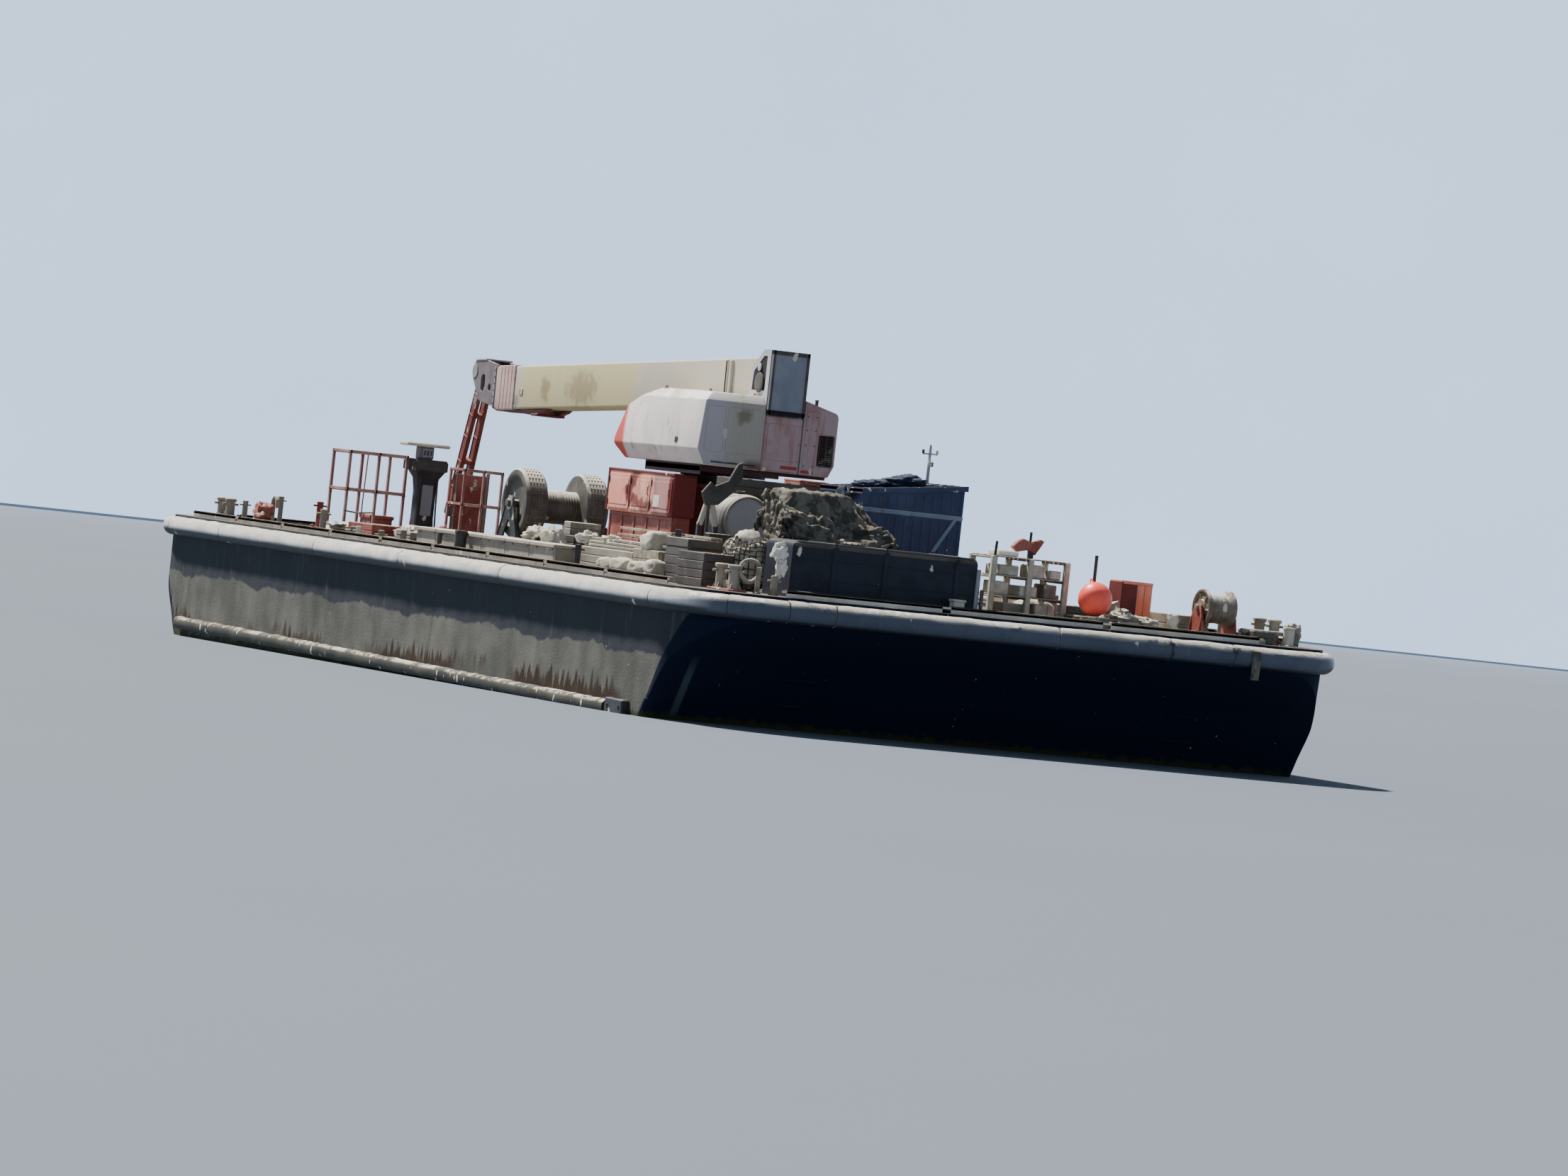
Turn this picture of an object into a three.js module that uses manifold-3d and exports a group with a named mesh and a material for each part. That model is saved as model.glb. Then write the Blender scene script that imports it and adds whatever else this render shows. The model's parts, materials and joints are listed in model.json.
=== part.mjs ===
// Crane work barge: a steel deck barge with rubbing strakes, a pedestal crane with a
// telescoping boom and a hinged jib, a winch, a small cabin and deck gear.
// Millimetres, +Z up. Origin: flat bottom of the hull, amidships, on the centreline.
// +X runs to the end that carries the cabin, -Y is the starboard side here.
import * as THREE from 'three';
import { mergeVertices } from 'three/addons/utils/BufferGeometryUtils.js';
import Module from 'manifold-3d';

const wasm = await Module();
wasm.setup();

// Driving dimensions of the hull.
const LENGTH = 26000;
const BEAM = 11600;
const DEPTH = 2900;
const STRAKE_OUT = 200;
const STRAKE_HEIGHT = 344;
const STRAKE_MID = 2690;
const CORNER = 1330;
const BILGE = 260;
const LOWER_STRAKE_OUT = 130;
const LOWER_STRAKE_MID = 930;
const GAP = 0.3;

const HALF_X = LENGTH / 2 - STRAKE_OUT;
const HALF_Y = BEAM / 2 - STRAKE_OUT;
const DECK = DEPTH + GAP;

// Half-length of the raked ends at each height, from the flat bottom to the deck.
const RAKE = [
  { z: 0, halfX: 10450 },
  { z: 850, halfX: 11200 },
  { z: 1800, halfX: 11880 },
  { z: 2540, halfX: HALF_X },
  { z: DEPTH, halfX: HALF_X },
];

// Driving dimensions of the crane.
const SLEW = { x: 550, y: 0 };
const RING_TOP = 4640;
const PLATFORM = { z0: 4646, z1: 4790, front: -150, rear: 2200, halfY: 1150 };
const HOUSE = { front: -1370, rear: 2300, side: 1280, top: 6030 };
const BAY = { y0: -100, y1: 600 };
const BOOM = { y: 250, width: 600, height: 800, wall: 16, tilt: THREE.MathUtils.degToRad(2) };
const LUFF_PIN = { x: 1900, z: 6270, radius: 70 };
const BOOM_TIP = 11300;
const COLLAR_END = 12300;
const HEAD_END = 13500;
const JIB_PIN = { x: -11610, z: 6170 };
const JIB_FOOT = { x: -12620, z: 3400 };
const LIFT_FOOT = { x: 300, z: 4990 };
const LIFT_EYE = { x: -3400, z: 5480 };

// Colours of the finishes, with roughness and metalness.
const FINISH = {
  hull: [0x5d5a52, 0.85, 0.0],
  strake: [0xa9a599, 0.9, 0.0],
  concrete: [0x9d9686, 0.95, 0.0],
  rust: [0x8a4334, 0.85, 0.1],
  orange: [0xc9603f, 0.8, 0.1],
  cream: [0xd9cfa6, 0.7, 0.0],
  white: [0xd2cdc4, 0.75, 0.0],
  pink: [0xb7a09c, 0.8, 0.0],
  grey: [0x84868a, 0.75, 0.1],
  dark: [0x2f3236, 0.8, 0.1],
  blue: [0x3d5877, 0.75, 0.0],
  glass: [0x29343d, 0.2, 0.0],
  steel: [0x9c9fa2, 0.35, 0.8],
  guano: [0xbdb8a8, 0.95, 0.0],
  buoy: [0xe8452b, 0.5, 0.0],
  tarp: [0x77746a, 0.95, 0.0],
};

const barge = new THREE.Group();

// Solids.

function solid(geometry) {
  const bare = geometry.clone();
  bare.deleteAttribute('normal');
  bare.deleteAttribute('uv');
  const merged = mergeVertices(bare, 1e-3);
  return new wasm.Manifold(new wasm.Mesh({
    numProp: 3,
    vertProperties: Float32Array.from(merged.attributes.position.array),
    triVerts: Uint32Array.from(merged.index.array),
  }));
}

function geometryOf(manifold) {
  const mesh = manifold.getMesh();
  const geometry = new THREE.BufferGeometry();
  geometry.setAttribute('position', new THREE.BufferAttribute(mesh.vertProperties, 3));
  geometry.setIndex(new THREE.BufferAttribute(mesh.triVerts, 1));
  geometry.computeVertexNormals();
  return geometry;
}

const join = (...parts) => parts.reduce((whole, part) => whole.add(part));
const cut = (whole, ...parts) => parts.reduce((left, part) => left.subtract(part), whole);

function block(x0, x1, y0, y1, z0, z1) {
  const geometry = new THREE.BoxGeometry(x1 - x0, y1 - y0, z1 - z0);
  return solid(geometry.translate((x0 + x1) / 2, (y0 + y1) / 2, (z0 + z1) / 2));
}

function bar(from, to, radius, sides = 10) {
  const a = new THREE.Vector3(...from);
  const b = new THREE.Vector3(...to);
  const along = b.clone().sub(a);
  const geometry = new THREE.CylinderGeometry(radius, radius, along.length(), sides);
  const turn = new THREE.Quaternion().setFromUnitVectors(new THREE.Vector3(0, 1, 0), along.normalize());
  geometry.applyQuaternion(turn);
  geometry.translate(...a.add(b).multiplyScalar(0.5).toArray());
  return solid(geometry);
}

function outline(points) {
  const shape = new THREE.Shape();
  points.forEach(([u, v], i) => (i ? shape.lineTo(u, v) : shape.moveTo(u, v)));
  return shape;
}

// Extrusions of a flat outline along each axis. The outline's u and v are the two
// other axes: x and y along Z, x and z along Y, y and z along X.
const flat = (shape, length) =>
  new THREE.ExtrudeGeometry(shape, { depth: length, bevelEnabled: false, curveSegments: 6 });
const alongZ = (shape, z0, z1) => solid(flat(shape, z1 - z0).translate(0, 0, z0));
const alongY = (shape, y0, y1) => solid(flat(shape, y1 - y0).rotateX(Math.PI / 2).translate(0, y1, 0));
const alongX = (shape, x0, x1) =>
  solid(flat(shape, x1 - x0).rotateX(Math.PI / 2).rotateZ(Math.PI / 2).translate(x0, 0, 0));

function roundedPlan(halfX, halfY, radius) {
  const shape = new THREE.Shape();
  const cx = halfX - radius;
  const cy = halfY - radius;
  shape.absarc(cx, cy, radius, 0, Math.PI / 2);
  shape.absarc(-cx, cy, radius, Math.PI / 2, Math.PI);
  shape.absarc(-cx, -cy, radius, Math.PI, Math.PI * 1.5);
  shape.absarc(cx, -cy, radius, Math.PI * 1.5, Math.PI * 2);
  return shape;
}

// A body turned about an upright axis at (x, y), from a profile of [radius, height].
function turned(profile, x, y, sides = 24) {
  const points = profile.map(([r, z]) => new THREE.Vector2(r, z));
  const geometry = new THREE.LatheGeometry(points, sides);
  return solid(geometry.rotateX(Math.PI / 2).translate(x, y, 0));
}

// The same, about an axis along Y through (x, z).
function turnedAcross(profile, x, z, sides = 28) {
  const points = profile.map(([r, y]) => new THREE.Vector2(r, y));
  const geometry = new THREE.LatheGeometry(points, sides);
  return solid(geometry.translate(x, 0, z));
}

function add(name, body, finish, parent = barge) {
  const [color, roughness, metalness] = FINISH[finish];
  const material = new THREE.MeshStandardMaterial({ color, roughness, metalness });
  const mesh = new THREE.Mesh(geometryOf(body), material);
  mesh.name = name;
  parent.add(mesh);
  return mesh;
}

// Hull: side profile, plan and midship section crossed with each other.

const sideProfile = outline([
  ...RAKE.map(({ z, halfX }) => [halfX, z]),
  ...[...RAKE].reverse().map(({ z, halfX }) => [-halfX, z]),
]);

function sectionProfile() {
  const shape = new THREE.Shape();
  shape.moveTo(HALF_Y, DEPTH);
  shape.lineTo(-HALF_Y, DEPTH);
  shape.absarc(-HALF_Y + BILGE, BILGE, BILGE, Math.PI, Math.PI * 1.5);
  shape.absarc(HALF_Y - BILGE, BILGE, BILGE, Math.PI * 1.5, Math.PI * 2);
  return shape;
}

// A raised doubler plate marks where cargo is set down on the deck.
const CARGO_PLATE = { x0: 2200, x1: 6900, y0: 1600, y1: 4800, thick: 12 };

function hullBody() {
  const { x0, x1, y0, y1, thick } = CARGO_PLATE;
  const shell = alongY(sideProfile, -HALF_Y, HALF_Y)
    .intersect(alongZ(roundedPlan(HALF_X, HALF_Y, CORNER), 0, DEPTH))
    .intersect(alongX(sectionProfile(), -HALF_X, HALF_X));
  return join(shell, block(x0, x1, y0, y1, DEPTH - thick, DEPTH + thick));
}
add('hull', hullBody(), 'hull');

// Upper rubbing strake: a half-round belt in four lengths.

function strakeBelt() {
  const half = STRAKE_HEIGHT / 2;
  const plate = new THREE.ExtrudeGeometry(roundedPlan(HALF_X, HALF_Y, CORNER), {
    depth: 2,
    bevelEnabled: true,
    bevelThickness: half - 1,
    bevelSize: STRAKE_OUT,
    bevelSegments: 4,
    curveSegments: 6,
  });
  const belt = solid(plate.translate(0, 0, STRAKE_MID - 1));
  const inside = roundedPlan(HALF_X + GAP, HALF_Y + GAP, CORNER + GAP);
  return cut(belt, alongZ(inside, 0, DEPTH * 2));
}

const belt = strakeBelt();
const beltJoint = HALF_X - CORNER;
const beyond = LENGTH;
[
  ['strake_near', beltJoint, beyond, -beyond, beyond],
  ['strake_far', -beyond, -beltJoint, -beyond, beyond],
  ['strake_port', GAP - beltJoint, beltJoint - GAP, 0, beyond],
  ['strake_starboard', GAP - beltJoint, beltJoint - GAP, -beyond, 0],
].forEach(([name, x0, x1, y0, y1]) => {
  add(name, belt.intersect(block(x0, x1, y0, y1, 0, DEPTH * 2)), 'strake');
});

// Lower rubbing strakes along both sides.

const LOWER_STRAKE = { halfHeight: 120, chamfer: 45, face: 45, lip: 15, endX: 10750 };

[['lower_strake_port', 1], ['lower_strake_starboard', -1]].forEach(([name, side]) => {
  const { halfHeight, chamfer, face, lip, endX } = LOWER_STRAKE;
  const inner = side * (HALF_Y + GAP);
  const outer = side * (HALF_Y + LOWER_STRAKE_OUT);
  const profile = outline([
    [inner, LOWER_STRAKE_MID - halfHeight],
    [outer - side * chamfer, LOWER_STRAKE_MID - halfHeight + lip],
    [outer, LOWER_STRAKE_MID - face],
    [outer, LOWER_STRAKE_MID + face],
    [outer - side * chamfer, LOWER_STRAKE_MID + halfHeight - lip],
    [inner, LOWER_STRAKE_MID + halfHeight],
  ]);
  add(name, alongX(profile, -endX, endX), 'strake');
});

// Deck kerbs.

const KERB = { width: 90, height: 110, inset: 300, endX: 11300, endY: 4100 };
const kerbY = HALF_Y - KERB.inset;
const kerbX = HALF_X - KERB.inset;
[
  ['kerb_port', -KERB.endX, KERB.endX, kerbY, kerbY + KERB.width],
  ['kerb_starboard', -KERB.endX, KERB.endX, -kerbY - KERB.width, -kerbY],
  ['kerb_near', kerbX, kerbX + KERB.width, -KERB.endY, KERB.endY],
  ['kerb_far', -kerbX - KERB.width, -kerbX, -KERB.endY, KERB.endY],
].forEach(([name, x0, x1, y0, y1]) => {
  add(name, block(x0, x1, y0, y1, DECK, DECK + KERB.height), 'strake');
});

// Twin mooring bitts at the four corners.

const BITTS = { x: 11700, y: 4620, height: 400, radius: 85, spread: 240 };

function bitts(x, y) {
  const base = block(x - 420, x + 420, y - 150, y + 150, DECK, DECK + 40);
  const posts = [-1, 1].map((end) => {
    const px = x + end * BITTS.spread;
    const top = DECK + BITTS.height;
    return turned([
      [0, DECK + 20],
      [BITTS.radius, DECK + 20],
      [BITTS.radius, top - 60],
      [BITTS.radius + 25, top - 50],
      [BITTS.radius + 25, top],
      [0, top],
    ], px, y, 14);
  });
  return join(base, ...posts);
}

[
  ['bitts_near_port', 1, 1],
  ['bitts_near_starboard', 1, -1],
  ['bitts_far_port', -1, 1],
  ['bitts_far_starboard', -1, -1],
].forEach(([name, endX, endY]) => {
  add(name, bitts(endX * BITTS.x, endY * BITTS.y), 'guano');
});

// Crane pedestal, the machinery box beside it and the slewing ring.

const PEDESTAL_TOP = 4470;
add('crane_pedestal', turned([
  [0, DECK], [820, DECK], [820, DECK + 60], [540, DECK + 60], [540, PEDESTAL_TOP - 80],
  [760, PEDESTAL_TOP - 60], [760, PEDESTAL_TOP], [0, PEDESTAL_TOP],
], SLEW.x, SLEW.y), 'rust');

add('slewing_ring', turned([
  [0, PEDESTAL_TOP + GAP], [700, PEDESTAL_TOP + GAP], [700, RING_TOP - 70],
  [730, RING_TOP - 70], [730, RING_TOP], [0, RING_TOP],
], SLEW.x, SLEW.y), 'dark');

add('machinery_box', join(
  block(-1400, 1500, -1300, -870, 3860, 4600),
  block(-1330, 1430, -1230, -900, DECK, 3870),
), 'orange');

// Revolving part of the crane.

const upper = new THREE.Group();
barge.add(upper);

add('crane_platform', join(
  block(PLATFORM.front, PLATFORM.rear, -PLATFORM.halfY, PLATFORM.halfY, PLATFORM.z0 + 30, PLATFORM.z1),
  turned([
    [0, PLATFORM.z0], [720, PLATFORM.z0], [720, PLATFORM.z0 + 60], [0, PLATFORM.z0 + 60],
  ], SLEW.x, SLEW.y),
  block(LIFT_FOOT.x - 130, LIFT_FOOT.x + 130, BOOM.y - 175, BOOM.y - 125, PLATFORM.z1 - 10, 5110),
  block(LIFT_FOOT.x - 130, LIFT_FOOT.x + 130, BOOM.y + 125, BOOM.y + 175, PLATFORM.z1 - 10, 5110),
  bar([LIFT_FOOT.x, BOOM.y - 185, LIFT_FOOT.z], [LIFT_FOOT.x, BOOM.y + 185, LIFT_FOOT.z], 45, 16),
), 'rust', upper);

const HOUSE_Z0 = PLATFORM.z1 + GAP;

function engineHood() {
  const side = outline([
    [-1130, HOUSE_Z0], [HOUSE.rear, HOUSE_Z0], [HOUSE.rear, HOUSE.top - 150], [HOUSE.rear - 150, HOUSE.top],
    [-60, HOUSE.top], [-1020, 5700], [HOUSE.front, 5150], [HOUSE.front, 4990],
  ]);
  const section = outline([
    [BAY.y0 - 10, HOUSE_Z0], [BAY.y0 - 10, HOUSE.top], [-HOUSE.side + 230, HOUSE.top],
    [-HOUSE.side + 70, HOUSE.top - 150], [-HOUSE.side, 5050], [-HOUSE.side + 140, HOUSE_Z0],
  ].reverse());
  return alongY(side, -HOUSE.side, BAY.y0 - 10).intersect(alongX(section, HOUSE.front, HOUSE.rear));
}
add('engine_hood', engineHood(), 'white', upper);

const PUMP = { front: -500, y0: BAY.y1 + 10, y1: 1245, grille: { y0: 920, y1: 1205, z0: 4960, z1: 5500 } };

function pumpHousing() {
  const shape = new THREE.Shape();
  shape.moveTo(PUMP.y0, HOUSE_Z0);
  shape.lineTo(PUMP.y1 - 95, HOUSE_Z0);
  shape.lineTo(PUMP.y1, HOUSE_Z0 + 200);
  shape.absarc(PUMP.y1 - 100, HOUSE.top - 235, 100, 0, Math.PI * 0.4);
  shape.lineTo(PUMP.y0, HOUSE.top + 10);
  const { y0, y1, z0, z1 } = PUMP.grille;
  const recess = block(HOUSE.rear - 40, HOUSE.rear + 40, y0, y1, z0, z1);
  return cut(alongX(shape, PUMP.front, HOUSE.rear), recess);
}
add('pump_housing', pumpHousing(), 'pink', upper);

function grille() {
  const { y0, y1, z0, z1 } = PUMP.grille;
  const back = block(HOUSE.rear - 39, HOUSE.rear - 28, y0 + 5, y1 - 5, z0 + 5, z1 - 5);
  const slats = Array.from({ length: 8 }, (_, i) => {
    const z = z0 + 40 + i * 60;
    return block(HOUSE.rear - 34, HOUSE.rear - 6, y0 + 5, y1 - 5, z, z + 22);
  });
  return join(back, ...slats);
}
add('radiator_grille', grille(), 'dark', upper);

const WEIGHT = { x0: 2204, top: 5740 };
add('counterweight', block(WEIGHT.x0, HOUSE.rear, BAY.y0, BAY.y1, HOUSE_Z0, WEIGHT.top), 'grey', upper);

// The bracket's back plate stands over the counterweight, clear of the boom's butt.
const BRACKET = { front: 700, foot: 2200, rear: 2300, top: 6830, plate: 40 };

function boomBracket() {
  const { front, foot, rear, top, plate } = BRACKET;
  const ledge = WEIGHT.top + 10;
  const side = outline([
    [front, HOUSE_Z0], [foot, HOUSE_Z0], [foot, ledge], [rear, ledge], [rear, top],
    [1960, top], [1520, 6500], [1480, 6080], [front, 5300],
  ]);
  const cheeks = [[BAY.y0, BAY.y0 + plate], [BAY.y1 - plate, BAY.y1]].map(([y0, y1]) => alongY(side, y0, y1));
  const back = block(rear - plate, rear, BAY.y0, BAY.y1, ledge, top);
  const sole = block(front, foot, BAY.y0, BAY.y1, HOUSE_Z0, HOUSE_Z0 + 30);
  const pin = bar(
    [LUFF_PIN.x, BAY.y0 - 5, LUFF_PIN.z], [LUFF_PIN.x, BAY.y1 + 5, LUFF_PIN.z], LUFF_PIN.radius, 20,
  );
  return join(...cheeks, back, sole, pin);
}
add('boom_bracket', boomBracket(), 'grey', upper);

// Boom, drawn along -X from the luffing pin and then tipped to its resting slope.

const boom = new THREE.Group();
boom.position.set(LUFF_PIN.x, BOOM.y, LUFF_PIN.z);
boom.rotation.y = -BOOM.tilt;
upper.add(boom);

const BOOM_LOW = -BOOM.height / 2 + 30;
const BOOM_HIGH = BOOM_LOW + BOOM.height;
const boomHalf = BOOM.width / 2;
const CHEEK_CLEAR = 50;

function boomMain() {
  const butt = alongY(outline([
    [-1500, BOOM_LOW], [-200, BOOM_LOW + 60], [160, BOOM_LOW + 220],
    [210, 0], [180, 190], [-200, BOOM_HIGH], [-1500, BOOM_HIGH],
  ]), -boomHalf + CHEEK_CLEAR, boomHalf - CHEEK_CLEAR);
  const front = block(-BOOM_TIP, -1400, -boomHalf, boomHalf, BOOM_LOW, BOOM_HIGH);
  const { wall } = BOOM;
  const hollow = block(
    -BOOM_TIP - 10, -1600, -boomHalf + wall, boomHalf - wall, BOOM_LOW + wall, BOOM_HIGH - wall,
  );
  const bore = bar([0, -boomHalf - 10, 0], [0, boomHalf + 10, 0], LUFF_PIN.radius + 5, 20);
  const lugX = LIFT_EYE.x - LUFF_PIN.x;
  const lugs = [-1, 1].map((side) => block(
    lugX - 170, lugX + 130, side > 0 ? 75 : -115, side > 0 ? 115 : -75, BOOM_LOW - 330, BOOM_LOW + 10,
  ));
  return cut(join(butt, front, ...lugs), hollow, bore);
}
add('boom_main', boomMain(), 'cream', boom);

function boomCollar() {
  const ring = (x0, x1, grow) => block(
    x0, x1, -boomHalf - grow, boomHalf + grow, BOOM_LOW - grow, BOOM_HIGH + grow,
  );
  const body = ring(-COLLAR_END + 80, -BOOM_TIP - GAP, 5);
  const ribs = [0, 1, 2, 3, 4].map((i) => ring(-BOOM_TIP - 130 - i * 170, -BOOM_TIP - 60 - i * 170, 45));
  const hole = block(
    -COLLAR_END - 100, 0, -boomHalf + BOOM.wall + 4, boomHalf - BOOM.wall - 4,
    BOOM_LOW + BOOM.wall + 4, BOOM_HIGH - BOOM.wall - 4,
  );
  return cut(join(body, ...ribs), hole);
}
add('boom_collar', boomCollar(), 'pink', boom);

const INNER = { height: 720, width: 520, wall: 14, start: 4300 };

function boomInner() {
  const mid = (BOOM_LOW + BOOM_HIGH) / 2;
  const z = INNER.height / 2;
  const y = INNER.width / 2;
  const body = block(-COLLAR_END - 60, -INNER.start, -y, y, mid - z, mid + z);
  const hollow = block(
    -COLLAR_END, -INNER.start + 10, -y + INNER.wall, y - INNER.wall,
    mid - z + INNER.wall, mid + z - INNER.wall,
  );
  return cut(body, hollow);
}
add('boom_inner', boomInner(), 'grey', boom);

// The jib's pin in the boom's own axes.
const jibPin = new THREE.Vector3(JIB_PIN.x - LUFF_PIN.x, 0, JIB_PIN.z - LUFF_PIN.z)
  .applyAxisAngle(new THREE.Vector3(0, 1, 0), BOOM.tilt);

// The head's web stops short of the space that the jib needs when it folds in under the boom.
function boomHead() {
  const start = -COLLAR_END - 60 - GAP;
  const side = outline([
    [start, BOOM_LOW + 40], [start, BOOM_HIGH + 40], [-HEAD_END + 500, BOOM_HIGH + 150],
    [-HEAD_END - 20, BOOM_HIGH + 150], [-HEAD_END - 120, jibPin.z + 60], [-HEAD_END - 120, jibPin.z - 120],
    [-HEAD_END + 250, BOOM_LOW + 190],
  ]);
  const cheeks = [[-250, -198], [198, 250]].map(([y0, y1]) => alongY(side, y0, y1));
  const web = alongY(outline([
    [start, BOOM_LOW + 200], [-HEAD_END + 760, BOOM_LOW + 200], [-HEAD_END + 190, BOOM_HIGH - 60],
    [start, BOOM_HIGH - 60],
  ]), -220, 220);
  const cap = block(-HEAD_END + 60, -HEAD_END + 560, -250, 250, BOOM_HIGH + 130, BOOM_HIGH + 170);
  const pin = bar([jibPin.x, -258, jibPin.z], [jibPin.x, 258, jibPin.z], 45, 16);
  return join(...cheeks, web, cap, pin);
}
add('boom_head', boomHead(), 'pink', boom);

// Jib: two splayed box members with cross plates, hung from the head.

const jib = new THREE.Group();
const jibDrop = new THREE.Vector2(JIB_FOOT.x - JIB_PIN.x, JIB_FOOT.z - JIB_PIN.z);
jib.position.set(JIB_PIN.x, BOOM.y, JIB_PIN.z);
jib.rotation.y = Math.atan2(-jibDrop.x, -jibDrop.y);
upper.add(jib);

function jibBody() {
  const length = jibDrop.length();
  const member = (side) => {
    const inner = [side * 40, side * 80];
    const outer = [side * 120, side * 165];
    const shape = outline([
      [inner[0], 60], [outer[0], 60], [outer[1], -length], [inner[1], -length],
    ]);
    return alongX(shape, -110, 110);
  };
  const boss = bar([0, -150, 0], [0, 150, 0], 120, 18);
  const plates = [0.3, 0.62, 0.97].map((part) => {
    const reach = 90 + part * 45;
    return block(-95, 95, -reach, reach, -length * part - 40, -length * part + 40);
  });
  const bore = bar([0, -400, 0], [0, 400, 0], 50, 16);
  return cut(join(member(1), member(-1), boss, ...plates), bore);
}
add('jib', jibBody(), 'orange', jib);

// Lift cylinder, drawn along -X from its foot and then turned to reach the rod's eye.

const liftReach = new THREE.Vector2(LIFT_EYE.x - LIFT_FOOT.x, LIFT_EYE.z - LIFT_FOOT.z);
const lift = new THREE.Group();
lift.position.set(LIFT_FOOT.x, BOOM.y, LIFT_FOOT.z);
lift.rotation.y = Math.atan2(liftReach.y, -liftReach.x);
upper.add(lift);

const LIFT = { barrelEnd: 3150, barrelRadius: 105, rodRadius: 62, rodStart: 340, clear: 5 };

function liftBarrel() {
  const eye = bar([0, -90, 0], [0, 90, 0], 95, 18);
  const body = bar([-60, 0, 0], [-LIFT.barrelEnd, 0, 0], LIFT.barrelRadius, 20);
  const gland = bar([-LIFT.barrelEnd + 140, 0, 0], [-LIFT.barrelEnd, 0, 0], LIFT.barrelRadius + 18, 20);
  const hollow = bar([-250, 0, 0], [-LIFT.barrelEnd - 50, 0, 0], LIFT.rodRadius + LIFT.clear, 16);
  const pin = bar([0, -200, 0], [0, 200, 0], 50, 16);
  return cut(join(eye, body, gland), hollow, pin);
}
add('lift_barrel', liftBarrel(), 'grey', lift);

function liftRod() {
  const reach = liftReach.length();
  const body = bar([-LIFT.rodStart, 0, 0], [-reach + 40, 0, 0], LIFT.rodRadius, 16);
  const eye = bar([-reach, -65, 0], [-reach, 65, 0], 90, 18);
  const hole = bar([-reach, -100, 0], [-reach, 100, 0], 45, 16);
  return cut(join(body, eye), hole);
}
add('lift_rod', liftRod(), 'steel', lift);

// Deck winch: a drum with two broad ribbed flanges on a cradle.

const WINCH = { x: -4500, y: -970, z: 3790, radius: 640, core: 300, halfLength: 800, flange: 440, shaft: 70 };

function winchDrum() {
  const { radius, core, halfLength, flange, shaft } = WINCH;
  const outer = halfLength + 130;
  const inner = halfLength - flange;
  const profile = [
    [0, -outer], [shaft, -outer], [shaft, -halfLength + 90], [radius - 190, -halfLength + 60],
    [radius - 120, -halfLength], [radius - 30, -halfLength + 20], [radius, -halfLength + 70],
    [radius, -inner - 70], [radius - 30, -inner - 20], [radius - 110, -inner], [core, -inner],
  ];
  const mirrored = [...profile].reverse().map(([r, y]) => [r, -y]);
  return turnedAcross([...profile, ...mirrored], 0, 0)
    .translate([WINCH.x, WINCH.y, WINCH.z]);
}
add('winch_drum', winchDrum(), 'guano');

function winchFrame() {
  const { x, y, z, halfLength, shaft } = WINCH;
  const side = outline([
    [x - 560, DECK + 60], [x + 560, DECK + 60], [x + 130, z + 40], [x + 90, z + 130],
    [x - 90, z + 130], [x - 130, z + 40],
  ]);
  const stands = [-1, 1].map((end) => {
    const near = y + end * (halfLength + 15);
    const away = y + end * (halfLength + 75);
    return alongY(side, Math.min(near, away), Math.max(near, away));
  });
  const rails = [-1, 1].map((end) => block(
    x + end * 480 - 60, x + end * 480 + 60, y - halfLength - 90, y + halfLength + 90, DECK, DECK + 110,
  ));
  const motor = bar([x, y + halfLength + 60, z - 420], [x, y + halfLength + 420, z - 420], 180, 18);
  const bores = [-1, 1].map((end) => bar(
    [x, y + end * (halfLength - 10), z], [x, y + end * (halfLength + 200), z], shaft + 5, 18,
  ));
  return cut(join(...stands, ...rails, motor), ...bores);
}
add('winch_frame', winchFrame(), 'dark');

// Blue cabin: floor, walls, roof, a hinged door and a window.

const CABIN = { x0: 8000, x1: 9500, y0: -1500, y1: 220, low: 4660, high: 4850, wall: 45, roof: 60 };
const CABIN_DOOR = { x0: 8300, x1: 9060, z0: 3010, z1: 4650 };
const CABIN_WINDOW = { y0: -1100, y1: -300, z0: 3900, z1: 4350 };
const CABIN_FLOOR_TOP = DECK + 70;

// Top of the single-pitch roof at y.
const roofTop = (y) => CABIN.low + (CABIN.high - CABIN.low) * (y - CABIN.y0) / (CABIN.y1 - CABIN.y0);

// Outline of a layer that follows the roof, between two heights measured from the roof's top.
const underRoof = (y0, y1, from, to) => outline([
  [y0, roofTop(y0) + from], [y1, roofTop(y1) + from], [y1, roofTop(y1) + to], [y0, roofTop(y0) + to],
]);

add('cabin_floor', block(CABIN.x0, CABIN.x1, CABIN.y0, CABIN.y1, DECK, CABIN_FLOOR_TOP), 'dark');

function cabinWalls() {
  const { x0, x1, y0, y1, wall } = CABIN;
  const z0 = CABIN_FLOOR_TOP + GAP;
  const walls = outline([
    [y0, z0], [y1, z0], [y1, roofTop(y1) - CABIN.roof - GAP], [y0, roofTop(y0) - CABIN.roof - GAP],
  ]);
  const { y0: w0, y1: w1, z0: sill, z1: head } = CABIN_WINDOW;
  return cut(
    alongX(walls, x0, x1),
    block(x0 + wall, x1 - wall, y0 + wall, y1 - wall, z0 - 10, CABIN.high + 10),
    block(CABIN_DOOR.x0, CABIN_DOOR.x1, y1 - wall - 10, y1 + 10, CABIN_DOOR.z0, CABIN_DOOR.z1),
    block(x0 - 10, x0 + wall + 10, w0, w1, sill, head),
  );
}
add('cabin_walls', cabinWalls(), 'blue');

add('cabin_roof', alongX(
  underRoof(CABIN.y0 - 50, CABIN.y1 + 50, -CABIN.roof, 0), CABIN.x0 - 50, CABIN.x1 + 50,
), 'blue');

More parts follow.
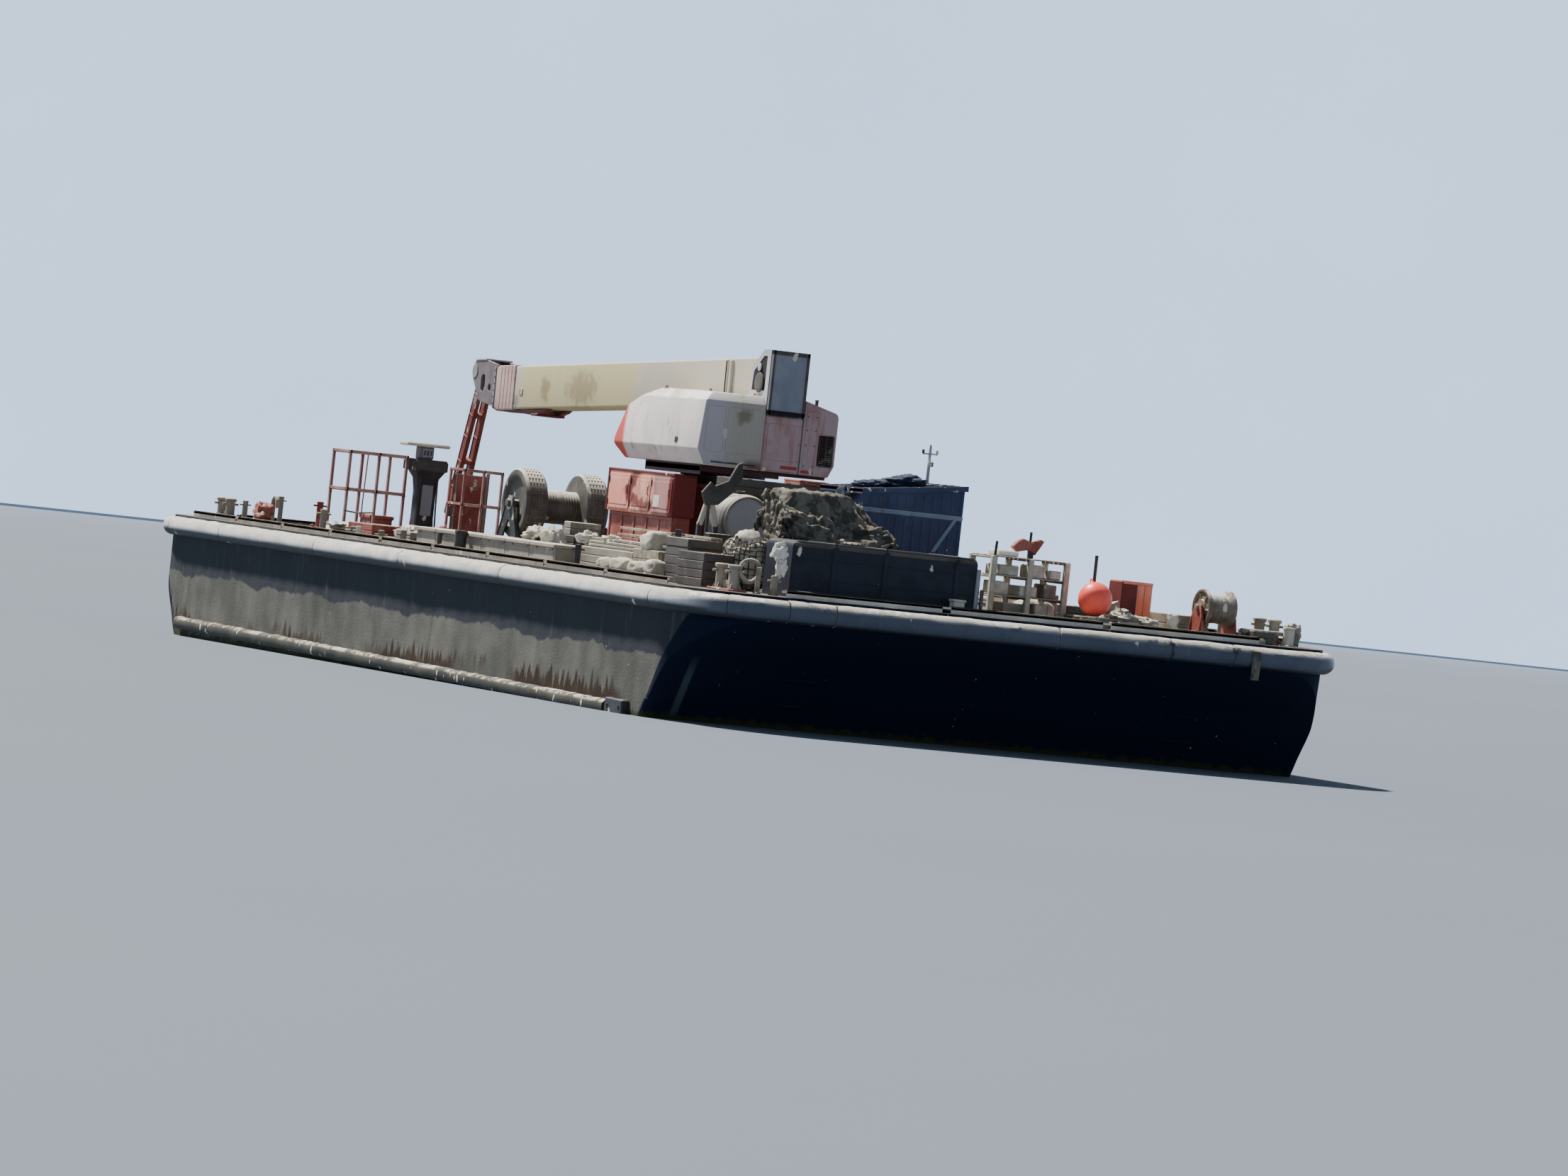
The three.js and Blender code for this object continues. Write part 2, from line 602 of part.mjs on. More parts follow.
add('cabin_door', join(
  block(
    CABIN_DOOR.x0 + 6, CABIN_DOOR.x1 - 6, CABIN.y1 - 38, CABIN.y1 + 6,
    CABIN_DOOR.z0 + 6, CABIN_DOOR.z1 - 6,
  ),
  block(CABIN_DOOR.x1 - 130, CABIN_DOOR.x1 - 100, CABIN.y1, CABIN.y1 + 60, 3800, 3960),
), 'blue');

add('cabin_window', block(
  CABIN.x0 + 15, CABIN.x0 + 27, CABIN_WINDOW.y0 + GAP, CABIN_WINDOW.y1 - GAP,
  CABIN_WINDOW.z0 + GAP, CABIN_WINDOW.z1 - GAP,
), 'glass');

const MAST = { x: 8950, y: -180, top: 5450 };
add('cabin_mast', join(
  bar([MAST.x, MAST.y, roofTop(MAST.y) + 12], [MAST.x, MAST.y, MAST.top], 28, 10),
  alongX(underRoof(MAST.y - 90, MAST.y + 90, GAP, 22), MAST.x - 90, MAST.x + 90),
  bar([MAST.x, MAST.y - 130, MAST.top - 150], [MAST.x, MAST.y + 130, MAST.top - 150], 16, 8),
), 'grey');

// Rail frames standing on the deck, from uprights and levels.

function railFrame(x, depth, ys, levels, size) {
  const top = levels[levels.length - 1];
  const parts = [];
  [x, x - depth].forEach((px) => {
    ys.forEach((y) => parts.push(block(px - size, px + size, y - size, y + size, DECK, top + size)));
    levels.forEach((z) => parts.push(block(
      px - size, px + size, ys[0] - size, ys[ys.length - 1] + size, z - size, z + size,
    )));
  });
  [ys[0], ys[ys.length - 1]].forEach((y) => {
    levels.forEach((z) => parts.push(block(x - depth, x, y - size, y + size, z - size, z + size)));
  });
  return join(...parts);
}
add('rail_frame_far', railFrame(-10200, 900, [-2820, -2250, -1700], [3700, 4400], 32), 'rust');
add('rail_frame_mid', railFrame(-8000, 700, [-1380, -1000, -640], [3650, 4280], 28), 'rust');

// Control stand with a box on top.

add('control_stand', join(
  block(-10500, -10000, -1620, -980, DECK, DECK + 80),
  block(-10430, -10070, -1510, -1060, DECK + 60, 4220),
  block(-10540, -9960, -1655, -970, 4180, 4400),
), 'dark');
add('control_box', join(
  block(-10390, -10110, -1490, -1220, 4400 + GAP, 4640),
  block(-10480, -10020, -1790, -940, 4630, 4700),
), 'white');

// Long low locker by the starboard edge.

add('deck_locker', join(
  block(-1100, 5200, -4800, -4050, DECK, 3200),
  block(-1150, 5250, -4850, -4000, 3190, 3260),
), 'concrete');

// Steel tank across the near end of the deck.

const DECK_TANK = { x0: 11150, x1: 12150, y0: -3800, y1: -700, top: 3760, round: 110 };

function deckTank() {
  const { x0, x1, y0, y1, top, round } = DECK_TANK;
  const shape = new THREE.Shape();
  shape.moveTo(y0, DECK);
  shape.lineTo(y1, DECK);
  shape.absarc(y1 - round, top - round, round, 0, Math.PI / 2);
  shape.absarc(y0 + round, top - round, round, Math.PI / 2, Math.PI);
  const bands = [y0 + 700, (y0 + y1) / 2, y1 - 350].map((y) => block(
    x0 - 25, x1 + 25, y - 45, y + 45, DECK, top - 40,
  ));
  return join(alongX(shape, x0, x1), ...bands);
}
add('deck_tank', deckTank(), 'dark');

// Round tank on a cradle.

const ROUND_TANK = { x0: 5200, x1: 6000, y: -1860, z: 3930, radius: 430 };

function roundTank() {
  const { x0, x1, y, z, radius } = ROUND_TANK;
  const length = x1 - x0;
  const dish = 90;
  const points = [
    [0, 0], [radius * 0.75, 0], [radius, dish], [radius, length - dish], [radius * 0.75, length], [0, length],
  ];
  const geometry = new THREE.LatheGeometry(points.map(([r, s]) => new THREE.Vector2(r, s)), 24);
  return solid(geometry.rotateZ(-Math.PI / 2).translate(x0, y, z));
}
add('round_tank', roundTank(), 'grey');

function tankCradle() {
  const { x0, x1, y, z, radius } = ROUND_TANK;
  const stands = [x0 + 180, x1 - 180].map((x) => block(x - 60, x + 60, y - 380, y + 380, DECK, z - 60));
  const skids = [-1, 1].map((side) => block(
    x0 + 60, x1 - 60, y + side * 330 - 50, y + side * 330 + 50, DECK, DECK + 100,
  ));
  return cut(join(...stands, ...skids), bar([x0 - 100, y, z], [x1 + 100, y, z], radius + 6, 24));
}
add('tank_cradle', tankCradle(), 'dark');

// Soft heaps: a tarpaulin thrown over gear and a bundle of netting.

function heap(rows, x0, x1) {
  const length = x1 - x0;
  const body = alongX(outline(rows), x0, x1);
  const crown = alongY(outline([
    [x0, DECK], [x1, DECK], [x1, DECK + 900], [x1 - length * 0.25, DECK + 1500],
    [x0 + length * 0.3, DECK + 1650], [x0, DECK + 1100],
  ]), rows[0][0], rows[1][0]);
  return body.intersect(crown);
}
add('tarp_heap', heap([
  [-3360, DECK], [-1400, DECK], [-1420, 3850], [-1560, 4150], [-1900, 4420],
  [-2600, 4580], [-3120, 4480], [-3330, 3900],
], 9650, 11000), 'tarp');
add('net_bundle', heap([
  [-4200, DECK], [-3400, DECK], [-3415, 3500], [-3500, 3760], [-3780, 3880], [-4130, 3600],
], 10000, 10900), 'tarp');

// Rack of pallets and frames.

const RACK = { x0: 10650, x1: 11500, y0: -150, y1: 1200 };

function palletRack() {
  const { x0, x1, y0, y1 } = RACK;
  const decks = [DECK, 3200, 3500, 3790].map((z) => block(x0, x1, y0, y1, z, z + 55));
  const posts = [y0, (y0 + y1) / 2 - 45, y1 - 90].flatMap((y) => [x0, x1 - 90].map((x) => block(
    x, x + 90, y, y + 90, DECK, 3840,
  )));
  const poles = [[x1 - 60, y0 + 60, 4060], [x1 - 400, y0 + 800, 4250]].map(([x, y, z]) => block(
    x - 30, x + 30, y - 30, y + 30, 3800, z,
  ));
  return join(...decks, ...posts, ...poles);
}
add('pallet_rack', palletRack(), 'guano');

// Ball buoy on a low pad, and an open-topped bin.

const BUOY = { x: 11950, y: 1440, z: 3330, radius: 265 };
add('buoy_pad', block(
  BUOY.x - 330, BUOY.x + 330, BUOY.y - 360, BUOY.y + 360, DECK, 3060,
), 'guano');

function ballBuoy() {
  const ball = solid(new THREE.SphereGeometry(BUOY.radius, 24, 16).rotateX(Math.PI / 2)
    .translate(BUOY.x, BUOY.y, BUOY.z));
  const eye = bar([BUOY.x - 150, BUOY.y, BUOY.z + 200], [BUOY.x - 230, BUOY.y, BUOY.z + 270], 50, 10);
  return join(ball, eye);
}
add('ball_buoy', ballBuoy(), 'buoy');

add('deck_bin', cut(
  block(10300, 10750, 2520, 3070, DECK, 3650),
  block(10335, 10715, 2555, 3035, DECK + 50, 3800),
), 'orange');

// Mooring roller near the port corner.

const ROLLER = { x: 11900, y: 3560, z: 3370, radius: 290, halfLength: 250 };

function mooringRoller() {
  const { x, y, z, radius, halfLength } = ROLLER;
  const end = halfLength + 90;
  return turnedAcross([
    [0, -end], [45, -end], [45, -halfLength], [radius, -halfLength], [radius, -halfLength + 50],
    [radius - 60, -halfLength + 90], [radius - 60, halfLength - 90], [radius, halfLength - 50],
    [radius, halfLength], [45, halfLength], [45, end], [0, end],
  ], x, z, 24).translate([0, y, 0]);
}
add('mooring_roller', mooringRoller(), 'guano');

function rollerStand() {
  const { x, y, z, halfLength } = ROLLER;
  const cheeks = [-1, 1].map((end) => {
    const near = y + end * (halfLength + 15);
    const away = y + end * (halfLength + 55);
    const shape = outline([
      [x - 260, DECK], [x + 260, DECK], [x + 110, z + 60], [x - 110, z + 60],
    ]);
    return alongY(shape, Math.min(near, away), Math.max(near, away));
  });
  const sole = block(x - 260, x + 260, y - halfLength - 55, y + halfLength + 55, DECK, DECK + 40);
  const bores = bar([x, y - halfLength - 200, z], [x, y + halfLength + 200, z], 50, 16);
  return cut(join(...cheeks, sole), bores);
}
add('roller_stand', rollerStand(), 'rust');

export default barge;
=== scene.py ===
"""The looks of a crane work barge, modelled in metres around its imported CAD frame.

+X runs to the end that carries the cabin, -Y is the starboard side, +Z is up. The barge lies
trimmed a little by her far end, so the floor is the tilted plane of her waterline.
"""

import json
import math
import random

import bmesh
import bpy
import numpy as np
from mathutils import Matrix, Vector, noise

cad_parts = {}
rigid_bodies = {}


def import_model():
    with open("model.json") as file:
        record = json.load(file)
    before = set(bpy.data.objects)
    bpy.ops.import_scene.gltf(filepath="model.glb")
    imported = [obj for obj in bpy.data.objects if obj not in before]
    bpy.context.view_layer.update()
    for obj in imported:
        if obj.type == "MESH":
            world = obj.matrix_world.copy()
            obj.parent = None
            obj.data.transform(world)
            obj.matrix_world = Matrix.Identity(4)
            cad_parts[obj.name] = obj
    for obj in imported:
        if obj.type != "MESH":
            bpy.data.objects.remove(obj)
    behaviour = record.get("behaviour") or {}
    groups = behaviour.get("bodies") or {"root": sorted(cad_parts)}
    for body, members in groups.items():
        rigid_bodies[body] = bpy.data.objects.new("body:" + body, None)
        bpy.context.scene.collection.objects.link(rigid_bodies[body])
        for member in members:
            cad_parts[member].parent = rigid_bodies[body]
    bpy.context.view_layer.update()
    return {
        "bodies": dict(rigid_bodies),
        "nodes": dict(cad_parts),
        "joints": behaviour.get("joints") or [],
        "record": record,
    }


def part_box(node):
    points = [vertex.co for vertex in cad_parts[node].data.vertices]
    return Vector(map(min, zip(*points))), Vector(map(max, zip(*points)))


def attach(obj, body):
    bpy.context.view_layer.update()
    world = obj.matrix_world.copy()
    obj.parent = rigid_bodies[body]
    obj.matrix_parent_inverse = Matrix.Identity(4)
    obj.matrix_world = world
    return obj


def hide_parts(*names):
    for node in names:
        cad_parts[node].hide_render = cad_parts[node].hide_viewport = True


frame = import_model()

# Driving places, read from the frame or repeated from the part's own sizes.
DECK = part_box("kerb_port")[0].z
HALF_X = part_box("strake_near")[1].x - 0.2
HALF_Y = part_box("strake_near")[1].y - 0.2
CORNER = 1.33
BILGE = 0.26
STRAKE = {"out": 0.2, "mid": 2.69, "half": 0.172}
RAKE = ((0.0, 10.45), (0.85, 11.2), (1.8, 11.88), (2.54, 12.8), (2.9, 12.8))
WATER = {"level": 0.76586, "along": 0.0083018, "across": -0.0039373}
SLEW = Vector((0.55, 0.0, 4.64))
LUFF_PIN = Vector((1.9, 0.25, 6.27))
BOOM_TILT = math.radians(2)
BOOM_LOW = -0.37
BOOM_HIGH = 0.43
BOOM_TIP = 11.3
COLLAR_END = 12.3
HEAD_END = 13.5
JIB_PIN = Vector((-11.61, 0.25, 6.17))
JIB_FOOT = Vector((-12.62, 0.25, 3.4))
LIFT_FOOT = Vector((0.3, 0.25, 4.99))
LIFT_EYE = Vector((-3.4, 0.25, 5.48))
QUARTER, TURN = math.pi / 2, 2 * math.pi


def water_height(x, y):
    return WATER["level"] + WATER["along"] * x + WATER["across"] * y


def in_scene(name, data):
    """A new object with this mesh, camera or lamp."""
    thing = bpy.data.objects.new(name, data)
    bpy.context.scene.collection.objects.link(thing)
    return thing


# Camera and light.


def place_camera():
    eye = Vector((91.872, -39.897, 4.269))
    yaw, pitch, roll = (math.radians(a) for a in (155.69, -0.812, 6.081))
    ahead = Vector((math.cos(pitch) * math.cos(yaw), math.cos(pitch) * math.sin(yaw), math.sin(pitch)))
    level = Vector((math.sin(yaw), -math.cos(yaw), 0.0))
    right = math.cos(roll) * level + math.sin(roll) * level.cross(ahead)
    up = right.cross(ahead)
    data = bpy.data.cameras.new("camera")
    data.sensor_width = 36.0
    data.lens = 134.27
    data.clip_start, data.clip_end = 1.0, 4000.0
    camera = in_scene("camera", data)
    camera.matrix_world = Matrix.Translation(eye) @ Matrix((right, up, -ahead)).transposed().to_4x4()
    bpy.context.scene.camera = camera


def light_studio():
    world = bpy.data.worlds.new("studio")
    world.use_nodes = True
    sky = world.node_tree.nodes["Background"]
    sky.inputs["Color"].default_value = (0.66, 0.78, 0.95, 1.0)
    sky.inputs["Strength"].default_value = 0.27
    bpy.context.scene.world = world
    sun = bpy.data.lights.new("key", "SUN")
    sun.energy = 10.5
    sun.angle = math.radians(3)
    sun.color = (1.0, 0.955, 0.89)
    towards = Vector((-0.52, -0.25, 0.82))
    in_scene("key", sun).rotation_euler = towards.to_track_quat("Z", "Y").to_euler()


# Node wiring. A colour is written as seen on screen, 0 to 255.


def shader_value(colour):
    """The linear value that shaders take for a screen colour."""
    return (*(((c / 255 + 0.055) / 1.055) ** 2.4 if c > 10 else c / 255 / 12.92 for c in colour), 1.0)


class Net:
    """Adds nodes to a tree and wires them as they are made."""

    def __init__(self, tree):
        self.tree = tree

    def put(self, value, socket):
        if isinstance(value, bpy.types.NodeSocket):
            self.tree.links.new(value, socket)
        else:
            socket.default_value = value

    def add(self, kind, values=None, **settings):
        node = self.tree.nodes.new("ShaderNode" + kind)
        for key, value in settings.items():
            setattr(node, key, value)
        for socket, value in (values or {}).items():
            self.put(value, node.inputs[socket])
        return node

    def group(self, name, **values):
        node = self.add("Group", node_tree=bpy.data.node_groups[name])
        for socket, value in values.items():
            self.put(value, node.inputs[socket])
        return node.outputs

    def math(self, operation, a, b=0.0):
        return self.add("Math", {0: a, 1: b}, operation=operation).outputs[0]

    def plus(self, a, b):
        return self.math("ADD", a, b)

    def minus(self, a, b):
        return self.math("SUBTRACT", a, b)

    def times(self, a, b):
        return self.math("MULTIPLY", a, b)

    def rise(self, value, low, high):
        """0 below low, 1 above high and smooth between them."""
        node = self.add("MapRange", {"Value": value, "From Min": low, "From Max": high},
                        interpolation_type="SMOOTHSTEP")
        return node.outputs["Result"]

    def mix(self, factor, a, b):
        """Two colours mixed, each a socket or a screen colour."""
        a, b = (shader_value(c) if isinstance(c, tuple) and len(c) == 3 else c for c in (a, b))
        return self.add("Mix", {0: factor, 6: a, 7: b}, data_type="RGBA").outputs[2]

    def noise(self, where, scale, detail=4.0, rough=0.6):
        node = self.add("TexNoise", {"Vector": where, "Scale": scale, "Detail": detail, "Roughness": rough})
        return node.outputs["Fac"]

    def stretched(self, where, factors):
        return self.add("VectorMath", {0: where, 1: factors}, operation="MULTIPLY").outputs["Vector"]

    def place(self):
        return self.add("TexCoord").outputs["Object"]

    def at(self):
        """The place along X, Y and Z in the piece's own axes."""
        return self.add("SeparateXYZ", {0: self.place()}).outputs

    def facing(self):
        """The surface's direction along X, Y and Z in the piece's own axes."""
        return self.add("SeparateXYZ", {0: self.add("TexCoord").outputs["Normal"]}).outputs


MASK = {"Mask": "NodeSocketFloat"}


def new_group(name, inputs, outputs=MASK):
    """A shader node group. Returns its net and the sockets of its input and output."""
    tree = bpy.data.node_groups.new(name, "ShaderNodeTree")
    for label, value in inputs.items():
        kind = "NodeSocketColor" if isinstance(value, tuple) else "NodeSocketFloat"
        tree.interface.new_socket(label, in_out="INPUT", socket_type=kind).default_value = value
    for label, kind in outputs.items():
        tree.interface.new_socket(label, in_out="OUTPUT", socket_type=kind)
    given = tree.nodes.new("NodeGroupInput").outputs
    return Net(tree), given, tree.nodes.new("NodeGroupOutput").inputs


def cloudy_group():
    net, given, sink = new_group("cloudy", {"Scale": 1.0, "Low": 0.4, "High": 0.6})
    cloud = net.noise(net.place(), given["Scale"], 8.0, 0.62)
    net.put(net.rise(cloud, given["Low"], given["High"]), sink["Mask"])


def runs_group():
    """Streaks that run down upright faces, as wide as 1 over Fine and about 1 over Long tall."""
    net, given, sink = new_group("runs", {"Fine": 6.0, "Long": 0.5, "Low": 0.5, "High": 0.7})
    factors = net.add("CombineXYZ", {"X": given["Fine"], "Y": given["Fine"], "Z": given["Long"]}).outputs[0]
    streak = net.noise(net.stretched(net.place(), factors), 1.0, 6.0, 0.7)
    steep = net.rise(net.math("ABSOLUTE", net.facing()["Z"]), 0.75, 0.35)
    net.put(net.times(net.rise(streak, given["Low"], given["High"]), steep), sink["Mask"])


def crust_group():
    """White crust: thick on what faces up, splashes and short runs on what stands upright."""
    net, given, sink = new_group(
        "crust", {"Top": 0.5, "Side": 0.2, "Size": 1.0}, {**MASK, "Relief": "NodeSocketFloat"})
    where = net.place()
    up = net.rise(net.facing()["Z"], 0.25, 0.8)
    cloud = net.noise(where, net.times(given["Size"], 2.4), 10.0, 0.68)
    spill = net.minus(1.0, given["Top"])
    cover = net.rise(cloud, spill, net.plus(spill, 0.09))
    drawn = net.stretched(where, (1.0, 1.0, 0.5))
    spots = net.add("TexVoronoi", {"Vector": drawn, "Scale": net.times(given["Size"], 7.0),
                                   "Randomness": 1.0},
                    feature="F1")
    chosen = net.add("SeparateColor", {0: spots.outputs["Color"]}).outputs["Red"]
    width = net.times(net.rise(chosen, net.minus(1.0, given["Side"]), 1.0), 0.42)
    wobble = net.times(net.minus(net.noise(where, 13.0, 8.0, 0.7), 0.5), 0.9)
    near = net.plus(spots.outputs["Distance"], wobble)
    splash = net.rise(net.minus(width, near), 0.0, 0.06)
    either = net.math("MAXIMUM", net.times(cover, up), splash)
    net.put(either, sink["Mask"])
    net.put(net.times(either, net.noise(where, 26.0, 5.0, 0.7)), sink["Relief"])


def rust_group():
    """Rust in blooms, with the colour of each spot."""
    tones = {"Dark": shader_value((58, 32, 24)), "Bright": shader_value((142, 78, 45))}
    net, given, sink = new_group("rust", {"Scale": 2.0, "Amount": 0.3, **tones},
                                 {**MASK, "Colour": "NodeSocketColor"})
    where = net.place()
    cloud = net.noise(where, given["Scale"], 12.0, 0.72)
    fine = net.noise(where, net.times(given["Scale"], 9.0), 6.0, 0.6)
    low = net.minus(0.86, net.times(given["Amount"], 0.5))
    level = net.plus(cloud, net.times(net.minus(fine, 0.5), 0.25))
    net.put(net.rise(level, low, net.plus(low, 0.1)), sink["Mask"])
    net.put(net.mix(fine, given["Dark"], given["Bright"]), sink["Colour"])


def edges_group():
    """Where an edge is worn: there the rounded normal differs from the real one."""
    net, given, sink = new_group("worn_edges", {"Radius": 0.02, "Low": 0.02, "High": 0.2})
    soft = net.add("Bevel", {"Radius": given["Radius"]}, samples=4).outputs[0]
    real = net.add("NewGeometry").outputs["Normal"]
    same = net.add("VectorMath", {0: soft, 1: real}, operation="DOT_PRODUCT").outputs["Value"]
    off = net.minus(1.0, same)
    broken = net.times(off, net.times(net.noise(net.place(), 14.0), 2.0))
    net.put(net.rise(broken, given["Low"], given["High"]), sink["Mask"])


for make_group in (cloudy_group, runs_group, crust_group, rust_group, edges_group):
    make_group()

MAT = {}


def new_material(name):
    material = bpy.data.materials.new(name)
    material.use_nodes = True
    return material, Net(material.node_tree), material.node_tree.nodes["Principled BSDF"]


def painted(name, base, faded, rust=(2.0, 0.25), top=0.4, side=0.12, run_colour=(60, 56, 48), *,
            patches=(1.1, 0.42, 0.6), runs=(7.0, 0.7, 0.52, 0.75), run_strength=0.6, size=1.0, edge=0.012,
            edge_colour=None, rough=(0.6, 0.9), metal=0.0, shine=0.3, grain=60.0, depth=0.004,
            extra=(), last=()):
    """Weathered paint or metal. The short tuples are the values that its node groups are given."""
    MAT[name], net, shader = new_material(name)
    scale, low, high = patches
    colour = net.mix(net.group("cloudy", Scale=scale, Low=low, High=high)["Mask"], base, faded)
    for step in extra:
        colour = step(net, colour)
    fine, long, start, end = runs
    streak = net.group("runs", Fine=fine, Long=long, Low=start, High=end)["Mask"]
    colour = net.mix(net.times(streak, run_strength), colour, run_colour)
    spots = net.group("rust", Scale=rust[0], Amount=rust[1])
    colour = net.mix(spots["Mask"], colour, spots["Colour"])
    for step in last:
        colour = step(net, colour)
    if edge:
        worn = net.group("worn_edges", Radius=edge)["Mask"]
        colour = net.mix(worn, colour, edge_colour or spots["Colour"])
    crust = net.group("crust", Top=top, Side=side, Size=size)
    tone = net.mix(net.noise(net.place(), 5.0), (214, 209, 194), (176, 170, 152))
    colour = net.mix(crust["Mask"], colour, tone)
    net.put(colour, shader.inputs["Base Color"])
    dull = net.math("MAXIMUM", crust["Mask"], spots["Mask"])
    roughness = net.add("Mix", {0: dull, 2: rough[0], 3: rough[1]}, data_type="FLOAT").outputs[0]
    net.put(roughness, shader.inputs["Roughness"])
    shader.inputs["Metallic"].default_value = metal
    shader.inputs["Specular IOR Level"].default_value = shine
    height = net.plus(net.noise(net.place(), grain, 3.0), net.times(crust["Relief"], 3.0))
    height = net.minus(height, net.times(spots["Mask"], 0.8))
    bump = net.add("Bump", {"Height": height, "Distance": depth, "Strength": 0.7})
    net.put(bump.outputs["Normal"], shader.inputs["Normal"])


def plain(name, colour, rough, clear=0.0):
    """A small-part material: its colour varies a little by a cloud of the same hue."""
    MAT[name], net, shader = new_material(name)
    full = shader_value(colour)
    darker = (*(c * 0.6 for c in full[:3]), 1.0)
    mask = net.group("cloudy", Scale=6.0, Low=0.35, High=0.7)["Mask"]
    net.put(net.mix(mask, darker, full), shader.inputs["Base Color"])
    shader.inputs["Roughness"].default_value = rough
    shader.inputs["Transmission Weight"].default_value = clear


# Extra paint, some of it painted light and shade, each a function of the net and the colour so far.


def by_direction(axis, low, high, other):
    """Where the surface faces along an axis: the value rises from low to high."""
    def mixed(net, colour):
        return net.mix(net.rise(net.facing()[axis], low, high), colour, other)
    return mixed


def by_place(axis, low, high, other, ragged):
    """Past a place along an axis, with a ragged border."""
    def mixed(net, colour):
        along = net.at()[axis]
        border = net.times(net.minus(net.noise(net.place(), 3.0, 6.0), 0.5), ragged)
        return net.mix(net.rise(net.plus(along, border), low, high), colour, other)
    return mixed


def stain(centre, near, far, strength, other, stretch=(1.0, 1.0, 1.0)):
    """Round a point, full within near of it and none past far, with a ragged border."""
    def mixed(net, colour):
        away = net.add("VectorMath", {0: net.place(), 1: centre}, operation="SUBTRACT").outputs["Vector"]
        spread = net.add("VectorMath", {0: net.stretched(away, stretch)}, operation="LENGTH").outputs["Value"]
        ragged = net.times(net.minus(net.noise(net.place(), 7.0, 6.0), 0.5), far * 1.6)
        spot = net.rise(net.plus(spread, ragged), far, near)
        return net.mix(net.times(spot, strength), colour, other)
    return mixed


def hull_tide_and_shade(net, colour):
    """Near-black ends, partly dark paint and partly painted shade, with painted shade on all that faces down;
    a painted shadow of the strake as a dark belt along the side under it; a rust-stained belt near the water,
    a pale streak and weed.
    """
    at = net.at()
    tilt = net.plus(net.times(at["X"], WATER["along"]), net.times(at["Y"], WATER["across"]))
    above = net.minus(at["Z"], net.plus(tilt, WATER["level"]))
    # Painted shadow of the strake: a dark belt down to about z 1.8, with a wavy lower border and lighter
    # patches in it.
    wide = net.minus(net.noise(net.stretched(net.place(), (0.8, 0.8, 0.1)), 1.0, 3.0), 0.5)
    fine = net.minus(net.noise(net.stretched(net.place(), (7.0, 7.0, 0.9)), 1.0, 5.0), 0.5)
    edge = net.plus(net.minus(at["Z"], 1.79), net.times(wide, 0.55))
    edge = net.plus(edge, net.times(fine, 0.05))
    strake_shadow = net.times(net.rise(edge, 0.0, 0.05), 0.9)
    pale = net.rise(fine, 0.06, 0.22)
    colour = net.mix(strake_shadow, colour, net.mix(pale, (46, 50, 57), (66, 68, 71)))
    patchy = net.times(net.rise(net.noise(net.place(), 0.35, 3.0), 0.42, 0.56), 0.9)
    rusty = net.plus(net.minus(above, 0.38), net.times(fine, 1.3))
    stained = net.times(net.rise(rusty, 0.1, -0.04), patchy)
    colour = net.mix(stained, colour, (50, 34, 24))
    # Near-black past a raked line on both ends, partly dark paint and partly painted shade, and painted shade
    # on all that faces down.
    slant = net.minus(net.math("ABSOLUTE", at["X"]), net.times(at["Z"], 0.62))
    under = net.rise(net.times(net.facing()["Z"], -1.0), 0.1, 0.25)
    ends = net.math("MAXIMUM", net.rise(slant, 10.59, 10.63), under)
    colour = net.mix(ends, colour, (17, 25, 42))
    low = net.rise(at["Z"], 1.95, 1.5)
    streak = net.times(net.rise(at["Y"], -5.17, -5.13), net.rise(at["Y"], -5.02, -5.05))
    streak = net.times(net.times(streak, low), net.rise(at["X"], 10.5, 10.9))
    colour = net.mix(net.times(streak, 0.5), colour, (88, 98, 98))
    weed = net.rise(net.plus(above, net.times(fine, 0.3)), 0.12, 0.03)
    return net.mix(weed, colour, (52, 56, 34))


def belt_paint_and_shade(net, colour):
    """Rubbing strake: painted shade beneath it and on its end faces, which turn grey-blue; near the ends its
    top stays white, partly its own pale colour and partly a painted highlight, broken by gaps of painted
    shadow.
    """
    way = net.facing()
    # Painted shade on the underside.
    colour = net.mix(net.rise(way["Z"], 0.05, -0.45), colour, (46, 50, 56))
    end = net.rise(net.math("ABSOLUTE", way["X"]), 0.5, 0.8)
    blue = net.mix(net.noise(net.place(), 1.3), (52, 58, 70), (92, 96, 108))
    gap = net.rise(net.noise(net.stretched(net.place(), (0.2, 1.15, 0.2)), 1.0, 2.0), 0.5, 0.53)
    top = net.rise(way["Z"], 0.45, 0.7)
    # Painted shade on the end faces, then near the ends a white top that is partly a painted highlight.
    colour = net.mix(end, colour, blue)
    near = net.rise(net.math("ABSOLUTE", net.at()["X"]), 11.9, 12.2)
    white = net.times(net.times(top, near), gap)
    return net.mix(white, colour, (236, 234, 230))


def wall_tints_and_shade(net, colour):
    """The hood's end wall: greyer, partly its paint and partly painted shade, greenish inboard, with one
    stain.
    """
    at = net.at()
    # The end wall's grey is partly its paint and partly painted shade on the face that looks away from the
    # sun.
    end = net.rise(net.facing()["X"], 0.5, 0.9)
    inboard = net.rise(at["Y"], -1.0, -0.55)
    wall = net.mix(inboard, (168, 164, 168), (160, 155, 145))
    wall = stain((2.3, -0.5, 5.66), 0.05, 0.2, 0.7, (98, 96, 76))(net, wall)
    low = net.times(net.rise(at["Z"], 5.02, 4.84), net.rise(at["Y"], -0.5, -0.3))
    wall = net.mix(net.times(low, 0.8), wall, (76, 52, 44))
    return net.mix(end, colour, wall)


def yellow_panel(net, colour):
    """A pale yellow field along the middle of the boom's sides."""
    along = net.at()["X"]
    middle = net.times(net.rise(along, -9.2, -8.8), net.rise(along, -3.5, -3.8))
    return net.mix(net.times(middle, 0.75), colour, (198, 186, 134))


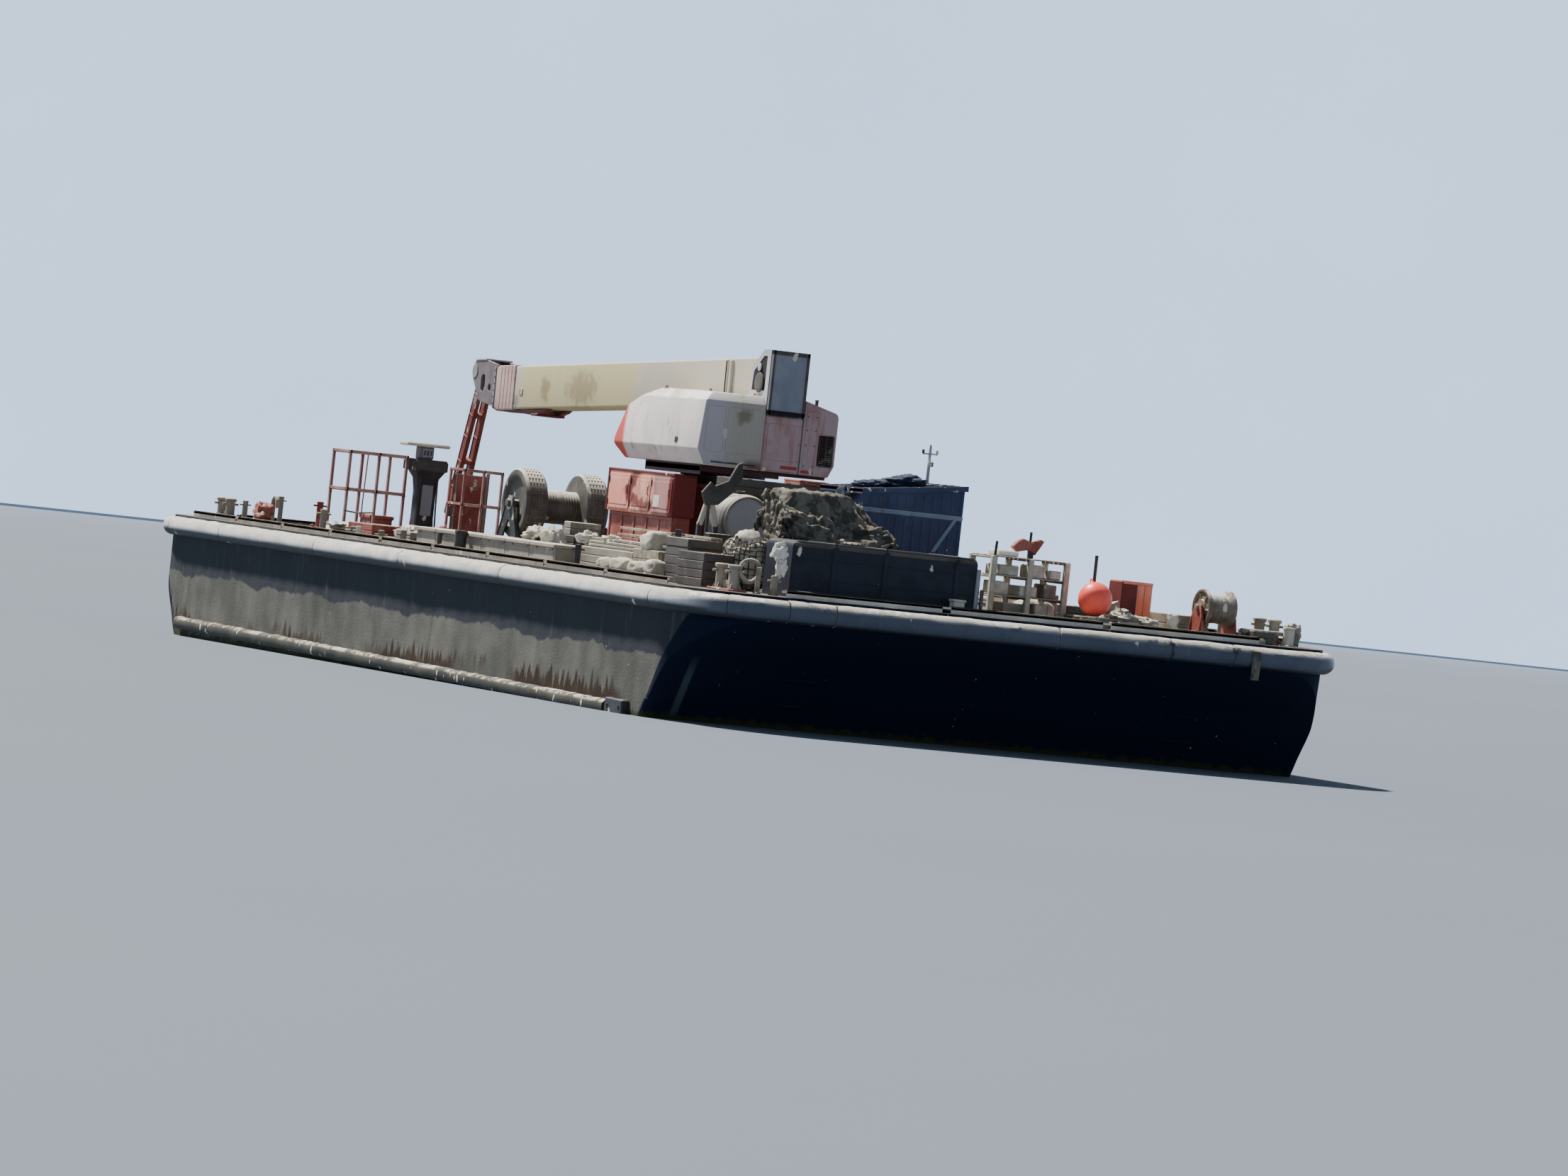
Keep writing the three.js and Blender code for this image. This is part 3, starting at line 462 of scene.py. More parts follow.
# Along and up the machinery chest's long side: a dark hooked mark.
HOOK_MARK = ((-0.19, 4.48), (-0.26, 4.38), (-0.41, 4.25), (-0.32, 4.15), (-0.08, 4.07), (0.21, 4.02),
             (0.5, 4.01))
NO_RUST = (3.0, 0.0)
DULL = {"edge": 0.0, "rough": (0.9, 0.95)}


def paint_hull():
    painted("hull", (84, 84, 78), (103, 101, 94), (0.9, 0.0), 0.0, 0.0, (62, 62, 56),
            patches=(0.7, 0.38, 0.62),
            runs=(3.2, 0.16, 0.5, 0.8), edge=0.0, shine=0.1, rough=(0.85, 0.95), grain=22.0, depth=0.01,
            last=[hull_tide_and_shade])
    painted("deck", (86, 79, 71), (110, 103, 92), (0.8, 0.42), 0.42, 0.1, patches=(0.5, 0.4, 0.62), size=0.45,
            edge=0.0, grain=30.0, depth=0.008)
    painted("strake", (188, 186, 182), (214, 211, 204), (1.6, 0.1), 0.6, 0.1, (112, 112, 112), size=0.8,
            edge=0.0,
            patches=(1.4, 0.4, 0.6), runs=(9.0, 1.5, 0.56, 0.76), grain=40.0, depth=0.008, extra=[belt_paint_and_shade])
    painted("lower_strake", (66, 63, 48), (46, 45, 34), (2.0, 0.1), 0.54, 0.24, size=1.4, edge=0.0,
            depth=0.012,
            extra=[by_direction("Z", 0.3, -0.5, (34, 37, 28))])


def paint_crane():
    """Name, base and faded colour, rust's scale and amount, crust on top and on sides, colour of the runs."""
    painted("jib", (104, 42, 36), (124, 62, 54), (3.2, 0.34), 0.3, 0.18, (92, 36, 30),
            extra=[by_place("Z", 5.45, 5.75, (142, 136, 130), 0.7)])
    painted("white", (218, 209, 205), (230, 222, 218), (2.6, 0.14), 0.5, 0.1, (132, 112, 98),
            run_strength=0.45,
            extra=[by_place("X", -0.9, -1.04, (202, 84, 66), 0.2), wall_tints_and_shade])
    painted("pink", (168, 146, 148), (156, 122, 122), (2.2, 0.2), 0.5, 0.1, (140, 78, 62),
            patches=(1.6, 0.42, 0.62), runs=(6.0, 0.6, 0.5, 0.72))
    painted("cream", (196, 189, 160), (188, 182, 166), (1.5, 0.12), 0.5, 0.08, (172, 156, 116),
            patches=(0.55, 0.4, 0.6), runs=(3.0, 0.5, 0.56, 0.8), run_strength=0.5,
            extra=[yellow_panel, stain((-7.85, -0.05, 5.92), 0.1, 0.34, 0.6, (112, 96, 66)),
                   stain((-6.1, -0.05, 5.96), 0.2, 0.5, 0.55, (124, 106, 70), (0.5, 1.0, 1.2)),
                   stain((-9.25, -0.05, 5.66), 0.05, 0.2, 0.6, (104, 92, 84))])
    marks = (stain((x, -1.3, z), 0.06, 0.15, 0.85, (112, 42, 34), (0.6, 1.0, 1.0)) for x, z in HOOK_MARK)
    # On the chest, mauve past x 0.6 is a painted shadow on its long side, and dark red past x 1.3, over its
    # end face, is painted shade.
    painted("machinery", (238, 156, 134), (242, 182, 164), (2.6, 0.1), 0.4, 0.08, (124, 62, 50),
            runs=(3.0, 0.8, 0.5, 0.7), edge_colour=(120, 50, 42),
            extra=[by_place("X", 0.56, 0.76, (186, 138, 130), 0.1),
                   by_place("X", 1.28, 1.36, (116, 40, 34), 0.1),
                   *marks])
    painted("slate", (118, 124, 138), (132, 136, 146), (2.0, 0.1), 0.5, 0.05, (96, 98, 104))
    painted("dark_red", (92, 34, 32), (112, 50, 44), (2.4, 0.3), 0.3, 0.1, (50, 22, 20))
    # The platform's dark red, darkened further as painted shade under the hood.
    painted("sooty_red", (50, 20, 22), (66, 30, 30), (2.4, 0.2), 0.3, 0.04, edge_colour=(70, 34, 34))
    painted("frame", (62, 60, 57), (82, 79, 74), (2.4, 0.3), 0.4, 0.12)
    painted("brick", (142, 74, 60), (166, 104, 90), (2.4, 0.32), 0.45, 0.14, (84, 38, 28))
    painted("red", (176, 44, 48), (160, 60, 58), (4.0, 0.2), edge=0.0)
    painted("bracket", (172, 178, 184), (188, 192, 194), (2.0, 0.12), 0.5, 0.08, (120, 116, 110))
    painted("collar", (196, 166, 158), (178, 142, 136), (2.6, 0.16), 0.5, 0.06, (138, 96, 88),
            edge_colour=(206, 184, 176))
    painted("head", (100, 92, 94), (122, 113, 115), (2.6, 0.28), 0.5, 0.16, (120, 70, 60))
    painted("steel", (176, 178, 180), (150, 150, 150), (5.0, 0.1), 0.1, 0.04, rough=(0.25, 0.7), metal=0.9,
            edge=0.0, depth=0.001)


def paint_deck_gear():
    painted("crusted", (120, 115, 104), (146, 140, 127), (2.4, 0.26), 0.62, 0.3, depth=0.007)
    painted("rust", (124, 58, 48), (154, 92, 82), (3.0, 0.42), 0.5, 0.2, (74, 34, 26))
    painted("pink_rail", (150, 98, 92), (178, 136, 128), (4.0, 0.36), 0.55, 0.28, (84, 44, 34))
    painted("dark", (44, 47, 52), (66, 68, 72), (2.4, 0.22), 0.5, 0.2)
    painted("tank", (22, 24, 36), (33, 35, 47), (1.8, 0.16), 0.28, 0.04, (58, 56, 52),
            patches=(1.6, 0.4, 0.6),
            runs=(8.0, 0.8, 0.6, 0.85), edge_colour=(46, 46, 54))
    painted("grey", (132, 134, 138), (154, 155, 156), (2.2, 0.16), 0.5, 0.14, (92, 80, 72))
    painted("blue", (40, 56, 88), (56, 72, 102), (2.2, 0.24), 0.45, 0.16, (40, 48, 60))
    painted("pale_blue", (104, 122, 146), (124, 136, 152), (2.2, 0.18), 0.6, 0.16)
    painted("beige", (164, 156, 142), (144, 136, 122), (2.0, 0.22), 0.6, 0.2, (110, 98, 80))
    painted("timber", (120, 110, 96), (152, 143, 128), NO_RUST, 0.5, 0.2, patches=(4.0, 0.4, 0.6),
            rough=(0.85, 0.95), edge=0.0, grain=90.0, depth=0.006)
    painted("buoy", (250, 92, 76), (252, 116, 98), NO_RUST, 0.34, 0.06, (150, 50, 40),
            patches=(3.0, 0.4, 0.7),
            runs=(10.0, 2.0, 0.6, 0.8), run_strength=0.4, size=2.0, rough=(0.38, 0.8), edge=0.0, depth=0.002)
    painted("rubber", (48, 48, 50), (76, 76, 76), NO_RUST, 0.56, 0.3, patches=(3.0, 0.4, 0.6),
            rough=(0.8, 0.95),
            edge=0.0)
    painted("winch", (76, 74, 69), (98, 96, 88), (2.0, 0.14), 0.8, 0.3, (80, 80, 66), patches=(2.6, 0.4, 0.6),
            size=1.2)
    # Painted light and shade: the tank's shell is kept dark against the sun, and its end that faces +X, which
    # lies in shade, is painted lighter.
    painted("disc", (82, 82, 83), (98, 98, 97), (2.2, 0.12), 0.6, 0.1, (72, 70, 66),
            extra=[by_direction("X", 0.6, 0.85, (152, 150, 150))])
    painted("chalk", (212, 208, 196), (188, 182, 166), (2.6, 0.08), 0.7, 0.3, (150, 142, 124))
    painted("bin", (248, 136, 104), (250, 158, 130), (2.6, 0.16), 0.4, 0.1, (120, 40, 28))
    painted("bin_dark", (96, 36, 38), (116, 50, 46), (3.0, 0.3), 0.4, 0.1)
    painted("roller", (98, 88, 75), (122, 112, 97), (3.0, 0.2), 0.6, 0.34, (120, 104, 84),
            patches=(3.0, 0.4, 0.6), size=1.4)
    painted("drum", (80, 84, 84), (104, 104, 98), (2.6, 0.34), 0.5, 0.16)
    painted("tarp", (112, 106, 95), (72, 69, 61), NO_RUST, 0.3, 0.12, patches=(4.6, 0.47, 0.55), size=1.3,
            grain=140.0, depth=0.005, **DULL)
    painted("dark_cloth", (34, 44, 62), (52, 62, 80), NO_RUST, 0.4, 0.2, patches=(5.0, 0.42, 0.6),
            grain=150.0,
            depth=0.005, **DULL)
    painted("sack", (196, 190, 174), (168, 160, 142), NO_RUST, 0.5, 0.2, patches=(5.0, 0.4, 0.6), grain=180.0,
            depth=0.003, **DULL)
    plain("glass", (58, 70, 78), 0.2, 0.5)
    plain("black", (16, 17, 19), 0.9)


for paint in (paint_hull, paint_crane, paint_deck_gear):
    paint()


# Mesh building. A shape gathers closed forms, and each form keeps the number of its material.


def turn_about(axis, degrees, at=(0, 0, 0)):
    return Matrix.Translation(at) @ Matrix.Rotation(math.radians(degrees), 4,
                                                    axis) @ Matrix.Translation(-Vector(at))


def inset(outline, depth):
    """A closed outline with each side moved inwards by depth."""
    points = np.array(outline, float)
    ahead = np.roll(points, -1, 0) - points
    ahead /= np.linalg.norm(ahead, axis=1)[:, None]
    area = np.sum(points[:, 0] * np.roll(points[:, 1], -1) - np.roll(points[:, 0], -1) * points[:, 1])
    inward = np.stack([-ahead[:, 1], ahead[:, 0]], 1) * (1 if area > 0 else -1)
    before = np.roll(inward, 1, 0)
    corner = (inward + before) / (1 + np.sum(inward * before, 1))[:, None]
    return points + corner * depth


def rounded(points, radius, steps=4):
    """The outline with its corners replaced by arcs."""
    out = []
    for i, here in enumerate(points):
        corner = Vector(here)
        back = (Vector(points[i - 1]) - corner).normalized()
        on = (Vector(points[(i + 1) % len(points)]) - corner).normalized()
        half = back.angle(on) / 2
        reach = radius / math.tan(half)
        centre = corner + (back + on).normalized() * (radius / math.sin(half))
        first, last = corner + back * reach - centre, corner + on * reach - centre
        sweep = first.angle_signed(last)
        for s in range(steps + 1):
            turn = Matrix.Rotation(-sweep * s / steps, 2)
            out.append(tuple(centre + turn @ first))
    return out


def rectangle(u0, u1, v0, v1, corner=0.0):
    outline = [(u0, v0), (u1, v0), (u1, v1), (u0, v1)]
    return rounded(outline, corner) if corner else outline


def arc(u, v, radius, start, end, count):
    """Points on an arc about u and v, both ends included."""
    return [(u + radius * math.cos(a), v + radius * math.sin(a)) for a in np.linspace(start, end, count)]


def circle(u, v, radius, sides=24):
    return [(u + radius * math.cos(a), v + radius * math.sin(a))
            for a in (TURN * i / sides for i in range(sides))]


LIFT_OUT = {"X": lambda u, v, t: (t, u, v), "Y": lambda u, v, t: (u, t, v), "Z": lambda u, v, t: (u, v, t)}


class Shape:
    """Closed forms. A frame places all of them, and each may have a place of its own in it."""

    def __init__(self, frame=None):
        self.frame = frame
        self.points = []
        self.faces = []
        self.marks = []

    def add(self, points, faces, mark=0, place=None):
        start = len(self.points)
        if self.frame:
            place = self.frame @ place if place else self.frame
        self.points += [tuple(place @ Vector(p)) if place else tuple(p) for p in points]
        self.faces += [[start + i for i in face] for face in faces]
        self.marks += [mark] * len(faces)

    def skin(self, rings, mark=0, place=None, loop=False, caps=(True, True)):
        """Quads between rings of equally many points. Caps close the two ends."""
        count = len(rings[0])
        points = [p for ring in rings for p in ring]
        faces = []
        for i in range(len(rings) if loop else len(rings) - 1):
            a, b = i * count, (i + 1) % len(rings) * count
            faces += [[a + j, a + (j + 1) % count, b + (j + 1) % count, b + j] for j in range(count)]
        if not loop:
            last = (len(rings) - 1) * count
            faces += [list(range(count))[::-1]] if caps[0] else []
            faces += [list(range(last, last + count))] if caps[1] else []
        self.add(points, faces, mark, place)

    def prism(self, outline, axis, start, end, chamfer=0.0, mark=0, place=None):
        out = LIFT_OUT[axis]
        start, end = min(start, end), max(start, end)
        levels = [(start, chamfer), (start + chamfer, 0), (end - chamfer, 0), (end, chamfer)]
        if not chamfer:
            levels = [(start, 0), (end, 0)]
        rings = [[out(u, v, t) for u, v in (inset(outline, d) if d else outline)] for t, d in levels]
        self.skin(rings, mark, place)

    def box(self, low, high, chamfer=0.0, mark=0, place=None):
        """A box between two opposite corners, with all its edges chamfered."""
        (x0, x1), (y0, y1), (z0, z1) = (sorted(ends) for ends in zip(low, high))
        c = min(chamfer, 0.45 * min(x1 - x0, y1 - y0, z1 - z0))
        outline = rectangle(x0, x1, y0, y1)
        if c > 0:
            outline = [(x0 + c, y0), (x1 - c, y0), (x1, y0 + c), (x1, y1 - c),
                       (x1 - c, y1), (x0 + c, y1), (x0, y1 - c), (x0, y0 + c)]
        self.prism(outline, "Z", z0, z1, c, mark, place)

    def tube(self, path, radius, sides=10, mark=0, place=None, loop=False):
        path = [Vector(p) for p in path]
        count = len(path)
        radii = radius if isinstance(radius, (list, tuple)) else [radius] * count
        normal = None
        rings = []
        for i, here in enumerate(path):
            after = path[(i + 1) % count] if loop or i + 1 < count else here
            before = path[i - 1] if loop or i > 0 else here
            along = (after - before).normalized()
            normal = normal or along.orthogonal()
            normal = (normal - normal.dot(along) * along).normalized()
            other = along.cross(normal)
            rings.append([here + c * normal + s * other for c, s in circle(0, 0, radii[i], sides)])
        self.skin(rings, mark, place, loop)

    def turned(self, profile, centre, axis="Z", sides=32, mark=0, place=None):
        """A turned form: the profile is a list of radius and height along the axis from centre."""
        out = LIFT_OUT[axis]
        rings = [[Vector(centre) + Vector(out(*p, t)) for p in circle(0, 0, r, sides)] for r, t in profile]
        self.skin(rings, mark, place)

    def bolts(self, centres, axis, radius, height, mark=0, place=None):
        """Hexagon heads that stand on their centres and rise by height along the axis."""
        turn = "XYZ".index(axis)
        for centre in centres:
            flat = [c for i, c in enumerate(centre) if i != turn]
            at = centre[turn]
            self.prism(circle(*flat, radius, 6), axis, at, at + height, 0.0, mark, place)

    def take(self, mesh):
        """Adds the faces of a ready mesh."""
        self.add([v.co for v in mesh.vertices], [list(p.vertices) for p in mesh.polygons])


def cleaned(mesh, merge=0.0):
    """Faces turned outwards, after a merge of doubled points if asked."""
    form = bmesh.new()
    form.from_mesh(mesh)
    if merge:
        bmesh.ops.remove_doubles(form, verts=form.verts, dist=merge)
    bmesh.ops.recalc_face_normals(form, faces=form.faces)
    form.to_mesh(mesh)
    form.free()
    return mesh


def mesh_of(shape, name="form"):
    mesh = bpy.data.meshes.new(name)
    mesh.from_pydata(shape.points, [], shape.faces)
    mesh.polygons.foreach_set("material_index", shape.marks)
    return cleaned(mesh)


def evaluated(thing):
    """The mesh of an object after its modifiers."""
    bpy.context.view_layer.update()
    return bpy.data.meshes.new_from_object(thing.evaluated_get(bpy.context.evaluated_depsgraph_get()))


def carved(body, cutters=(), meets=(), bevel=0.0, segments=2, limit=30):
    """The body's mesh after boolean cuts, intersections and a bevel of its sharp edges."""
    things = [in_scene("form", mesh_of(s)) for s in (body, *meets, *cutters)]
    whole = things[0]
    for i, thing in enumerate(things[1:]):
        step = whole.modifiers.new("form", "BOOLEAN")
        step.solver = "EXACT"
        step.operation = "INTERSECT" if i < len(meets) else "DIFFERENCE"
        step.object = thing
    if bevel:
        soft = whole.modifiers.new("edges", "BEVEL")
        soft.width = bevel
        soft.segments = segments
        soft.angle_limit = math.radians(limit)
    mesh = evaluated(whole)
    for thing in things:
        bpy.data.objects.remove(thing)
    return mesh


def piece(shape, name, materials, replaces=None, body="barge", smooth=38):
    """Puts a shape into the scene as a piece that rides on a CAD body."""
    mesh = mesh_of(shape, name)
    for key in materials.split():
        mesh.materials.append(MAT[key])
    mesh.shade_smooth()
    mesh.set_sharp_from_angle(angle=math.radians(smooth))
    thing = in_scene(name, mesh)
    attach(thing, body)
    if replaces:
        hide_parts(replaces)
    return thing


def ring_of(centre, radius, count):
    """Points evenly spaced on a level circle about a centre."""
    x, y, z = centre
    return [(u, v, z) for u, v in circle(x, y, radius, count)]


# Hull. Its rings follow the plan outline, cut short where the ends rake in.


def half_length(z):
    return float(np.interp(z, *zip(*RAKE)))


def half_beam(z):
    if z >= BILGE:
        return HALF_Y
    return HALF_Y - BILGE + math.sqrt(BILGE ** 2 - (BILGE - z) ** 2)


def hull_ring(z, across=70, along=150, turn=8):
    """One closed ring of plan points at a height, as x, y and the outward direction."""
    end, side = half_length(z), half_beam(z)
    straight = min(end, HALF_X - CORNER)
    reach = max(0.0, min(1.0, (end - (HALF_X - CORNER)) / CORNER))
    quarter = [(u if reach > 0 else end, v if reach > 0 else side)
               for u, v in arc(HALF_X - CORNER, side - CORNER, CORNER, QUARTER, math.acos(reach), turn + 1)]
    y_end = quarter[-1][1]
    ring = [(straight * (2 * i / along - 1), -side, 0, -1) for i in range(along)]
    ring += [(x, -y, x / end, -y / side) for x, y in quarter]
    ring += [(end, -y_end + 2 * y_end * (i + 1) / across, 1, 0) for i in range(across - 1)]
    ring += [(x, y, x / end, y / side) for x, y in reversed(quarter)]
    ring += [(straight * (1 - 2 * (i + 1) / along), side, 0, 1) for i in range(along - 1)]
    ring += [(-x, y, -x / end, y / side) for x, y in quarter]
    ring += [(-end, y_end - 2 * y_end * (i + 1) / across, -1, 0) for i in range(across - 1)]
    ring += [(-x, -y, -x / end, -y / side) for x, y in reversed(quarter)]
    return ring


FRAME_STEP = 0.62


def dent(along, z, seed):
    """How far plating is pressed in between the frames behind it."""
    bay = math.sin(math.pi * along / FRAME_STEP) ** 2
    level = math.sin(math.pi * min(max((z - 0.15) / 2.35, 0.0), 1.0))
    knock = max(0.0, noise.noise(Vector((along * 0.45, z * 0.7, seed)))) * 0.05
    return level * (0.012 * bay + knock)


def hull():
    shape = Shape()
    rings = []
    for z in (0.0, 0.02, 0.06, 0.12, 0.19, 0.26, 0.45, 0.65, 0.85, *np.arange(0.95, 2.86, 0.1), DECK):
        ring = []
        for x, y, nx, ny in hull_ring(z):
            push = dent(x if abs(ny) > 0.9 else y, z, 3.0 * nx + ny)
            ring.append((x - nx * push, y - ny * push, z))
        rings.append(ring)
    shape.skin(rings[:-1], caps=(True, False))
    shape.skin(rings[-2:], caps=(False, True))
    shape.marks[-1] = 1
    shape.box((2.2, 1.6, DECK - 0.01), (6.9, 4.8, DECK + 0.012), 0.004, 1)
    cleaned(piece(shape, "hull_plating", "hull deck", "hull", smooth=30).data, merge=1e-4)


def hull_fittings():
    """Doublers and fender brackets on the plating."""
    shape = Shape()
    for end in (-1, 1):
        for z in (0.86, 1.81):
            x = end * half_length(z)
            shape.tube([(x, -4.8, z), (x, 0, z), (x, 4.8, z)], 0.009, 6)
        for y in (-3.3, 3.3):
            for z in (1.25, 1.65):
                x = end * half_length(z)
                shape.box((x - 0.05, y - 0.3, z - 0.02), (x + 0.05, y + 0.3, z + 0.02), 0.006)
    x0, x1 = 10.07, 10.75
    for side in (-1, 1):
        y = side * HALF_Y
        shape.box((x0, y - side * 0.02, 0.84), (x1, y + side * 0.12, 1.09), 0.02, 1)
        shape.bolts([(x, y + side * 0.12, 0.965) for x in (x0 + 0.12, x1 - 0.12)], "Y", 0.03, side * 0.02, 1)
    piece(shape, "hull_fittings", "hull dark")


# Upper rubbing strake, in lengths with a gap and a butt strap between them.


def belt_point(s):
    """A point and its outward direction at a distance s along the near end, from the starboard side."""
    bend = CORNER * QUARTER
    cx, cy = HALF_X - CORNER, HALF_Y - CORNER
    if bend <= s < bend + 2 * cy:
        return (HALF_X, -cy + s - bend), (1.0, 0.0)
    first = s < bend
    a = -QUARTER + s / CORNER if first else (s - bend - 2 * cy) / CORNER
    cy = -cy if first else cy
    return (cx + CORNER * math.cos(a), cy + CORNER * math.sin(a)), (math.cos(a), math.sin(a))


def strake_section(seed, s, steps=14):
    """Half-round section as outward reach and height, with crust on top and knocks on the face."""
    out, half = STRAKE["out"], STRAKE["half"]
    section = [(0.0, -half)]
    for i in range(steps + 1):
        a = -QUARTER + math.pi * i / steps
        lump = noise.noise(Vector((s * 2.6, a * 1.3, seed))) + 0.5 * noise.noise(Vector((s * 9, a * 3, seed)))
        top = max(0.0, math.sin(a))
        knock = min(0.0, noise.noise(Vector((s * 0.8, a, seed + 9)))) * 0.03 * math.cos(a)
        grow = 1 + knock + 0.05 * lump * (0.3 + top)
        section.append((out * math.cos(a) ** 0.8 * grow if math.cos(a) > 1e-6 else 0.0,
                        half * math.sin(a) * grow))
    return section


def strake_run(shape, point_at, start, end, seed, step=0.11):
    count = max(2, int((end - start) / step))
    rings = []
    for i in range(count + 1):
        s = start + (end - start) * i / count
        (x, y), (nx, ny) = point_at(s)
        tip = 0.012 if i in (0, count) else 0.0
        rings.append([(x + nx * max(0.0, u - tip), y + ny * max(0.0, u - tip), STRAKE["mid"] + v * (1 - tip))
                      for u, v in strake_section(seed, s)])
    shape.skin(rings)


def strakes():
    bend, joint, gap = CORNER * QUARTER, HALF_X - CORNER, 0.012
    around = 2 * (HALF_Y - CORNER) + 2 * bend
    near_seams, far_seams = ([bend + y + HALF_Y - CORNER for y in ys]
                             for ys in ((-4.99, -4.11, -3.34, 0.4, 2.32, 3.43), (-3.8, -0.6, 2.7)))
    plans = (
        ("strake_near", belt_point, around, near_seams),
        ("strake_far", lambda s: tuple((-a, b) for a, b in belt_point(s)), around, far_seams),
        ("strake_port", lambda s: ((s - joint, HALF_Y), (0.0, 1.0)), 2 * joint, (3.2, 8.4, 13.9, 18.6)),
        ("strake_starboard", lambda s: ((s - joint, -HALF_Y), (0.0, -1.0)), 2 * joint,
         (2.9, 8.0, 12.2, 16.8)),
    )
    for seed, (name, point_at, length, seams) in enumerate(plans):
        shape = Shape()
        stops = [0.0, *seams, length]
        for a, b in zip(stops, stops[1:]):
            strake_run(shape, point_at, a + gap, b - gap, seed * 7.3 + a)
        for s in seams:
            (x, y), (nx, ny) = point_at(s)
            side = Vector((-ny, nx, 0))
            rings = [[Vector((x + nx * u * 0.93, y + ny * u * 0.93, STRAKE["mid"] + v * 0.95)) + side * t
                      for u, v in strake_section(1.0, s)] for t in (-0.05, 0.05)]
            shape.skin(rings, 1)
        piece(shape, name + "_belt", "strake dark", name, smooth=50)


def lower_strakes():
    section = ((0.0, -0.12), (0.085, -0.105), (0.13, -0.05), (0.13, 0.05), (0.09, 0.1), (0.0, 0.12))
    for name, side, stop in (("lower_strake_port", 1, 10.75), ("lower_strake_starboard", -1, 10.0)):
        shape = Shape()
        rings = []
        for x in np.linspace(-10.75, stop, 150):
            lumps = [(u, v, 1 + 0.14 * noise.noise(Vector((x * 2.4, v * 9, side * 5.0)))) for u, v in section]
            rings.append([(x, side * (HALF_Y + 0.0005 + u * lump), 0.93 + v * lump) for u, v, lump in lumps])
        shape.skin(rings)
        piece(shape, name + "_fender", "lower_strake", name, smooth=60)


def kerbs():
    """Angle bars welded on the deck, with scuppers cut in their feet."""
    for name in ("kerb_port", "kerb_starboard", "kerb_near", "kerb_far"):
        low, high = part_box(name)
        shape = Shape()
        axis, lead = ("Y", 1) if name in ("kerb_near", "kerb_far") else ("X", 0)
        start, end = low[lead], high[lead]
        c0, c1 = low[1 - lead], high[1 - lead]
        web = (c0, c0 + 0.014) if c0 + c1 <= 0 else (c1 - 0.014, c1)
        lengths = max(2, int((end - start) / 2.3))
        for i in range(lengths):
            a = start + (end - start) * i / lengths + 0.07
            b = start + (end - start) * (i + 1) / lengths - 0.07
            for (u0, u1), z in ((web, low.z), ((c0, c1), high.z - 0.014)):
                shape.prism(rectangle(u0, u1, z, high.z), axis, a, b, 0.003)
        shape.prism(rectangle(*web, high.z - 0.05, high.z - 0.016), axis, start, end)
        # The near kerb takes the whiter chalk paint: guano, and partly a painted highlight along its lit top.
        piece(shape, name + "_angle", "chalk" if name == "kerb_near" else "crusted", name)


def bitts():
    spread, radius, top = 0.24, 0.085, DECK + 0.4
    for name in ("bitts_near_port", "bitts_near_starboard", "bitts_far_port", "bitts_far_starboard"):
        low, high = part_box(name)
        x, y = (low.x + high.x) / 2, (low.y + high.y) / 2
        shape = Shape()
        shape.box((low.x, low.y, DECK), (high.x, high.y, DECK + 0.03), 0.006, 1)
        for px in (x - spread, x + spread):
            shape.turned([(radius, DECK + 0.02), (radius, top - 0.07), (radius + 0.025, top - 0.055),
                          (radius + 0.025, top - 0.015), (radius + 0.01, top)], (px, y, 0), "Z", 28)
            shape.tube([(px, y - 0.15, DECK + 0.29), (px, y + 0.15, DECK + 0.29)], 0.022, 12)
            near = px + radius - 0.005
            gusset = [(near, DECK + 0.03), (px + radius + 0.06, DECK + 0.03), (near, DECK + 0.13)]
            for a in range(4):
                shape.prism(gusset, "Y", y - 0.006, y + 0.006, place=turn_about("Z", 45 + 90 * a, (px, y, 0)))
        shape.prism(rectangle(y - 0.01, y + 0.01, DECK + 0.03, DECK + 0.16), "X",
                    x - spread + radius - 0.02, x + spread - radius + 0.02)
        shape.bolts([(x + i * 0.39, y + j * 0.12, DECK + 0.03) for i in (-1, 0, 1) for j in (-1, 1)],
                    "Z", 0.018, 0.014)
        piece(shape, name + "_posts", "crusted rust", name)


# Crane, fixed parts.


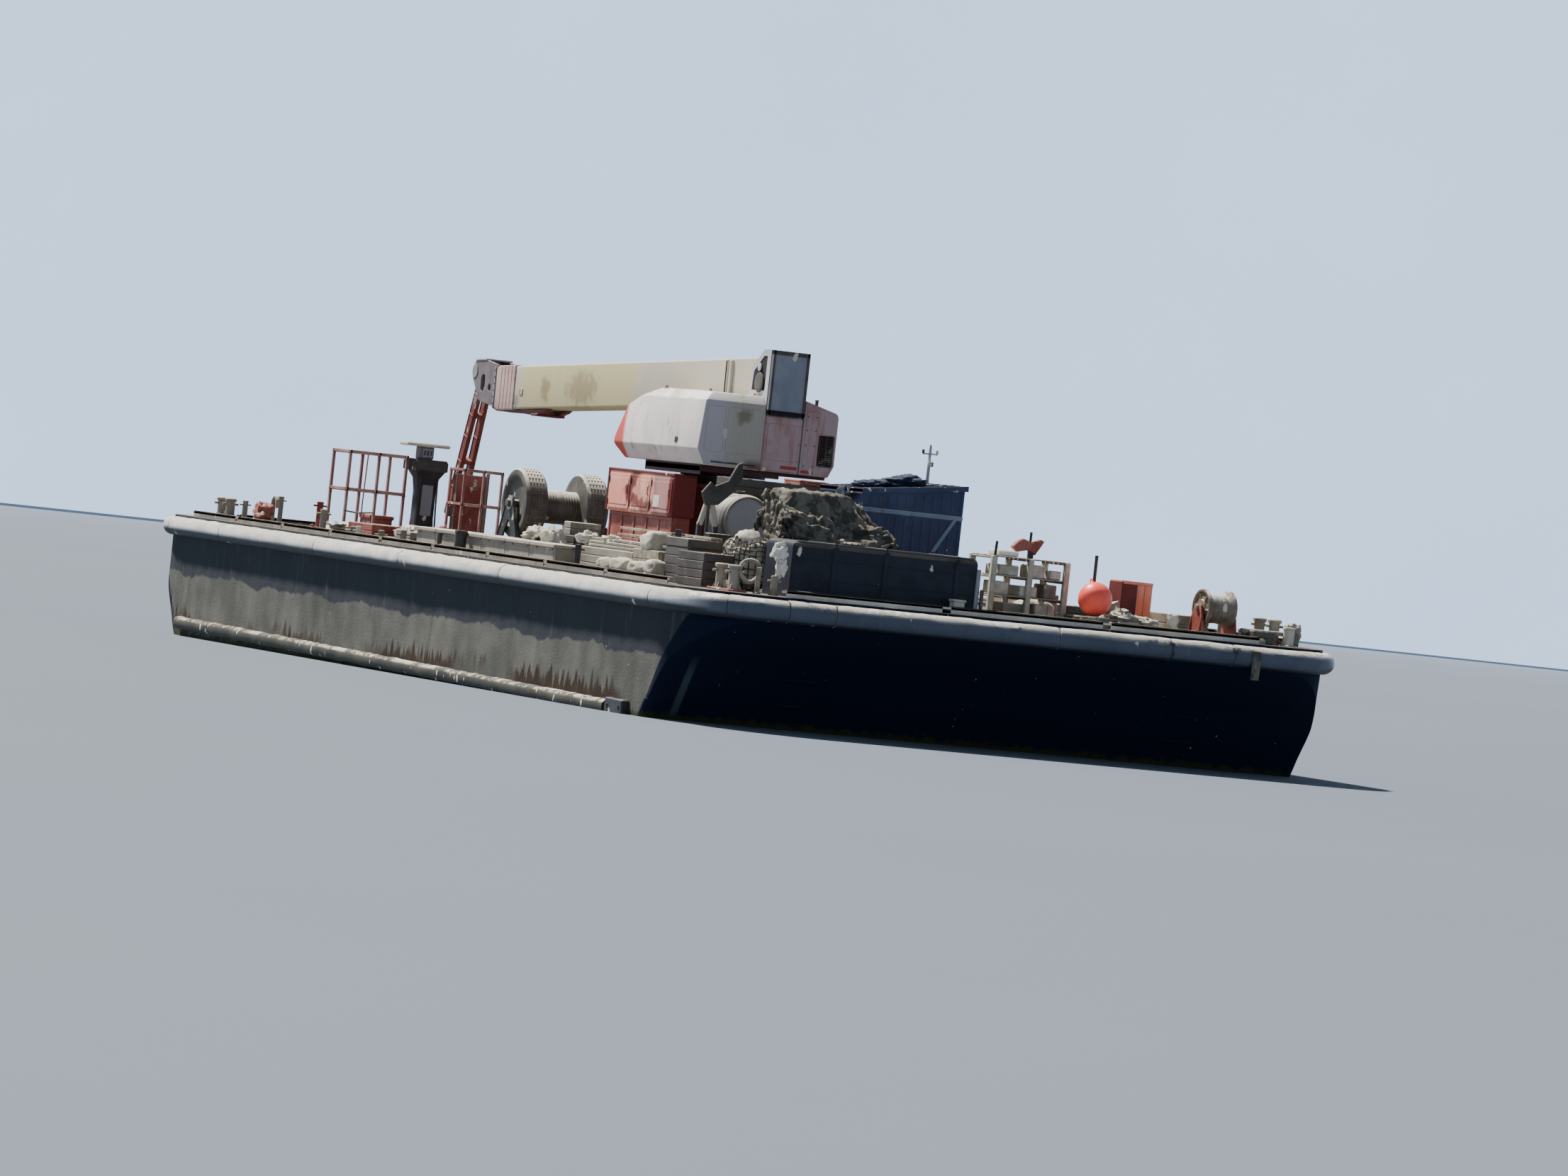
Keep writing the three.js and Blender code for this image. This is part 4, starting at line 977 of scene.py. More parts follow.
def pedestal():
    shape = Shape()
    x, y = SLEW.x, SLEW.y
    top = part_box("crane_pedestal")[1].z
    shape.turned([(0.82, DECK), (0.82, DECK + 0.05), (0.81, DECK + 0.06), (0.545, DECK + 0.06),
                  (0.54, DECK + 0.09), (0.54, 3.62), (0.548, 3.625), (0.548, 3.64), (0.54, 3.645),
                  (0.54, top - 0.13), (0.56, top - 0.08), (0.76, top - 0.06), (0.76, top)], (x, y,
                                                                                             0), "Z", 56)
    shape.bolts(ring_of((x, y, DECK + 0.06), 0.75, 24), "Z", 0.024, 0.03)
    for i in range(12):
        place = turn_about("Z", 30 * i + 15, (x, y, 0))
        for far, low, high in ((0.7, DECK + 0.055, DECK + 0.4), (0.73, top - 0.055, top - 0.36)):
            shape.prism([(x + 0.535, low), (x + far, low), (x + far, low + (high - low) * 0.15),
                         (x + 0.565, high), (x + 0.535, high)], "Y", y - 0.009, y + 0.009, place=place)
    hatch = turn_about("Z", -18, (x, y, 0))
    shape.prism(rectangle(y - 0.21, y + 0.21, 3.3, 3.95, 0.07), "X", x + 0.49, x + 0.562, 0.008, 1, hatch)
    shape.bolts([(x + 0.562, y + a * 0.175, 3.34 + b * 0.19) for a in (-1, 1) for b in range(4)], "X",
                0.014, 0.012, 1, hatch)
    for i, spread in enumerate((-0.1, -0.03, 0.05)):
        shape.tube([(x + 0.58, y, DECK + 0.06), (x + 0.575, y, 3.4), (x + 0.575, y, 4.1),
                    (x + 0.6 + spread, y, 4.4)],
                   0.02, 10, 2, turn_about("Z", 62 + 5 * i, (x, y, 0)))
    piece(shape, "pedestal_column", "brick rust rubber", "crane_pedestal")


def slewing_ring():
    shape = Shape()
    x, y = SLEW.x, SLEW.y
    low, high = (c.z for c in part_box("slewing_ring"))
    teeth = 84
    gear = []
    for i in range(teeth):
        for step, radius in ((0.0, 0.672), (0.2, 0.7), (0.5, 0.7), (0.7, 0.672)):
            a = TURN * (i + step) / teeth
            gear.append((x + radius * math.cos(a), y + radius * math.sin(a)))
    shape.prism(gear, "Z", low, high - 0.075, 0.002)
    shape.turned([(0.71, high - 0.075), (0.728, high - 0.06), (0.73, high - 0.01), (0.72, high)], (x, y, 0),
                 "Z", 64)
    piece(shape, "slewing_gear", "dark", "slewing_ring")


def machinery_box():
    """A sheet-metal chest on a narrower base, with framed doors on its long side."""
    shape = Shape()
    x0, x1, y0, y1, z0, z1 = -1.4, 1.5, -1.3, -0.87, 3.86, 4.6
    shape.box((x0, y0 + 0.012, z0), (x1, y1, z1 - 0.03), 0.018)
    shape.box((x0, y0, z1 - 0.05), (x1, y1, z1), 0.012, 3)
    shape.box((x0, y0, z0), (x0 + 0.06, y0 + 0.06, z1), 0.008, 3)
    for a, b in ((-1.31, -0.38), (-0.34, 0.52), (0.56, 1.45)):
        shape.prism(rectangle(a, b, z0 + 0.05, z1 - 0.09, 0.035), "Y", y0 - 0.002, y0 + 0.03, 0.006)
        shape.prism(rectangle(a + 0.07, b - 0.07, z0 + 0.12, z1 - 0.16, 0.03), "Y", y0 - 0.008, y0 + 0.02,
                    0.005)
        handle = ((y0 - 0.004, 4.18), (y0 - 0.03, 4.2), (y0 - 0.03, 4.32), (y0 - 0.004, 4.34))
        shape.tube([(b - 0.05, y, z) for y, z in handle], 0.008, 8, 2)
        for z in (z0 + 0.15, z1 - 0.2):
            shape.tube([(a + 0.015, y0 - 0.006, z - 0.05), (a + 0.015, y0 - 0.006, z + 0.05)], 0.012, 10, 2)
    for i in range(9):
        z = 4.0 + i * 0.05
        shape.prism([(y0 - 0.004, z), (y0 + 0.012, z + 0.035), (y0 + 0.012, z)], "X", -0.18, 0.36, mark=2)
    bx0, bx1, by0, by1 = -1.33, 1.43, -1.23, -0.9
    shape.box((bx0, by0 + 0.012, DECK), (bx1, by1, z0 + 0.01), 0.012, 1)
    for x in np.linspace(bx0 + 0.03, bx1 - 0.03, 6):
        shape.box((x - 0.03, by0 - 0.005, DECK), (x + 0.03, by0 + 0.03, z0), 0.006, 1)
    for z in (DECK + 0.035, 3.4, z0 - 0.035):
        shape.box((bx0, by0 - 0.003, z - 0.03), (bx1, by0 + 0.02, z + 0.03), 0.005, 1)
    shape.box((0.72, y0 - 0.012, 4.0), (0.98, y0 + 0.01, 4.2), 0.004, 5)
    piece(shape, "machinery_chest", "machinery brick dark dark_red crusted white",
          "machinery_box")


# Crane, revolving parts.


def platform():
    shape = Shape()
    (x0, _, z0), (x1, _, _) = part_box("crane_platform")
    top, lip, split, y0, y1 = 4.79, 4.625, 0.3, -1.15, 1.15
    under, shallow = top - 0.114, top - 0.05
    shape.box((x0, y0, top - 0.022), (x1, y1, top), 0.004)
    shape.box((x0, y0, lip), (x1, y0 + 0.024, top - 0.01), 0.004)
    shape.box((x0, y0, lip), (x0 + 0.024, split, top - 0.01), 0.004)
    for y, low in ((y0 + 0.035, under), (-0.55, under), (0.55, shallow), (y1 - 0.035, shallow)):
        shape.box((x0 + 0.01, y - 0.035, low), (x1 - 0.01, y + 0.035, top - 0.02), 0.006)
    for x in np.linspace(x0 + 0.035, x1 - 0.035, 6):
        shape.box((x - 0.035, y0 + 0.02, under), (x + 0.035, split, top - 0.02), 0.006)
        shape.box((x - 0.035, split - 0.01, shallow), (x + 0.035, y1 - 0.02, top - 0.02), 0.006)
    shape.turned([(0.6, z0), (0.715, z0), (0.72, z0 + 0.008), (0.72, z0 + 0.045), (0.6, top - 0.03)],
                 (SLEW.x, SLEW.y, 0), "Z", 56)
    x, y, z = LIFT_FOOT
    ear = [(x - 0.13, top - 0.01), (x + 0.13, top - 0.01), *arc(x, z, 0.12, 0, math.pi, 11)]
    for side in (-1, 1):
        middle = y + side * 0.15
        shape.prism(ear, "Y", middle - 0.024, middle + 0.024, 0.006)
        shape.turned([(0.075, 0.02), (0.075, 0.034), (0.066, 0.04)], (x, middle, z), "Y", 24,
                     place=turn_about("Z", 90 - side * 90, (x, middle, 0)))
    shape.turned([(0.04, -0.185), (0.045, -0.18), (0.045, 0.18), (0.04, 0.185)], LIFT_FOOT, "Y", 20, 1)
    piece(shape, "platform_frame", "sooty_red steel", "crane_platform", "crane_upper")


HOUSE = {"front": -1.37, "rear": 2.3, "side": 1.28, "top": 6.03, "foot": 4.7903}
BAY = (-0.1, 0.6)


def plate_on(shape, low, high, face, axis, proud=0.006, corner=0.03):
    """A raised panel of u0, v0 to u1, v1 on a face: proud of it and let in a little behind it."""
    shape.prism(rectangle(low[0], high[0], low[1], high[1], corner), axis, face - 0.012, face + proud,
                min(0.004, proud * 0.6))


def engine_hood():
    front, rear, side, top, foot = HOUSE.values()
    inner = BAY[0] - 0.01
    body, section, shape = Shape(), Shape(), Shape()
    body.prism([(-1.13, foot), (rear, foot), (rear, top - 0.15), (rear - 0.15, top), (-0.06, top),
                (-1.02, 5.7),
                (front, 5.15), (front, 4.99)], "Y", -side, inner)
    section.prism([(inner, foot), (-side + 0.14, foot), (-side, 5.05), (-side + 0.07, top - 0.15),
                   (-side + 0.23, top), (inner, top)], "X", front - 1, rear + 1)
    shape.take(carved(body, meets=[section], bevel=0.022, segments=3))
    shape.prism(rectangle(1.28, 1.4, 5.13, 5.22, 0.02), "Y", -side - 0.012, -side, 0.003, 1,
                turn_about("X", -4.8, (0, -side, 5.05)))
    for a, b in ((-0.05, 0.6), (0.66, 1.6)):
        shape.prism(rectangle(a, b, -0.98, -0.22, 0.04), "Z", top - 0.01, top + 0.012, 0.006)
    for x, y in ((0.02, -0.16), (0.02, -0.98), (1.9, -0.16), (1.9, -0.98)):
        shape.tube([(x + 0.045 * math.cos(a), y, top + 0.05 * math.sin(a)) for a in np.linspace(0, math.pi,
                                                                                                9)],
                   0.01, 8, 1)
    for a, b in ((-1.16, -0.84), (-0.78, -0.16)):
        plate_on(shape, (a, foot + 0.24), (b, top - 0.24), rear, "X", 0.005)
    shape.tube([(rear + 0.02, -1.02, 4.86), (rear + 0.02, -0.2, 4.86)], 0.012, 8, 1)
    piece(shape, "engine_hood_shell", "white dark", "engine_hood", "crane_upper")


def pump_housing():
    _, rear, _, top, foot = HOUSE.values()
    front, y0, y1 = -0.5, BAY[1] + 0.01, 1.245
    g0, g1, gz0, gz1 = 0.92, 1.205, 4.96, 5.5
    section = [(y0, foot), (y1 - 0.095, foot), (y1, foot + 0.2), *arc(y1 - 0.1, top - 0.235, 0.1, 0, 1.26, 8),
               (y0, top + 0.01)]
    body, recess, shape, slats = Shape(), Shape(), Shape(), Shape()
    body.prism(section, "X", front, rear)
    recess.prism(rectangle(g0, g1, gz0, gz1, 0.03), "X", rear - 0.04, rear + 0.1)
    shape.take(carved(body, [recess], bevel=0.016, segments=3, limit=35))
    plate_on(shape, (y0 + 0.04, foot + 0.1), (g0 - 0.05, top - 0.16), rear, "X", 0.005)
    shape.bolts([(rear + 0.005, y, z) for y in (y0 + 0.07, g0 - 0.08) for z in (4.95, 5.3, 5.55, 5.78)], "X",
                0.012, 0.008, 1)
    for a, b in ((-0.4, 0.45), (0.5, 1.35), (1.4, 2.22)):
        plate_on(shape, (a, foot + 0.24), (b, top - 0.26), y1, "Y")
    shape.box((rear - 0.004, 0.64, 4.83), (rear + 0.006, 0.86, 4.87), 0.002, 3)
    shape.turned([(0.055, 0), (0.055, 0.03), (0.03, 0.05), (0.03, 0.2), (0.036, 0.205), (0.036, 0.22),
                  (0.02, 0.22)],
                 (1.5, 1.17, top - 0.16), "Z", 20, 1)
    piece(shape, "pump_housing_shell", "pink dark rust red", "pump_housing", "crane_upper")
    slats.box((rear - 0.039, g0 + 0.012, gz0 + 0.012), (rear - 0.034, g1 - 0.012, gz1 - 0.012), mark=1)
    for i in range(15):
        z = gz0 + 0.035 + i * 0.032
        slats.prism([(rear - 0.034, z), (rear - 0.008, z - 0.012), (rear - 0.006, z - 0.008),
                     (rear - 0.03, z + 0.008)], "Y", g0 + 0.014, g1 - 0.014)
    for y in (g0 + 0.02, (g0 + g1) / 2, g1 - 0.02):
        slats.box((rear - 0.03, y - 0.006, gz0 + 0.02), (rear - 0.004, y + 0.006, gz1 - 0.02))
    piece(slats, "radiator_slats", "dark black", "radiator_grille", "crane_upper")


def counterweight():
    low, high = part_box("counterweight")
    shape = Shape()
    shape.box(low, (high.x, high.y, high.z - 0.012), 0.024)
    plate_on(shape, (low.y + 0.06, low.z + 0.2), (high.y - 0.06, high.z - 0.14), high.x, "X", 0.005, 0.05)
    shape.bolts([(high.x, y, z) for y in (low.y + 0.035, high.y - 0.035) for z in (5.0, 5.3, 5.6)], "X",
                0.018, 0.012)
    shape.box((high.x - 0.004, 0.26, 4.86), (high.x + 0.006, 0.56, 4.91), 0.002, 2)
    piece(shape, "counterweight_casting", "pink dark red", "counterweight", "crane_upper")


def bracket():
    foot = HOUSE["foot"]
    rear, top, plate, ledge = 2.3, 6.83, 0.04, 5.75
    near, far = BAY
    outline = [(0.7, foot), (2.2, foot), (2.2, ledge), (rear, ledge), (rear, top), (1.96, top), (1.52, 6.5),
               (1.48, 6.08), (0.7, 5.3)]
    window = [(1.58, 6.14), (2.12, 6.14), (2.12, 6.72), (1.98, 6.72), (1.62, 6.46)]
    shape = Shape()
    for y0, y1, face, out in ((near, near + plate, near, -1), (far - plate, far, far, 1)):
        cheek, holes = Shape(), Shape()
        cheek.prism(outline, "Y", y0, y1)
        for x in (1.35, 1.8):
            holes.prism(circle(x, 5.5, 0.12, 20), "Y", y0 - 0.1, y1 + 0.1)
        holes.prism(window, "Y", face - 0.012, face + 0.012)
        shape.take(carved(cheek, [holes]))
        # A black panel at the back of the shallow window recess: painted shade of an opening in the cheek.
        shape.prism(inset(window, 0.002), "Y", face - out * 0.012, face - out * 0.008, mark=3)
        for x, z, profile, sides, mark in (
                (1.9, 6.27, [(0.17, 0.0), (0.17, 0.012), (0.16, 0.02), (0.09, 0.022)], 32, 1),
                (1.86, 6.53, [(0.07, 0.0), (0.07, 0.01), (0.05, 0.016)], 24, 0)):
            shape.turned(profile, (x, face - out * 0.008, z), "Y", sides, mark,
                         turn_about("Z", 90 - out * 90, (x, face, 0)))
    shape.turned([(0.066, near - 0.005), (0.07, near), (0.07, far), (0.066, far + 0.005)], (1.9, 0, 6.27),
                 "Y", 24, 2)
    shape.box((0.7, near + 0.04, foot), (2.2, far - 0.04, foot + 0.03), 0.004, 1)
    shape.box((rear - plate, near, ledge), (rear - 0.004, far, top), 0.003, 4)
    for y0, y1, z0, z1, mark in ((near, near + 0.03, ledge, top, 0),
                                 (near + 0.03, near + 0.07, ledge, top, 1),
                                 (far - 0.045, far, ledge, top, 1), (near, far, top - 0.07, top, 1),
                                 (near, far, top - 0.02, top, 0), (near, far, ledge, ledge + 0.07, 3)):
        shape.box((rear - 0.008, y0, z0), (rear + (0.012 if mark else 0.008), y1, z1), 0.003, mark)
    piece(shape, "boom_bracket_plates", "bracket frame dark black slate", "boom_bracket",
          "crane_upper")


# Boom, drawn along -X from the luffing pin and then tipped to its resting slope.


BOOM = Matrix.Translation(LUFF_PIN) @ Matrix.Rotation(-BOOM_TILT, 4, "Y")
MID = (BOOM_LOW + BOOM_HIGH) / 2


def box_tube(shape, x0, x1, half, low, high, wall, corner):
    """A rectangular tube along X with rounded corners, open at both ends."""
    outer = rectangle(-half, half, low, high, corner)
    inner = rectangle(-half + wall, half - wall, low + wall, high - wall, max(corner - wall, 0.004))
    rings = ((outer, x0), (outer, x1), (inner, x1), (inner, x0))
    shape.skin([[(x, y, z) for y, z in outline] for outline, x in rings], loop=True)


def boom_main():
    shape = Shape(BOOM)
    half, low, high = 0.3, BOOM_LOW, BOOM_HIGH
    box_tube(shape, -BOOM_TIP, -1.55, half, low, high, 0.016, 0.035)
    shape.prism([(-1.5, low), (-0.2, low + 0.06), (0.16, low + 0.22), (0.21, 0.0), (0.18, 0.19), (-0.2, high),
                 (-1.5, high)], "Y", -0.236, 0.236, 0.01)
    for x0, grow in ((-1.62, 0.0), (-1.5, -0.012)):
        shape.box((x0, -half - grow, low - grow), (x0 + 0.1, half + grow, high + grow), 0.02)
    lug = [(-5.47, low + 0.01), (-5.17, low + 0.01), *arc(-5.31, low - 0.2, 0.13, 0, -math.pi, 11)]
    for side in (-1, 1):
        shape.prism(circle(0, 0, 0.17, 28), "Y", side * 0.23, side * 0.249, 0.004, 1)
        shape.prism(lug, "Y", side * 0.095 - 0.019, side * 0.095 + 0.019, 0.005, 1)
    eye = BOOM.inverted() @ LIFT_EYE
    shape.turned([(0.04, -0.135), (0.044, -0.13), (0.044, 0.13), (0.04, 0.135)], (eye.x, 0, eye.z), "Y", 18,
                 2)
    for x in (-2.2, -4.6, -7.0, -9.6):
        shape.box((x - 0.03, half - 0.005, MID + 0.1), (x + 0.03, half + 0.05, MID + 0.3), 0.004, 1)
    for z in (MID + 0.15, MID + 0.22):
        shape.tube([(x, half + 0.035, z) for x in (-1.8, -6, -11.0)], 0.015, 8, 2)
    shape.box((-11.0, -half - 0.012, MID - 0.15), (-10.86, -half + 0.01, MID - 0.03), 0.005, 1)
    shape.box((-11.25, -0.2, high - 0.005), (-10.7, 0.2, high + 0.016), 0.005)
    piece(shape, "boom_box", "cream rust dark", "boom_main", "boom")


def boom_collar():
    shape = Shape(BOOM)
    half, low, high = 0.305, BOOM_LOW, BOOM_HIGH
    box_tube(shape, -COLLAR_END + 0.08, -BOOM_TIP - 0.0003, half, low - 0.005, high + 0.005, 0.025, 0.04)
    for i in range(5):
        x = -BOOM_TIP - 0.13 - i * 0.17
        box_tube(shape, x, x + 0.135, half + 0.014, low - 0.02, high + 0.02, 0.05, 0.03)
        for side in (-1, 1):
            shape.bolts([(x + 0.1525, side * half, MID + z) for z in (-0.3, -0.15, 0.15, 0.3)], "Y", 0.013,
                        side * 0.012, 1)
    wedge = [(-12.02, -0.03), (-9.66, -0.002), (-9.8, -0.05), (-10.1, -0.1), (-10.4, -0.1), (-11.6, -0.06)]
    for y in (-0.2, 0.2):
        shape.prism([(x, low + z) for x, z in wedge], "Y", y - 0.05, y + 0.05, 0.006, 2)
    shape.box((-10.42, -0.28, low - 0.13), (-10.1, 0.28, low - 0.09), 0.008, 2)
    piece(shape, "boom_collar_ring", "collar dark dark_red", "boom_collar", "boom")


def boom_inner():
    shape = Shape(BOOM)
    half, tall = 0.26, 0.36
    box_tube(shape, -COLLAR_END - 0.06, -4.3, half, MID - tall, MID + tall, 0.014, 0.03)
    shape.box((-COLLAR_END - 0.06, -0.25, MID - 0.35), (-COLLAR_END - 0.03, 0.25, MID + 0.35), 0.004)
    for y in (-half, half):
        for z in (MID - 0.24, MID + 0.24):
            shape.tube([(x, y, z) for x in (-COLLAR_END, -8, -4.4)], 0.005, 6)
    piece(shape, "inner_boom_box", "grey", "boom_inner", "boom_extension")


def boom_head():
    shape = Shape(BOOM)
    pin = BOOM.inverted() @ JIB_PIN
    start, end, low, high = -COLLAR_END - 0.0603, -HEAD_END, BOOM_LOW, BOOM_HIGH
    outline = [(start, low + 0.04), (start, high + 0.04), (end + 0.5, high + 0.15), (end - 0.02, high + 0.15),
               (end - 0.12, pin.z + 0.06), (end - 0.12, pin.z - 0.12), (end + 0.25, low + 0.19)]
    for side in (-1, 1):
        y0, face = side * 0.198, side * 0.25
        cheek, holes = Shape(), Shape()
        cheek.prism(outline, "Y", y0, face)
        for hole in (rectangle(-13.17, -12.97, -0.02, 0.3, 0.08), circle(-12.72, 0.05, 0.07, 18)):
            holes.prism(hole, "Y", y0 - side * 0.1, face + side * 0.1)
        shape.take(carved(cheek, [holes], bevel=0.005, segments=1))
        shape.prism(circle(pin.x, pin.z, 0.13, 26), "Y", face - side * 0.01, face + side * 0.014, 0.004, 1)
        shape.box((start - 0.12, face, low + 0.06), (start - 0.05, face + side * 0.012, high), 0.004, 1)
        shape.bolts([(start - 0.085, face, z) for z in np.linspace(low + 0.12, high - 0.06, 6)], "Y", 0.014,
                    side * 0.022, 2)
    shape.prism([(start, low + 0.2), (end + 0.76, low + 0.2), (end + 0.19, high - 0.06),
                 (start, high - 0.06)],
                "Y", -0.2, 0.2, 0.008, 3)
    shape.box((end + 0.04, -0.262, high + 0.13), (end + 0.58, 0.262, high + 0.17), 0.01, 1)
    shape.turned([(0.04, -0.258), (0.045, -0.252), (0.045, 0.252), (0.04, 0.258)], (pin.x, 0, pin.z), "Y", 20,
                 2)
    for y in (-0.11, 0.11):
        shape.turned([(0.05, -0.03), (0.115, -0.03), (0.12, -0.02), (0.1, 0.0), (0.12, 0.02), (0.115, 0.03),
                      (0.05, 0.03)], (end + 0.4, y, high + 0.03), "Y", 28, 2)
    for x in (-13.4, -13.0):
        shape.tube([(x, -0.2, high + 0.1), (x, 0.2, high + 0.1)], 0.014, 10, 2)
    shape.prism([(start + 0.02, low + 0.06), (start - 0.3, low + 0.14), (start - 0.28, low + 0.04),
                 (start - 0.04, low - 0.02)], "Y", -0.19, 0.19, 0.008, 3)
    piece(shape, "boom_head_plates", "head grey dark dark_red", "boom_head", "boom_extension")


JIB = Matrix.Translation(JIB_PIN) @ Matrix.Rotation(math.atan2(JIB_PIN.x - JIB_FOOT.x,
                                                               JIB_PIN.z - JIB_FOOT.z), 4, "Y")
JIB_LENGTH = (JIB_PIN - JIB_FOOT).length


def jib():
    """Two spreading members with flanges, tied by rungs and cross plates."""
    shape = Shape(JIB)
    for side in (-1, 1):
        for x, half, grow in ((0.0, 0.09, 0.0), (0.1, 0.008, 0.01), (-0.1, 0.008, 0.01)):
            rings = []
            for t in (0.0, 1.0):
                a, b, z = 0.05 + 0.04 * t - grow, 0.11 + 0.045 * t + grow, 0.055 - t * (JIB_LENGTH + 0.05)
                rings.append([(u, side * v, z) for u, v in rectangle(x - half, x + half, a, b)])
            shape.skin(rings)
        for t in (0.16, 0.3, 0.45, 0.62, 0.8):
            z = -t * JIB_LENGTH
            shape.box((-0.108, side * (0.036 + 0.04 * t), z - 0.012),
                      (0.108, side * (0.124 + 0.045 * t), z + 0.012),
                      0.004, 1)
        shape.box((-0.11, side * 0.074, -JIB_LENGTH), (0.11, side * 0.17, -JIB_LENGTH + 0.22), 0.012, 2)
        shape.turned([(0.1, 0), (0.1, 0.02), (0.07, 0.03)], (0, 0, 0), "Y", 24, 2,
                     Matrix.Translation((0, side * 0.148, 0)) @ turn_about("Z", 90 - side * 90))
    shape.turned([(0.06, -0.15), (0.112, -0.148), (0.12, -0.14), (0.12, 0.14), (0.112, 0.148), (0.06, 0.15)],
                 (0, 0, 0), "Y", 30, 3)
    for t in (0.3, 0.62, 0.97):
        reach, z = 0.09 + t * 0.045, -JIB_LENGTH * t
        shape.box((-0.095, -reach, z - 0.04), (0.095, reach, z + 0.04), 0.01, 1)
        for x in (-0.095, 0.095):
            shape.bolts([(x, y, z) for y in (-reach * 0.7, 0, reach * 0.7)], "X", 0.016,
                        math.copysign(0.012, x), 2)
    piece(shape, "jib_members", "jib rust dark grey", "jib", "folding_jib")


def lift_cylinder():
    """Barrel and rod along -X from the foot's pin, then turned to the eye on the boom."""
    along = LIFT_EYE - LIFT_FOOT
    lean = Matrix.Translation(LIFT_FOOT) @ Matrix.Rotation(math.atan2(along.z, -along.x), 4, "Y")
    back = Matrix.Rotation(math.pi, 4, "Z")
    reach, end, radius = along.length, 3.15, 0.105
    barrel, rod = Shape(lean), Shape(lean)
    barrel.turned([(0.05, 0.06), (0.09, 0.07), (radius - 0.01, 0.12), (radius, 0.14), (radius, end - 0.15),
                   (radius + 0.016, end - 0.14), (radius + 0.018, end - 0.02), (radius + 0.008, end),
                   (0.068, end), (0.068, end - 0.1)], (0, 0, 0), "X", 32, place=back)
    barrel.turned([(0.05, -0.09), (0.09, -0.088), (0.095, -0.08), (0.095, 0.08), (0.09, 0.088), (0.05, 0.09)],
                  (0, 0, 0), "Y", 28)
    for x in (-0.32, -end + 0.3):
        barrel.box((x - 0.05, -0.05, radius - 0.02), (x + 0.05, 0.05, radius + 0.045), 0.008, 1)
    barrel.tube([(-0.32, 0.0, radius + 0.03), (-0.5, 0.0, radius + 0.035), (-1.5, 0.0, radius + 0.03),
                 (-end + 0.35, 0.0, radius + 0.03)], 0.012, 8, 1)
    piece(barrel, "lift_barrel_tube", "grey dark", "lift_barrel", "lift_barrel_body")
    rod.turned([(0.056, 0.34), (0.062, 0.35), (0.062, reach - 0.1), (0.05, reach - 0.06)], (0, 0, 0), "X", 28,
               place=back)
    rod.turned([(0.05, -0.065), (0.085, -0.064), (0.09, -0.058), (0.09, 0.058), (0.085, 0.064),
                (0.05, 0.065)],
               (-reach, 0, 0), "Y", 28, 1)
    piece(rod, "lift_rod_bar", "steel grey", "lift_rod", "lift_rod_body")


# Deck gear.


